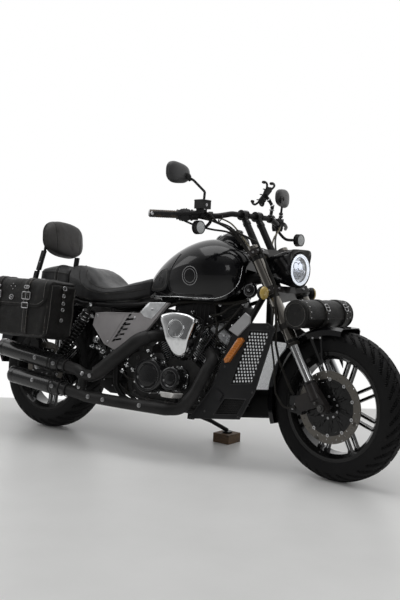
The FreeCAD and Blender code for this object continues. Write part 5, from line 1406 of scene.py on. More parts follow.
# ---------------------------------------------------------------- seats
def seat_ring(x, foot, bottom, half, middle, top):
    """A seat's section: flat base, leaning skirt, rolled rim and a slightly hollow top."""
    rise = top - middle
    side = [(foot * 0.6, bottom), (foot, bottom + 2), (half, middle - 2),
            (half * 0.985, middle + rise * 0.3), (half * 0.9, middle + rise * 0.7),
            (half * 0.7, top - 2), (half * 0.36, top - 1)]
    loop = [(x, y, z) for y, z in side] + [(x, 0, top - 3)]
    loop += [(x, -y, z) for y, z in reversed(side)] + [(x, 0, bottom)]
    return flowing(loop, 4, True)


SEAT = [
    (602, 56, 714, 64, 752, 790), (590, 62, 709, 72, 749, 797), (520, 96, 684, 112, 724, 772),
    (460, 118, 672, 134, 710, 752), (405, 132, 666, 150, 704, 744), (345, 134, 663, 152, 706, 766),
    (290, 134, 662, 152, 716, 806), (250, 131, 666, 148, 728, 828), (215, 128, 671, 144, 740, 838),
    (160, 120, 696, 135, 762, 842), (132, 114, 712, 128, 776, 834), (122, 96, 724, 108, 780, 816)]
PILLION = [
    (118, 98, 700, 108, 780, 820), (108, 112, 688, 122, 780, 832), (60, 111, 696, 120, 785, 838),
    (20, 110, 708, 118, 790, 839), (-40, 109, 726, 113, 792, 830), (-80, 106, 742, 108, 790, 818),
    (-91, 84, 754, 90, 786, 804)]


def seat_form(name, sections, node, seed):
    made = on_bike(name, SEAT_VINYL)
    rings = sections_skin(sections, seat_ring, 6)
    points, faces = loft(rings)
    made.add((rumple(points, 1.5, 34, seed), faces))
    shown = made.done(60, levels=1, stands_for=[node] if node else (), slot="seat_leather")
    return shown


saddle = seat_form("saddle_cushion", SEAT, "seat", 1.0)
pillion = seat_form("pillion_cushion", PILLION, None, 2.0)
saddle_skin = Skin(BIKE, saddle)
pillion_skin = Skin(BIKE, pillion)
welts = on_bike("seat_welts", STRAP_HIDE)
seat_thread = on_bike("seat_stitches", THREAD)
for side in (-1, 1):
    rim = [(590, 745), (520, 722), (450, 706), (380, 702), (310, 710), (262, 726), (226, 752),
           (206, 784), (200, 812)]
    line, faces = outline_on(saddle_skin, rim, side * 300, (0, -side, 0), 7, False)
    welts.add(pipe(line, 2.3, 10))
    inner = [(560, 762), (470, 738), (390, 726), (318, 740), (270, 768), (248, 796), (242, 816)]
    line, faces = outline_on(saddle_skin, inner, side * 300, (0, -side, 0), 7, False)
    welts.add(pipe(line, 1.5, 8))
    edge = [(600, 722), (520, 692), (405, 676), (290, 672), (215, 682), (150, 706)]
    line, faces = outline_on(saddle_skin, edge, side * 300, (0, -side, 0), 7, False)
    welts.add(pipe(line, 1.8, 8))
    line, faces = outline_on(pillion_skin, [(108, 790), (20, 797), (-84, 796)], side * 300,
                             (0, -side, 0), 8, False)
    welts.add(pipe(line, 2.2, 8))
for x in (44, 32, 20):
    spots = [(x, y, 900) for y in range(-106, 107, 4)]
    line, faces = pillion_skin.lay(spots, (0, 0, -1), 0.2)
    if x == 32:
        welts.add(ribbon(line, faces, 15, 2.2))
    else:
        stitched(seat_thread, line, faces, 6, 1.1, 0.9)
for side in (-1, 1):
    for x in (44, 32, 20):
        spots = [(x, side * 300, z) for z in range(822, 716, -5)]
        line, faces = pillion_skin.lay(spots, (0, -side, 0), 0.2)
        if x == 32:
            welts.add(ribbon(line, faces, 15, 2.2))
        else:
            stitched(seat_thread, line, faces, 6, 1.1, 0.9)
across = flowing([(206, -92, 900), (176, -60, 900), (166, 0, 900), (176, 60, 900),
                  (206, 92, 900)], 8)
line, faces = saddle_skin.lay(across, (0, 0, -1))
welts.add(pipe(line, 2.2, 8))
welts.done(60, slot="seat_leather")
seat_thread.done(60, slot="seat_leather")

# ---------------------------------------------------------------- backrest
PAD_PLACE = shift(-53.9, 0, 984) @ Matrix.Rotation(math.radians(-8), 4, "Y")


def pad_ring(x, grow):
    found = []
    for k in range(96):
        c, s = polar(2 * math.pi * k / 96)
        wide = 146 - 9 * max(0.0, -s) ** 2
        r = rounded(c, s, wide, 90 if s > 0 else 94, 2.7)
        found.append((x, r * c * grow, r * s * grow))
    return found


pad = Piece("backrest_pad", "chassis", BIKE @ PAD_PLACE, PAD_HIDE)
profile = flowing([(-24, 0.2, 0), (-25, 0.6, 0), (-24, 0.9, 0), (-19, 0.985, 0), (-8, 1.0, 0),
                   (4, 1.0, 0), (20, 0.965, 0), (31, 0.87, 0), (38, 0.66, 0), (42, 0.36, 0),
                   (43, 0.08, 0)], 3)
points, faces = loft([pad_ring(p.x, p.y) for p in profile])
dented = []
for p in rumple(points, 1.6, 38, 5.0):
    if p.x > 0:
        crease = min(abs(abs(p.y) - 92 - p.z * 0.1), 12) / 12
        p.x -= 3.4 * (1 - crease) ** 2
        p.x -= 13 * max(0.0, min(1.0, (abs(p.y) - 92) / 50))
    dented.append(p)
pad.add((dented, faces))
pad_shown = pad.done(70, levels=1, stands_for=["backrest"], slot="leather_black")
pad_skin = Skin(BIKE @ PAD_PLACE, pad_shown)
pad_welts = Piece("backrest_welts", "chassis", BIKE @ PAD_PLACE, STRAP_HIDE)
pad_welts.add(pipe(pad_ring(-12, 1.005), 2.4, 8, closed=True))
for side in (-1, 1):
    spots = [(120, side * (92 + z * 0.1), z) for z in range(-90, 92, 5)]
    line, faces = pad_skin.lay(spots, (-1, 0, 0), -0.6)
    pad_welts.add(pipe(line, 1.5, 8))
pad_welts.done(60, slot="leather_black")
stay_plates = on_bike("backrest_stay_plates", SATIN)
stay_line = [(-11, -9), (11, -9), (13, -6), (13, 6), (11, 9), (-11, 9), (-13, 6), (-13, -6)]
for side in (-1, 1):
    for ends in (((-93, 143, 735), (-84, 141, 795)), ((-78, 139, 800), (-63, 129, 905))):
        foot, head = [Vector((x, side * y, z)) for x, y, z in ends]
        rows = [[at + Vector((x, side * y, 0)) for x, y in stay_line]
                for at in (foot, foot.lerp(head, 0.5), head)]
        stay_plates.add(loft(rows))
stay_plates.done(30, bevel=1.4, slot="frame_black")
stay_bolts = on_bike("backrest_bolts", STEEL)
rest_skin = Skin(BIKE, frame["nodes"]["sissy_bar"])
for side in (-1, 1):
    for z in (842, 868, 930):
        for x in (-96, -70, -44):
            spots, faces = rest_skin.lay([(x, side * 260, z)], (0, -side, 0))
            for spot, face in zip(spots, faces):
                if abs(spot.y) > 100 and abs(face.y) > 0.7:
                    stay_bolts.add(bolt(6, 5, "dome"), aimed(spot, face))
stay_bolts.done(40, slot="axle_steel")

# ---------------------------------------------------------------- saddlebags
BAG_X, BAG_Y, BAG_Z = 68, 302.5, 592
BAG_HALF = (200, 97.5, 136)


def bag_shape(p, side):
    """The bag's soft form: a full middle, a sunken base and a slack top edge."""
    x, y, z = p.x / BAG_HALF[0], p.y / BAG_HALF[1], p.z / BAG_HALF[2]
    full = (1 - x * x) * (1 - z * z)
    q = Vector(p)
    if y * side > 0:
        q.y += side * (5 * full - 4 * max(0, -z) ** 3 * (1 - x * x))
    q.z += -5 * (1 - x * x) * max(0.0, -z) ** 2 + 3 * (x * x - 0.4) * max(0.0, z) ** 2
    q.x *= 1 - 0.03 * max(0.0, -z) ** 2
    return q


def round_bag(skin, side, x, degrees, lift=0.0):
    """Spots on a bag's skin at angles about a line along its middle; 0 faces outward."""
    spots, faces = [], []
    for angle in degrees:
        a = math.radians(angle)
        way = Vector((0, side * math.cos(a), math.sin(a)))
        start = Vector((x, side * 300, 610)) + way * 320
        hit, face = skin.lay([start], -way, lift)
        spots += hit
        faces += face
    return spots, faces


for name, side in SIDES:
    bag = on_bike("saddlebag_" + name, BAG_HIDE)
    points, faces = soft_box(BAG_HALF, 30, 34)
    shaped = [bag_shape(Vector(p), side) for p in points]
    shaped = rumple(shaped, 2.8, 46, 3.0 + side)
    bag.add((shaped, faces), shift(BAG_X, side * BAG_Y, BAG_Z))
    bag_shown = bag.done(60, levels=1, stands_for=["saddlebags"], slot="leather_black")
    skin = Skin(BIKE, bag_shown)
    rows = []
    for k in range(57):
        x = BAG_X - 194 + 388 * k / 56
        inside = min(x - (BAG_X - 196), BAG_X + 196 - x)
        corner = max(0.0, 1 - inside / 74)
        low = -6 + 50 * (1 - math.sqrt(max(0.0, 1 - corner * corner)))
        angles = [124 + (low - 124) * j / 44 for j in range(45)]
        spots, faces = round_bag(skin, side, x, angles, 2.6)
        if len(spots) == 45:
            rows.append(spots)
    flap = on_bike("bag_flap_" + name, BAG_HIDE)
    points, faces = sheet_of(rows)
    flap.add((rumple(points, 1.0, 26, 7.0), faces))
    flap_shown = flap.done(60, thick=3.4, slot="leather_black")
    border = [row[-1] for row in rows]
    full_edge = rows[0][12:][::-1] + border + rows[-1][12:][::-1]
    welt = on_bike("bag_welts_" + name, STRAP_HIDE)
    thread = on_bike("bag_stitches_" + name, THREAD)
    welt.add(pipe(flowing(full_edge[::3], 3), 2.7, 8))
    layered = Skin(BIKE, bag_shown, flap_shown)
    inset = [row[-3] for row in rows[3:-3]]
    out = Vector((0, side, 0))
    line, faces = layered.lay([p + out * 60 for p in inset], -out, 1.2)
    stitched(thread, line, faces, 7, 1.2, 0.8)
    for end in (3, -4):
        spots, faces = [], []
        for p in rows[end][14:-3:2]:
            way = Vector((0, p.y - side * 300, p.z - 610)).normalized()
            hit, face = layered.lay([p + way * 40], -way, 1.2)
            spots += hit
            faces += face
        stitched(thread, spots, faces, 7, 1.2, 0.8)
    for flat, lip in ((393, 3.2), (214, 3.0)):
        loop = []
        for k in range(64):
            c, s = polar(2 * math.pi * k / 64)
            r = rounded(c, s, 220, 156, 7)
            start = Vector((BAG_X + r * c * 1.4, side * flat, BAG_Z + r * s * 1.4))
            hit, face = skin.lay([start], Vector((-c, 0, -s)), 0.6)
            loop += hit
        if len(loop) > 40:
            welt.add(pipe(loop, lip, 8, closed=True))
    for gap in (382, 224):
        spots = [(BAG_X + 300, side * gap, z) for z in range(478, 708, 4)]
        line, faces = skin.lay(spots, (-1, 0, 0), 0.3)
        stitched(thread, line, faces, 6.5, 1.3, 0.8)
    outer = [(BAG_X + x, z) for x, z in ((-186, 560), (-186, 478), (-172, 466), (172, 466),
                                         (186, 478), (186, 560))]
    line, faces = outline_on(skin, outer, side * RAY_START, (0, -side, 0), 14, False, 0.3, False)
    stitched(thread, line, faces, 7, 1.2, 0.8)
    straps = on_bike("bag_straps_" + name, STRAP_HIDE)
    metal = on_bike("bag_buckles_" + name, STEEL)
    for x in (-64, 132):
        spots, faces = round_bag(layered, side, x, range(112, -22, -3), 1.0)
        tail, tail_faces = layered.lay([(x, side * RAY_START, z) for z in range(560, 470, -6)],
                                       (0, -side, 0), 1.0)
        run = [p for p in spots if p.z > 570] + tail
        ups = [f for p, f in zip(spots, faces) if p.z > 570] + tail_faces
        straps.add(ribbon(run, ups, 31, 3.8))
        tip, tip_face = run[-1], ups[-1]
        straps.add(lathe([(15.5, 0), (15.5, 1.4), (13.6, 3.8), (0, 3.8)], 30),
                   aimed(tip, tip_face))
        for gap in (-11.6, 11.6):
            shifted = [p + Vector((gap, 0, 0)) + f * 3.6 for p, f in zip(run, ups)]
            stitched(thread, shifted, ups, 7, 1.5, 0.8)
        for z in (648, 602):
            (spot,), (face,) = layered.lay([(x, side * RAY_START, z)], (0, -side, 0), 5.4)
            at = aimed(spot, face)
            wide, tall = (24, 17) if z > 620 else (20, 12)
            frame_line = [(-wide, -tall, 0), (wide, -tall, 0), (wide, tall, 0), (-wide, tall, 0)]
            dense = flowing([Vector(a).lerp(Vector(b), t) for a, b in zip(
                frame_line, frame_line[1:] + frame_line[:1]) for t in (0.12, 0.5, 0.88)], 4, True)
            metal.add(pipe(dense, 2.3, 8, closed=True), at)
            if z > 620:
                metal.add(pipe([(0, -tall, 0.5), (0, tall + 3, 1.8)], 1.9, 8), at)
        for angle in (84, 36):
            (spot,), (face,) = round_bag(layered, side, x, [angle], 4.6)
            metal.add(bolt(4.4, 2.4, "dome"), aimed(spot, face))
            wire = [spot + Vector((17 * math.cos(t), 0, 0)) + face.cross(Vector((1, 0, 0)))
                    * 7 * math.sin(t) + face * 1.4 for t in
                    [2 * math.pi * k / 20 for k in range(20)]]
            metal.add(pipe(wire, 1.7, 8, closed=True))
    metal.stud(bolt(2.6, 1.6, "dome"), layered, [
        (x, side * RAY_START, z) for x, z in ((34, 676), (20, 690), (48, 690), (34, 702))],
        (0, -side, 0), 0.4)
    for shape in (ring([(9.5, 0), (11, 2.4), (13, 2.4), (14, 0)], 32), bolt(4, 3, "dome")):
        metal.stud(shape, layered, [(34, side * RAY_START, 636)], (0, -side, 0), 1.6)
    tab, tab_faces = skin.lay([(500, side * 302, z) for z in range(712, 520, -5)], (-1, 0, 0), 0.6)
    straps.add(ribbon(tab, tab_faces, 17, 2.6))
    for number, z in enumerate((700, 664, 628, 598, 548)):
        (spot,), (face,) = skin.lay([(500, side * 302, z)], (-1, 0, 0), 4.4)
        at = aimed(spot, face)
        radius = 12 if number == 0 else 9.5
        metal.add(pipe(circle(radius, 24, 0, 0.8), 1.9, 8, closed=True), at)
        metal.add(bolt(2.6, 2, "dome"), at @ shift(0, 0, -1.4))
    for part in (welt, straps):
        part.done(50, slot="leather_black")
    thread.done(60, slot="leather_black")
    metal.done(50, slot="axle_steel")

# ---------------------------------------------------------------- tool roll
ROLL = FORK @ shift(158, 0, 380) @ TO_AXLE
roll = Piece("tool_roll_body", "steering", ROLL, BAG_HIDE)
rows = [(0.1, -170), (30, -171), (46, -171.5), (50, -173), (54, -173.5), (57, -170)]
rows += [(57, z) for z in range(-164, 165, 8)]
rows += [(57, 170), (54, 173.5), (50, 173), (46, 171.5), (30, 171), (0.1, 170)]
points, faces = lathe(rows, 96)
roll.add((rumple(points, 1.5, 34, 11.0), faces))
roll_shown = roll.done(60, stands_for=["tool_roll"], slot="leather_black")
cover = Piece("tool_roll_flap", "steering", ROLL, BAG_HIDE)
points, faces = lathe([(57, -162), (60.4, -161)] + [(60.8, z) for z in range(-156, 157, 12)]
                      + [(60.4, 161), (57, 162)], 72, -190, 236)
cover.add((rumple(points, 1.2, 30, 13.0), faces))
cover_shown = cover.done(60, slot="leather_black")
roll_welts = Piece("tool_roll_welts", "steering", ROLL, STRAP_HIDE)
for end in (-1, 1):
    roll_welts.add(pipe(circle(58, 72, end * 168), 3.2, 10, closed=True))
lip = [(60 * math.cos(math.radians(46)), 60 * math.sin(math.radians(46)), z)
       for z in range(-160, 161, 8)]
roll_welts.add(pipe(rumple(lip, 1.6, 40, 17.0), 3.0, 10))
for z in (-28, 112):
    roll_welts.add(ring([(61, z - 13), (64.2, z - 12), (64.2, z + 12), (61, z + 13)], 72))
    roll_welts.add(lathe([(64.2, z - 10), (67, z - 9), (67, z + 9), (64.2, z + 10)], 20, 20, 62))
for z in (-105, 105):
    roll_welts.add(ring([(26.3, -12), (29.2, -12), (29.2, 12), (26.3, 12)], 40),
                   shift(-110, 0, z) @ TO_AXLE.inverted())
    roll_welts.add(ribbon([(-80, -8, z), (-66, -8, z), (-56, -8, z)], (0, -1, 0), 22, 3))
    roll_welts.add(ribbon([(-80, 8, z), (-66, 8, z), (-56, 8, z)], (0, 1, 0), 22, 3))
roll_welts.done(50, slot="leather_black")
roll_thread = Piece("tool_roll_stitches", "steering", ROLL, THREAD_DULL)
for end in (-1, 1):
    loop = [Vector((48.5 * math.cos(t), 48.5 * math.sin(t), end * 172.4)) for t in
            [2 * math.pi * k / 72 for k in range(73)]]
    stitched(roll_thread, loop, [Vector((0, 0, end))] * 73, 6.5, 1.1, 0.8)
    seam = [Vector((60.6 * math.cos(math.radians(a)), 60.6 * math.sin(math.radians(a)), end * 152))
            for a in range(-180, 41, 4)]
    outward = [Vector((p.x, p.y, 0)).normalized() for p in seam]
    stitched(roll_thread, [p + o * 0.8 for p, o in zip(seam, outward)], outward, 7, 1.1, 0.8)
roll_thread.done(60, slot="leather_black")
roll_metal = Piece("tool_roll_rivets", "steering", ROLL, STEEL)
for angle in range(-70, 41, 22):
    c, s = polar(math.radians(angle))
    for z in (-143, 143):
        roll_metal.add(bolt(2.8, 2, "dome"), aimed((61.4 * c, 61.4 * s, z), (c, s, 0)))
for z in (-28, 112):
    c, s = polar(math.radians(2))
    at = aimed((66.6 * c, 66.6 * s, z), (c, s, 0))
    loop = [(16 * math.copysign(abs(math.cos(t)) ** 0.45, math.cos(t)),
             12 * math.copysign(abs(math.sin(t)) ** 0.45, math.sin(t)), 0) for t in
            [2 * math.pi * k / 32 for k in range(32)]]
    roll_metal.add(pipe(loop, 1.9, 8, closed=True), at)
    roll_metal.add(pipe([(0, -12, 0.6), (0, 13, 1.6)], 1.5, 8), at)
    for turn in (24, 44):
        c, s = polar(math.radians(turn))
        roll_metal.add(bolt(2.4, 1.6, "dome"), aimed((67 * c, 67 * s, z), (c, s, 0)))
roll_metal.done(50, slot="axle_steel")


# ---------------------------------------------------------------- tank
def side_line(skin, corners, side, lift, steps, closed=False):
    return outline_on(skin, corners, side * 420, (0, -side, 0), steps, closed, lift)


tank_skin = Skin(BIKE, frame["nodes"]["fuel_tank"])
trim = on_bike("tank_edge_trim", CHROME)
panel = on_bike("tank_knee_pads", SEAT_VINYL)
knee_thread = on_bike("knee_pad_stitches", THREAD_DULL)
tank_rings = on_bike("tank_badge_rims", PALE_GREY)
tank_folds = on_bike("tank_side_folds", GLOSS)
for side in (-1, 1):
    low_edge = [(1106, 872), (1104, 826), (1094, 786), (1070, 750), (1030, 724), (980, 714),
                (900, 713), (800, 713), (720, 711), (660, 711), (612, 713)]
    line, faces = side_line(tank_skin, low_edge, side, 0.4, 8)
    trim.add(pipe(line, 2.1, 8))
    knee = [(622, 740), (716, 744), (748, 790), (744, 836), (706, 832), (654, 792)]
    line, faces = side_line(tank_skin, knee, side, 0, 7, True)
    panel.add(pipe(line, 3.4, 8))
    rows = []
    middle = Vector((690, side * 420, 790))
    for share in (1.0, 0.94, 0.8, 0.55, 0.3, 0.08):
        spots = [middle.lerp(Vector((p.x, side * 420, p.z)), share) for p in line[:-1]]
        hit, face = tank_skin.lay(spots, (0, -side, 0), 0.6 if share == 1 else 3.6)
        rows.append(hit)
    if len({len(row) for row in rows}) == 1:
        points, faces = loft(rows)
        panel.add((rumple(points, 0.7, 22), faces))
    inset = [((x - 690) * 0.84 + 690, (z - 790) * 0.84 + 790) for x, z in knee]
    line, faces = side_line(tank_skin, inset, side, 3.8, 7, True)
    stitched(knee_thread, line, faces, 6, 1.1, 0.7)
    (spot,), (face,) = tank_skin.lay([(700, side * 420, 786)], (0, -side, 0), 3.4)
    panel.add(ring([(12, 0), (13, 2.4), (16, 2.4), (17, 0)], 36), aimed(spot, face))
    for radius, tube_size in ((42, 1.5), (31, 0.9)):
        round_line = [(880 + x, 810 + z) for x, z, _ in circle(radius, 48)]
        line, faces = side_line(tank_skin, round_line, side, 0.2, 1, True)
        tank_rings.add(pipe(line[:-1], tube_size, 8, closed=True))
    fold = [(800, 912), (776, 868), (757, 822), (750, 772), (762, 738), (800, 726), (900, 726)]
    line, faces = side_line(tank_skin, fold, side, -1.4, 8)
    tank_folds.add(pipe(line, 4.2, 10))
trim.done(60, slot="chrome")
panel.done(50, slot="seat_leather")
knee_thread.done(60, slot="seat_leather")
tank_rings.done(60, slot="trim_grey")
tank_folds.done(60, slot="tank_black")

pod = on_bike("gauge_pod", GLOSS)
rows = []
for x, half, foot, top in ((926, 30, 984, 992), (934, 37, 984, 1004), (952, 43, 986, 1020),
                           (978, 47, 988, 1032), (1006, 48, 988, 1036), (1034, 47, 984, 1034),
                           (1056, 44, 976, 1024), (1068, 39, 968, 1008), (1074, 30, 966, 992)):
    arc = []
    for k in range(33):
        c, s = polar(math.pi * k / 32)
        arc.append((x, math.copysign(abs(c) ** 0.8, c) * half, foot + (top - foot) * s ** 0.62))
    rows.append(arc)
pod.add(loft(rows))
pod_shown = pod.done(50, slot="tank_black")
console_skin = Skin(BIKE, frame["nodes"]["tank_console"], frame["nodes"]["fuel_tank"], pod_shown)
dash = on_bike("dash_bezels", GLOSS)
dash_rims = on_bike("dash_rims", CHROME)
dials = on_bike("dash_dials", FOG_LENS)
for x, radius, high in ((1010, 33, 12), (934, 27, 9)):
    (spot,), (face,) = console_skin.lay([(x, 0, 1300)], (0, 0, -1))
    at = aimed(spot, face)
    dash.add(lathe([(radius, -12), (radius, high - 4), (radius - 2, high), (radius - 6, high),
                    (radius - 6, high - 3)], 56), at)
    dash_rims.add(ring([(radius + 0.6, high - 6), (radius + 0.8, high - 4),
                        (radius - 0.6, high - 2), (radius - 0.6, high - 6)], 56), at)
    if radius > 30:
        dials.add(lathe([(radius - 6, high - 3.4), (0, high - 2.6)], 48), at)
    else:
        dash.add(lathe([(radius - 6, high - 3), (10, high - 1.4), (9, high - 3), (0, high - 3)],
                       48), at)
        for number in range(6):
            turn = Matrix.Rotation(math.pi * number / 3, 4, "Z")
            dash_rims.add(bolt(2.6, 1.6), at @ turn @ shift(15.5, 0, high - 2.6))
dash.done(34, slot="tank_black")
dash_rims.done(34, slot="chrome")
dials.done(34, slot="fog_lens")

# ---------------------------------------------------------------- engine
BARREL_BASE, FIN_PITCH, FIN_COUNT, FIN_HALF = 112, 10, 15, 72


def fin_outline(half, corner=26.0):
    """A cooling fin's outline: a square with round corners."""
    found = []
    for quarter in range(4):
        turn = math.pi / 2 * quarter
        for k in range(7):
            angle = math.pi / 2 * k / 6
            x = half - corner + corner * math.cos(angle)
            y = half - corner + corner * math.sin(angle)
            found.append((x * math.cos(turn) - y * math.sin(turn),
                          x * math.sin(turn) + y * math.cos(turn)))
    return found


fin_lights = on_bike("fin_edges", FIN_EDGE)
head_bolts = on_bike("rocker_bolts", CHROME)
head_seams = on_bike("rocker_seams", ENGINE_GLOSS)
head_ribs = on_bike("rocker_crowns", SILVER)
rods = on_bike("pushrod_tubes", ENGINE_GLOSS)
plugs = on_bike("plug_leads", HOSE)
for tilt in (-31, 35):
    barrel = shift(*CRANK) @ Matrix.Rotation(math.radians(tilt), 4, "Y")
    for number in range(FIN_COUNT):
        z = BARREL_BASE + 6 + number * FIN_PITCH
        bands = [[(x, y, z + dz) for x, y in fin_outline(FIN_HALF + grow)]
                 for dz, grow in ((0.5, -0.4), (0.6, 0.5), (3.3, 0.5), (3.4, -0.4))]
        fin_lights.add(loft(bands, False), barrel)
    top = BARREL_BASE + FIN_COUNT * FIN_PITCH
    half = FIN_HALF - 2
    seam = [[(x, y, z) for x, y in fin_outline(half + grow, 14)]
            for z, grow in ((top - 2.4, -1), (top - 2.4, 2.4), (top + 2, 2.4), (top + 2, -1))]
    head_seams.add(loft(seam), barrel)
    for x in (-57, -20, 20, 57):
        for y in (-60, 60):
            head_bolts.add(bolt(5, 6), barrel @ shift(x, y, top + 21.5))
    for y in (-24, -8, 8, 24):
        head_ribs.add(loft([[(-44 * w, y - 3.6, z), (44 * w, y - 3.6, z), (44 * w, y + 3.6, z),
                             (-44 * w, y + 3.6, z)]
                            for w, z in ((1, top + 41), (1, top + 44), (0.93, top + 45.4))]),
                      barrel)
    for side in (-1, 1):
        for x in (-16, 16):
            for spot_z in (142, 236):
                head_bolts.add(bolt(6.4, 5, "hex"),
                               barrel @ aimed((x * 3, side * 72.6, spot_z), (0, side, 0)))
    lead = flowing([(20, -60, 238), (40, -84, 244), (30, -96, 262), (-10, -98, 286),
                    (-40, -70, 320)], 8)
    plugs.add(pipe(lead, 4.2, 10), barrel)
    plugs.add(lathe([(4, 0), (9, 2), (10, 16), (8, 26), (5, 32)], 20),
              barrel @ aimed((20, -70, 238), (0.4, -1, 0.1)))
for x0, z0, x1, z1 in ((800, 446, 742, 560), (830, 448, 790, 590), (924, 448, 1000, 560),
                       (890, 448, 950, 590)):
    foot, head = Vector((x0, -100, z0 - 24)), Vector((x1, -86, z1))
    way = head - foot
    rods.add(lathe([(9, 0), (9, 12), (6, 15), (6, way.length - 16), (9, way.length - 12),
                    (9, way.length)], 28), aimed(foot, way))
for part, kind in ((fin_lights, "fin_black"), (head_bolts, "chrome"), (head_seams, "engine_black"),
                   (rods, "chrome"), (plugs, "hose_black")):
    part.done(36, slot=kind)
head_ribs.done(36, bevel=1.2, slot="fin_black")

covers = on_bike("engine_cover_rims", ENGINE_GLOSS)
cover_bolts = on_bike("engine_cover_bolts", CHROME)
for x, z, radius, out, side, count in ((728, 337, 76, 186, -1, 9), (856, 336, 52, 192, -1, 7),
                                       (856, 330, 92, 166, 1, 10)):
    place = aimed((x, side * out, z), (0, side, 0))
    covers.add(ring([(radius - 5, -7), (radius + 1.4, -8), (radius + 1.4, -3), (radius - 4, 1.6),
                     (radius - 14, 1.8), (radius - 17, 0), (radius - 17, -4)], 96), place)
    covers.add(lathe([(radius - 24, -5), (radius - 27, -1.6), (radius - 34, -0.6), (6, 0.4),
                      (0, 0.4)], 80), place)
    for number in range(count):
        c, s = polar(2 * math.pi * (number + 0.4) / count)
        wx, wz = x + (radius + 3) * c * side * -1, z + (radius + 3) * s
        if side < 0 and radius > 60 and math.hypot(wx - 856, wz - 336) < 68:
            continue
        cover_bolts.add(lathe([(9, -4), (9, 0), (7.6, 1.6)], 20),
                        aimed((wx, side * 130, wz), (0, side, 0)))
        cover_bolts.add(bolt(5.2, 6.5), aimed((wx, side * 131, wz), (0, side, 0)))
covers.done(40, slot="engine_black")
cover_bolts.done(34, slot="chrome")

case_skin = Skin(BIKE, frame["nodes"]["crankcase"], frame["nodes"]["engine_covers"])
case_ribs = on_bike("crankcase_ribs", ENGINE_CAST)
case_bolts = on_bike("crankcase_bolts", DARK_STEEL)
for side in (-1, 1):
    outline = [(588, 300), (600, 258), (648, 230), (760, 228), (880, 228), (960, 230), (1004, 260),
               (1022, 320), (1012, 372), (960, 424)]
    line, faces = outline_on(case_skin, outline, side * 400, (0, -side, 0), 5, False, 0.0)
    line = [p for p in line if abs(p.y) < 130]
    case_ribs.add(pipe(line, 5.4, 10))
    for x, z in ((606, 300), (612, 248), (690, 226), (800, 226), (920, 228), (984, 250),
                 (1016, 330), (990, 396), (612, 410), (700, 428)):
        hit, face = case_skin.lay([(x, side * 400, z)], (0, -side, 0))
        for spot in hit:
            at = aimed(spot, (0, side, 0))
            case_bolts.add(lathe([(10, -2), (10, 4), (8, 6)], 20), at)
            case_bolts.add(bolt(5.6, 6, "hex"), at @ shift(0, 0, 6))
    for x in (930, 950, 970, 990):
        hit, face = case_skin.lay([(x, side * 400, 300), (x + 8, side * 400, 360)], (0, -side, 0))
        if len(hit) == 2:
            case_ribs.add(pipe(hit, 3, 8))
case_ribs.done(40, slot="engine_black")
case_bolts.done(36, slot="engine_black")

# pipes, pumps and unions in the space between the cylinders and behind the covers
plumbing = on_bike("engine_unions", CHROME)
dark_plumbing = on_bike("engine_pipework", HOSE)
runs = (
    (6, [(1000, -118, 300), (1040, -130, 340), (1060, -124, 420), (1080, -110, 480)]),
    (9, [(980, -120, 262), (1030, -136, 268), (1082, -120, 300), (1110, -96, 350)]),
    (7, [(700, -118, 430), (664, -128, 452), (640, -110, 500), (664, -96, 560)]),
    (8, [(1036, 118, 300), (1070, 128, 360), (1096, 110, 450), (1150, 96, 520)]),
    (6, [(620, -118, 300), (560, -128, 318), (520, -112, 368), (516, -100, 430)]),
    (7, [(612, 118, 420), (580, 126, 460), (600, 100, 540), (640, 80, 600)]),
    (5, [(1010, -80, 560), (1060, -104, 590), (1096, -96, 640), (1120, -60, 700)]),
    (6, [(960, -70, 640), (1030, -92, 650), (1080, -80, 690), (1150, -60, 720)]))
for radius, run in runs:
    path = flowing(run, 8)
    dark_plumbing.add(pipe(path, radius, 12))
    for at in (0, len(path) - 2):
        plumbing.add(lathe([(radius, 0), (radius + 3.4, 1), (radius + 3.4, 9), (radius, 10)], 6),
                     aimed(path[at], path[at + 1] - path[at]))
dark_plumbing.done(40, slot="hose_black")
for x, y, z, way, size in (
        (560, -124, 372, (-0.4, -1, 0.2), 15), (534, -122, 340, (0, -1, -0.2), 12),
        (596, -120, 350, (-0.2, -1, 0.5), 10), (1050, -128, 300, (0.4, -1, 0), 13),
        (1000, -126, 430, (0.5, -1, 0.3), 11), (680, -126, 446, (0, -1, 0.4), 9)):
    place = aimed((x, y, z), way)
    plumbing.add(lathe([(size * 0.6, -30), (size * 0.6, -4), (size, -3), (size, 6),
                        (size * 0.8, 9), (size * 0.5, 9), (size * 0.45, 15), (0, 16)], 24), place)
plumbing.done(34, slot="chrome")

# the airbox, coils, regulator and battery case fill the frame between the cylinders and wheels
inner_boxes = on_bike("airbox_and_battery_case", SATIN)
inner_ribs = on_bike("airbox_and_case_ribs", PLASTIC)
inner_bolts = on_bike("airbox_and_case_bolts", STEEL)


def cased(outline, half, ribs):
    """A moulded case standing across the frame: its side outline, half width and rib places."""
    middle = Vector((sum(p[0] for p in outline), sum(p[1] for p in outline))) / len(outline)
    inner_boxes.add(stepped(outline, middle, (
        (0.93, half), (0.985, half - 3), (1.0, half - 8), (1.0, -half + 8), (0.985, -half + 3),
        (0.93, -half))))
    for side in (-1, 1):
        for (x0, z0), (x1, z1) in ribs:
            inner_ribs.add(pipe([(x0, side * half, z0), (x1, side * half, z1)], 2.6, 8))
        for x, z in outline:
            spot = middle + (Vector((x, z)) - middle) * 0.82
            inner_bolts.add(bolt(4, 3, "dome"), aimed((spot.x, side * half, spot.y), (0, side, 0)))


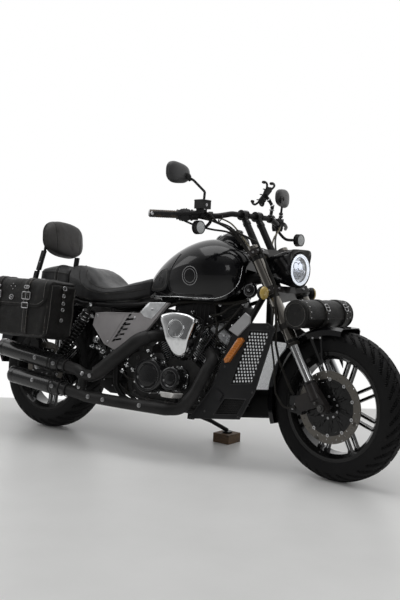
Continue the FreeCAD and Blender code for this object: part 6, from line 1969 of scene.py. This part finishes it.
cased([(756, 650), (850, 590), (960, 590), (990, 622), (984, 702), (950, 716), (756, 716)], 66,
      [((862, 700), (862, 604)), ((884, 702), (884, 602)), ((906, 702), (906, 602)),
       ((928, 702), (928, 606)), ((950, 700), (950, 614))])
cased([(996, 640), (1040, 622), (1112, 640), (1120, 690), (1090, 718), (1000, 712)], 52,
      [((1010, 654), (1104, 662)), ((1010, 674), (1104, 682)), ((1010, 694), (1096, 700))])
cased([(1010, 548), (1060, 520), (1140, 560), (1160, 618), (1100, 640), (1020, 616)], 40,
      [((1030, 560), (1030, 606)), ((1050, 548), (1050, 616)), ((1070, 544), (1070, 622)),
       ((1090, 552), (1090, 626)), ((1110, 562), (1110, 626))])
cased([(352, 250), (420, 222), (566, 226), (566, 470), (700, 600), (690, 660), (470, 600),
       (384, 480), (356, 380)], 62,
      [((450, 300), (548, 300)), ((446, 330), (548, 330)), ((440, 470), (560, 480)),
       ((470, 520), (580, 540))])
inner_boxes.done(30, bevel=3.0, slot="frame_black")
inner_ribs.done(40, slot="control_black")
inner_bolts.done(40, slot="axle_steel")
loom = on_bike("wiring_loom", HOSE)
for radius, run in ((9, [(700, -64, 660), (800, -74, 690), (900, -72, 700), (1040, -60, 700),
                         (1140, -40, 724)]),
                    (5, [(760, -70, 600), (840, -76, 586), (930, -76, 582), (1000, -62, 610),
                         (1090, -56, 650)]),
                    (7, [(470, -70, 520), (520, -74, 440), (560, -80, 330), (548, -96, 250),
                         (620, -110, 214)]),
                    (5, [(440, -66, 350), (480, -76, 292), (520, -82, 262), (600, -100, 240)]),
                    (4, [(980, -66, 690), (1000, -84, 640), (1020, -92, 570), (1030, -110, 500)])):
    loom.add(pipe(flowing(run, 8), radius, 12))
    loom.add(pipe(flowing([(x, -y, z) for x, y, z in run], 8), radius, 12))
loom.done(50, slot="hose_black")
fittings = on_bike("frame_fittings", CHROME)
for x, y, z, way, size in ((468, -72, 452, (0, -1, 0.2), 13), (426, -68, 428, (-0.3, -1, 0), 10),
                           (520, -76, 402, (0.2, -1, 0), 11), (548, -70, 320, (0, -1, 0), 12),
                           (480, -70, 276, (0, -1, 0), 10), (1084, -56, 600, (0, -1, 0.2), 9),
                           (1010, -70, 690, (0.2, -1, 0), 7), (872, -74, 650, (0, -1, 0), 8),
                           (352, -126, 474, (0.2, -1, 0.3), 18), (376, -122, 438, (0, -1, 0), 14),
                           (340, -128, 440, (-0.3, -1, 0), 12), (404, -124, 418, (0.3, -1, 0), 13),
                           (424, -122, 396, (0, -1, -0.2), 10)):
    place = aimed((x, y, z), way)
    fittings.add(lathe([(size * 0.7, -12), (size * 0.7, 0), (size, 1), (size, 9), (size * 0.6, 11),
                        (size * 0.5, 18), (0, 19)], 24), place)
fittings.done(36, slot="chrome")

# ---------------------------------------------------------------- air cleaner
shield = on_bike("air_cleaner_shield", CHROME)
CLEANER = [(806, 622), (840, 632), (876, 636), (912, 635), (948, 630), (976, 617), (984, 602),
           (978, 574), (966, 538), (955, 500), (944, 470), (934, 452), (914, 438), (896, 436),
           (876, 444), (860, 462), (842, 500), (826, 538), (811, 572), (800, 592), (797, 604),
           (798, 614)]
HEART = (889, 556)


def cleaner_ring(grow, y):
    """The shield's outline shrunk towards its middle; the lower third leans inward."""
    found = []
    for p in flowing([(x, 0, z) for x, z in CLEANER], 4, True):
        x = HEART[0] + (p.x - HEART[0]) * grow
        z = HEART[1] + (p.z - HEART[1]) * grow
        lean = max(0.0, 512 - z) * 0.42
        found.append((x, -(y - lean) if y > 190 else -y, z))
    return found


shield.add(loft([cleaner_ring(1.0, 172), cleaner_ring(1.012, 196), cleaner_ring(1.0, 220),
                 cleaner_ring(0.975, 229), cleaner_ring(0.94, 233), cleaner_ring(0.88, 235.4),
                 cleaner_ring(0.7, 237), cleaner_ring(0.45, 238), cleaner_ring(0.2, 238.4),
                 cleaner_ring(0.03, 238.6)]))
shield.done(42, stands_for=["air_cleaner"], slot="chrome")
cleaner_rim = on_bike("air_cleaner_rings", CHROME)
face_of = aimed((893, -238.2, 562), (0, -1, 0))
cleaner_rim.add(ring([(43, -3), (43.6, 1.6), (40.5, 2.6), (38, 1.6), (37.6, -3)], 96), face_of)
cleaner_rim.add(ring([(33, -3), (33, 0.8), (31.6, 0.8), (31.6, -3)], 96), face_of)
for x, z in ((824, 612), (956, 610), (897, 452)):
    out = 229 - max(0, 512 - z) * 0.42
    cleaner_rim.add(bolt(4.6, 3, "dome"), aimed((x, -out, z), (0, -1, 0)))
cleaner_rim.done(40, slot="chrome")
cleaner_back = on_bike("air_cleaner_backplate", PLASTIC)
cleaner_back.add(loft([cleaner_ring(0.985, 150), cleaner_ring(0.985, 173)]))
cleaner_back.done(40, slot="engine_black")


# ---------------------------------------------------------------- exhaust
PIPE_SKIN = Skin(BIKE, frame["nodes"]["exhaust_pipes"], frame["nodes"]["mufflers"])
bands = on_bike("exhaust_clamps", PIPE_BLACK)
shield_bolts = on_bike("exhaust_bolts", STEEL)
tips = on_bike("muffler_tips", MUFFLER_BLACK)
PIPE_Y = 253
for front, rear in (((299, -PIPE_Y, 332.4), (-150, -PIPE_Y, 389)),
                    ((321, -PIPE_Y, 222.2), (-56, -PIPE_Y, 259))):
    barrel = aimed(front, Vector(rear) - Vector(front))
    long = (Vector(rear) - Vector(front)).length
    for z, radius in ((2, 32.5), (40, 37.5), (78, 42.4), (96, 42.4)):
        bands.add(ring([(radius - 1.4, z - 5), (radius + 1.2, z - 4), (radius + 1.2, z + 4),
                        (radius - 1.4, z + 5)], 64), barrel)
    tips.add(ring([(42.4, long - 34), (43, long - 30), (43, long - 8), (41.5, long - 2),
                   (38, long + 2), (33.4, long + 1), (33, long - 20), (41, long - 33)], 72),
             barrel)
    tips.add(ring([(30, long - 50), (32.6, long - 50), (32.6, long - 6), (30, long - 6)], 48),
             barrel)
    for angle in range(0, 360, 60):
        c, s = polar(math.radians(angle))
        spot = aimed((38 * c, 38 * s, long - 0.6), (c * 0.2, s * 0.2, 1))
        shield_bolts.add(bolt(3, 2.4), barrel @ spot)
    seam = [barrel @ Vector((0, 42.6, z)) for z in range(90, int(long) - 34, 20)]
    bands.add(pipe(seam, 1.4, 6))
bands.add(ring([(21, -6), (23.4, -5), (23.4, 5), (21, 6)], 40), shift(404, -PIPE_Y, 255))
bands.done(40, slot="exhaust_black")
tips.done(34, slot="exhaust_black")
for x, z in ((648, 470), (604, 424), (466, 306), (420, 310), (556, 205), (760, 205), (470, 208),
             (240, 340), (120, 356), (250, 232), (120, 246), (402, 246)):
    spots, faces = PIPE_SKIN.lay([(x, -500, z)], (0, 1, 0))
    for spot, face in zip(spots, faces):
        shield_bolts.add(lathe([(10, -1), (10, 1.4), (7, 2)], 24), aimed(spot, face))
        shield_bolts.add(bolt(5, 5), aimed(spot + face * 1.6, face))
shield_bolts.done(34, slot="axle_steel")
heat = on_bike("exhaust_heat_shield", PIPE_BLACK)
path = flowing([(700, -174, 512), (668, -206, 488), (625, -226, 443), (582, -246, 399),
                (530, -250, 353), (490, -253, 322)], 8)
rings = []
for i, p in enumerate(path):
    along = (path[min(i + 1, len(path) - 1)] - path[max(i - 1, 0)]).normalized()
    out = Vector((0, -1, 0))
    out = (out - along * out.dot(along)).normalized()
    up = along.cross(out)
    rings.append([p + (out * math.cos(a) + up * math.sin(a)) * 33.6 for a in
                  [math.radians(t) for t in range(-88, 89, 11)]])
heat.add(sheet_of(rings))
heat.done(60, thick=1.6, slot="exhaust_black")

# ---------------------------------------------------------------- radiator guards
SHROUD_Y = 158
guard = on_bike("pierced_guards", MESH_BLACK)
# the radiator face and the fins below glow with painted light from their finish
core_plates = on_bike("radiator_face", CORE_PAINTED_GLOW)
corners = [Vector((1150, 338)), Vector((1267, 354)), Vector((1330, 598)), Vector((1218, 594))]


def on_guard(u, v):
    low = corners[0].lerp(corners[1], u)
    high = corners[3].lerp(corners[2], u)
    return low.lerp(high, v)


ROWS, HOLES = 18, 8
for side in (-1, 1):
    for row in range(ROWS):
        v0, v1 = row / ROWS, (row + 1) / ROWS
        offset = 0.5 / HOLES * (row % 2)
        marks = [0.0] + [offset + k / HOLES for k in range(0 if offset else 1, HOLES)] + [1.0]
        marks = sorted(set(marks))
        for u0, u1 in zip(marks, marks[1:]):
            cell = [on_guard(u0, v0), on_guard(u1, v0), on_guard(u1, v1), on_guard(u0, v1)]
            flat = [(p.x, p.y) for p in cell]
            middle = on_guard((u0 + u1) / 2, (v0 + v1) / 2)
            border = row in (0, ROWS - 1) or u0 == 0 or u1 == 1
            turned_plate = upright(side, side * (SHROUD_Y - 3))
            if border:
                guard.add(prism(flat, -1, 1), turned_plate)
            else:
                guard.add(pierced_cell(flat, (middle.x, middle.y), 5.0, -1, 1), turned_plate)
    back = [on_guard(0.04, 0.03), on_guard(0.96, 0.03), on_guard(0.96, 0.97), on_guard(0.04, 0.97)]
    core_plates.add(prism([(p.x, p.y) for p in back], -0.6, 0.6),
                    upright(side, side * (SHROUD_Y - 12)))
liners = on_bike("radiator_shroud_liners", MESH_BLACK)
for side in (-1, 1):
    for outline, y in ((back, SHROUD_Y - 14),
                       ([(1084, 204), (1208, 216), (1250, 300), (1128, 294)], SHROUD_Y - 22)):
        liners.add(prism([(p[0], p[1]) for p in outline], -0.8, 0.8),
                   upright(side, side * y))
liners.done(20, slot="mesh_black")
guard.done(20, stands_for=["guards"], slot="mesh_black")
core_plates.done(20, slot="radiator_black")
vents = on_bike("lower_vent_mesh", MESH_BLACK)
LOW = [Vector((1088, 208)), Vector((1204, 222)), Vector((1240, 292)), Vector((1134, 284))]
for side in (-1, 1):
    for k in range(1, 12):
        a, b = LOW[0].lerp(LOW[1], k / 12), LOW[3].lerp(LOW[2], k / 12)
        vents.add(pipe([(a.x, side * 155, a.y), (b.x, side * 155, b.y)], 1.5, 6))
    for k in range(1, 7):
        a, b = LOW[0].lerp(LOW[3], k / 7), LOW[1].lerp(LOW[2], k / 7)
        vents.add(pipe([(a.x, side * 155, a.y), (b.x, side * 155, b.y)], 1.5, 6))
vents.done(40, slot="mesh_black")
core_rows = on_bike("radiator_core", CORE_PAINTED_GLOW)
for y in range(-120, 121, 10):
    core_rows.add(prism([(1211, 334), (1219.4, 334), (1264.6, 552), (1256, 552)], -2.4, 2.4),
                  upright(1, y))
core_rows.done(30, slot="radiator_black")
frames = on_bike("shroud_edges", GREY_TRIM)
shroud_bolts = on_bike("shroud_bolts", BOLT_BLACK)
for side in (-1, 1):
    for loop in ([(1224, 586), (1322, 590), (1261, 362), (1156, 346)],
                 [(1134, 284), (1240, 292), (1204, 222), (1088, 208)],
                 [(1232, 616), (1310, 622), (1344, 602), (1279, 330), (1218, 206), (965, 176),
                  (1070, 330), (1144, 576)]):
        corners = [Vector((x, side * 159.4, z)) for x, z in loop]
        dense = [a.lerp(b, t) for a, b in zip(corners, corners[1:] + corners[:1])
                 for t in (0.05, 0.5, 0.95)]
        frames.add(pipe(flowing(dense, 3, True), 2.4, 8, closed=True))
    for x, z in ((1170, 572), (1310, 606), (1268, 324), (1108, 300), (1040, 216), (1210, 212),
                 (1120, 420)):
        shroud_bolts.add(bolt(5.4, 3.4, "dome"), aimed((x, side * 160, z), (0, side, 0)))
    frames.add(loft([[(x, side * y, z) for x, z in ((1096, 320), (1128, 300), (1112, 268),
                                                   (1080, 286))] for y in (158, 165, 168)]))
frames.done(50, slot="shroud_grey")
shroud_bolts.done(40, slot="shroud_grey")
amber_ribs = on_bike("reflector_frames", AMBER)
pale = on_bike("shroud_pale_trims", PALE_GREY)
for side in (-1, 1):
    outline = [(1196, 552), (1206, 540), (1144, 442), (1126, 436), (1118, 450), (1178, 548)]
    amber_ribs.add(stepped(outline, Vector((1162, 494)), (
        (1.0, 173.6), (0.96, 177), (0.8, 178.6), (0.5, 179.4)), side))
    outline = [(1198, 660), (1224, 646), (1226, 618), (1172, 556), (1124, 580)]
    pale.add(stepped(outline, Vector((1188, 612)), (
        (1.0, 166), (1.0, 169), (0.95, 171.4), (0.6, 172)), side))
amber_ribs.done(30, slot="amber_lens")
pale.done(30, bevel=1.0, slot="trim_grey")
horn_rings = on_bike("horn_face", GLOSS)
horn_at = aimed((1152, -46, 766), (0, -1, 0))
horn_rings.add(lathe([(14, -1), (19, 6), (31, 12), (34, 14), (34, 22), (31, 25), (24, 26),
                      (20, 29), (10, 30), (0, 30)], 56), horn_at)
horn_rings.done(36, slot="chrome")
horn_nut = on_bike("horn_nut", CHROME)
horn_nut.add(bolt(7, 7, "hex"), horn_at @ shift(0, 0, 30))
horn_nut.add(ring([(24, 25), (25, 27), (27, 27), (28, 25)], 56), horn_at)
horn_nut.done(36, slot="chrome")

# ---------------------------------------------------------------- side covers
cover_lines = on_bike("side_cover_ridges", COVER_GREY)
cover_dark = on_bike("side_cover_vents", MESH_BLACK)
cover_plates = on_bike("side_cover_plates", SILVER)
cover_screws = on_bike("side_cover_screws", STEEL)
OUTER = 159.3
for side in (-1, 1):
    for edge in ([(540, 604), (492, 520), (452, 462)], [(621, 618), (430, 610), (364, 602),
                                                        (352, 546), (432, 462)]):
        corners = [Vector((x, side * OUTER, z)) for x, z in edge]
        dense = [a.lerp(b, t) for a, b in zip(corners, corners[1:]) for t in (0.0, 0.3, 0.6, 0.9)]
        dense.append(corners[-1])
        cover_lines.add(pipe(dense, 2.6, 8, flat=0.9))
    for number in range(7):
        x, z = 478 + number * 13.4, 472 + number * 21
        slot_form = [(x, z), (x + 15, z + 4), (x + 24, z + 19), (x + 9, z + 15)]
        cover_dark.add(prism([(p[0], p[1]) for p in slot_form], -0.6, 1.2),
                       upright(side, side * OUTER))
        cover_lines.add(pipe([(x + 22, side * (OUTER + 1), z + 17), (x + 34, side * (OUTER + 1),
                                                                    z + 20)], 1.6, 6))
    plate_line = [(626, 624), (660, 664), (676, 676), (776, 682), (742, 642), (700, 596),
                  (652, 604)]
    cover_plates.add(stepped(plate_line, Vector((700, 642)), (
        (0.94, OUTER - 2), (0.94, OUTER + 2.4), (0.88, OUTER + 4), (0.5, OUTER + 4.2)), side))
    for x, z in ((700, 642), (452, 470), (600, 596), (372, 590)):
        cover_screws.add(bolt(7, 4, "dome"), aimed((x, side * (OUTER + (4 if x == 700 else 0)), z),
                                                  (0, side, 0)))
cover_lines.done(50, slot="cover_grey")
cover_dark.done(30, slot="mesh_black")
cover_plates.done(40, bevel=0.8, slot="cover_grey")
cover_screws.done(40, slot="axle_steel")

# ---------------------------------------------------------------- rear shocks
springs = on_bike("shock_springs", WHEEL_BLACK)
bodies = on_bike("shock_bodies", SATIN)
shafts = on_bike("shock_shafts", HARD_CHROME)
shock_caps = on_bike("shock_collars", CHROME)
for side in (-1, 1):
    foot, head = Vector((112, side * 152, 309)), Vector((322, side * 152, 642))
    way = head - foot
    long = way.length
    line = aimed(foot, way)
    coil = []
    turns = 12
    for k in range(turns * 20 + 1):
        angle = 2 * math.pi * k / 20
        coil.append((24.5 * math.cos(angle), 24.5 * math.sin(angle),
                     82 + (long - 166) * k / (turns * 20)))
    springs.add(pipe(coil, 5.0, 10), line)
    bodies.add(lathe([(12, 12), (12, 62), (20, 66), (29.5, 72), (29.5, 78), (14, 80), (14, 160),
                      (17, 162), (17, long - 90), (29.5, long - 84), (29.5, long - 76),
                      (23, long - 70), (23, long - 38), (12, long - 30), (10, long - 12)], 40),
               line)
    shafts.add(lathe([(8, 60), (8, 200)], 24), line)
    for z, radius in ((70, 30.4), (82, 27), (long - 80, 30.4), (long - 66, 24.5), (long - 44, 24)):
        shock_caps.add(ring([(radius - 3, z - 1.6), (radius, z - 1), (radius, z + 1),
                             (radius - 3, z + 1.6)], 48), line)
    for spot in (foot, head):
        eye = aimed(spot, (0, side, 0))
        bodies.add(band(8.4, 15, 0, 13, 40), eye)
        shock_caps.add(bolt(9, 8, "hex"), eye @ shift(0, 0, 16))
        shock_caps.add(ring([(7, 13), (14, 13), (14, 15.5), (7, 15.5)], 32), eye)
springs.done(60, slot="frame_black")
bodies.done(36, stands_for=["rear_shocks"], slot="frame_black")
shafts.done(60, slot="stanchion_chrome")
shock_caps.done(36, slot="axle_steel")

# ---------------------------------------------------------------- footpegs and stand
peg_metal = on_bike("footpeg_bodies", PEG_METAL)
peg_pads = on_bike("footpeg_rubbers", HOSE)
for side in (-1, 1):
    rows = []
    for y, grow in ((188, 0.62), (196, 0.95), (204, 1.0), (262, 1.0), (272, 0.95), (275, 0.8)):
        rows.append([(906 + x * grow, side * y, 270 + z * grow) for x, z in (
            (-40, 8), (-36, 12), (36, 12), (40, 8), (30, -9), (24, -12), (-24, -12), (-30, -9))])
    peg_metal.add(loft(rows))
    peg_metal.add(lathe([(7, 0), (10, 2), (10, 20), (8, 22)], 24),
                  aimed((906, side * 178, 262), (0, side, 0)))
    for k in range(5):
        x = 880 + k * 13
        peg_pads.add(loft([[(x + dx * w, side * y, z) for dx, y in ((-3.6, 204), (3.6, 204),
                                                                   (3.6, 264), (-3.6, 264))]
                           for w, z in ((1, 281.5), (1, 284), (0.7, 285.4))]))
peg_metal.done(30, bevel=1.2, stands_for=["footpegs"], slot="peg_metal")
peg_pads.done(30, bevel=0.6, slot="hose_black")
spring = Piece("stand_spring", "stand", BIKE, STEEL)
coil = []
start, end = Vector((806, 160, 156)), Vector((858, 226, 142))
place = aimed(start, end - start)
span = (end - start).length
for k in range(12 * 12 + 1):
    angle = 2 * math.pi * k / 12
    coil.append((6.5 * math.cos(angle) + 15, 6.5 * math.sin(angle),
                 span * (0.14 + 0.72 * k / 144)))
spring.add(pipe(coil, 1.5, 6), place)
spring.add(pipe([(15, 0, span * 0.1), (10, 0, 0)], 1.6, 6), place)
spring.add(pipe([(15, 0, span * 0.88), (9, 0, span)], 1.6, 6), place)
spring.done(50, slot="axle_steel")

# ---------------------------------------------------------------- rear brake, axle and lamps
rear_skin = Skin(BIKE, frame["nodes"]["rear_caliper"])
low, high = [BIKE.inverted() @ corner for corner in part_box("rear_caliper")]
middle = (low + high) / 2
rear_bolts = on_bike("rear_caliper_bolts", STEEL)
for along in (-18, 18):
    rear_bolts.stud(bolt(5, 5, "hex"), rear_skin, [
        (middle.x + along * 0.7, -400, middle.z + along * 0.6)], (0, 1, 0))
for side in (-1, 1):
    axle_end = aimed((0, side * 146, REAR_RADIUS), (0, side, 0))
    rear_bolts.add(lathe([(18, 0), (18, 3), (13, 4)], 32), axle_end)
    rear_bolts.add(bolt(12, 10, "hex"), axle_end @ shift(0, 0, 3))
rear_bolts.done(34, slot="axle_steel")
lamp_skin = Skin(BIKE, frame["nodes"]["rear_lamps"])
tail_ribs = on_bike("tail_lamp_ribs", RED)
turn = math.radians(138)
for k in range(-4, 5):
    outward = Vector((math.cos(turn), 0, math.sin(turn)))
    upward_way = Vector((-math.sin(turn), 0, math.cos(turn)))
    start = Vector((0, 0, REAR_RADIUS)) + outward * RAY_START + upward_way * (k * 5)
    spots, faces = lamp_skin.lay([start + Vector((0, y, 0)) for y in range(-46, 47, 4)],
                                 -outward, 0.2)
    if len(spots) > 3:
        tail_ribs.add(pipe(spots, 1.5, 6))
tail_ribs.done(50, slot="red_lens")


# ---------------------------------------------------------------- finishes of the frame's parts
slot_finish = {
    "tyre": TYRE, "wheel_black": WHEEL_BLACK, "disc_steel": DISC, "belt_rubber": BELT,
    "axle_steel": STEEL, "fork_black": FORK_PAINT, "stanchion_chrome": HARD_CHROME,
    "frame_black": SATIN, "caliper_black": CALIPER, "fender_black": GLOSS, "tank_black": GLOSS,
    "lamp_shell_black": SATIN, "lamp_glass": LENS, "bar_black": SATIN, "grip_rubber": GRIP,
    "control_black": PLASTIC, "mirror_black": MIRROR_SHELL, "fog_lens": FOG_LENS,
    "amber_lens": AMBER, "red_lens": RED, "holder_black": PLASTIC, "hose_black": HOSE,
    "leather_black": BAG_HIDE, "seat_leather": SEAT_VINYL, "engine_black": ENGINE_GLOSS,
    "fin_black": FIN_BLACK, "chrome": CHROME, "exhaust_black": PIPE_BLACK,
    "radiator_black": SATIN, "shroud_grey": GREY_TRIM, "mesh_black": MESH_BLACK,
    "cover_grey": COVER_GREY, "trim_grey": GREY_TRIM, "peg_metal": PEG_METAL,
    "board_wood": BOARD}
node_finish = {
    "rocker_covers": SILVER, "crankcase": ENGINE_CAST, "intake": CHROME,
    "mufflers": MUFFLER_BLACK, "swingarm": SATIN, "rear_shocks": SATIN,
    "front_indicators": GOLD, "horn": GLOSS, "fork_tubes": FORK_TUBE,
    "shroud_trims": PALE_GREY}
for node, shown in frame["nodes"].items():
    for part in shown.material_slots:
        kind = part.material.name.split(".")[0]
        part.material = node_finish.get(node) or slot_finish[kind]

# ---------------------------------------------------------------- camera
eye = bpy.data.cameras.new("eye")
eye.lens, eye.sensor_width = 47.786, 36
camera = bpy.data.objects.new("eye", eye)
scene.collection.objects.link(camera)
to_right = Vector((0.83649735, 0.54712914, 0.03036249))
to_top = Vector((-0.05866313, 0.03432328, 0.9976876))
ahead_of_eye = Vector((-0.54482182, 0.83634419, -0.06080764))
camera.matrix_world = Matrix((to_right, to_top, -ahead_of_eye)).transposed().to_4x4()
camera.matrix_world.translation = BIKE.translation + Vector((2.89787, -3.04359, 0.93408))
scene.camera = camera
scene.view_settings.view_transform = "Standard"

# ---------------------------------------------------------------- floor
FAR = Vector((ahead_of_eye.x, ahead_of_eye.y, 0)).normalized()
WALL_REACH = 4.85
floor_mesh = bpy.data.meshes.new("floor")
floor_mesh.from_pydata([(-9, -9, 0), (9, -9, 0), (9, 9, 0), (-9, 9, 0)], [], [(0, 1, 2, 3)])
floor = bpy.data.objects.new("floor", floor_mesh)
scene.collection.objects.link(floor)
f = Finish("studio_floor")
far_off = f.node("ShaderNodeVectorMath", {"operation": "DOT_PRODUCT"},
                 {0: f.place, 1: tuple(FAR)}, out="Value")
line_at = camera.matrix_world.translation.dot(FAR) + WALL_REACH
beyond = far_off.between(line_at, line_at + 0.03)
seen = f.node("ShaderNodeLightPath", out="Is Camera Ray")
soil = f.clouds(3, 4)
f.set(Base_Color=f.mix(soil.between(0.3, 0.7), (0.8, 0.8, 0.79), (0.84, 0.84, 0.83)))
f.set(Roughness=soil * 0.1 + 0.3, Specular_IOR_Level=0.25)
white = f.node("ShaderNodeEmission", {}, {"Color": (1, 1, 1, 1), "Strength": 1.0})
both = f.node("ShaderNodeMixShader", {}, {
    0: beyond * seen, 1: Value(f, f.shader.outputs[0]), 2: white})
f.tree.links.new(both.socket, f.tree.nodes["Material Output"].inputs["Surface"])
floor_mesh.materials.append(f.done())

# ---------------------------------------------------------------- light
world = bpy.data.worlds.new("studio")
world.use_nodes = True
scene.world = world
sky = Nodes(world.node_tree)
direction = sky.node("ShaderNodeTexCoord", out="Generated")
away = sky.node("ShaderNodeVectorMath", {"operation": "DOT_PRODUCT"},
                {0: direction, 1: tuple(FAR)}, out="Value")
upward = sky.node("ShaderNodeSeparateXYZ", {}, {"Vector": direction}, out="Z")
camera_ray = sky.node("ShaderNodeLightPath", out="Is Camera Ray")
mirror_ray = sky.node("ShaderNodeLightPath", out="Is Glossy Ray")
through_ray = sky.node("ShaderNodeLightPath", out="Is Transmission Ray")
room = away.between(-0.4, 0.6, 0.1, 0.95) + upward.between(0.55, 0.95, 0.0, 0.35)
direct = (mirror_ray + through_ray).between(0, 1)
level = direct * room + (1.0 - direct) * 0.42
strength = camera_ray + (1.0 - camera_ray) * level
background = world.node_tree.nodes["Background"]
background.inputs["Color"].default_value = (1, 1, 1, 1)
world.node_tree.links.new(strength.socket, background.inputs["Strength"])


def softbox(name, where, aim, wide, high, power):
    lamp = bpy.data.lights.new(name, "AREA")
    lamp.shape, lamp.size, lamp.size_y, lamp.energy = "RECTANGLE", wide, high, power
    held = bpy.data.objects.new(name, lamp)
    scene.collection.objects.link(held)
    held.location = Vector(where)
    held.rotation_euler = (Vector(aim) - Vector(where)).to_track_quat("-Z", "Y").to_euler()


softbox("overhead_soft", (0.1, -0.3, 3.1), (0, 0, 0.6), 3.4, 1.8, 34)
softbox("side_soft", (2.6, -2.6, 1.9), (0.1, 0, 0.6), 0.9, 1.6, 10)
softbox("rear_soft", (-2.6, -1.6, 2.2), (-0.2, 0, 0.6), 1.0, 1.6, 8)
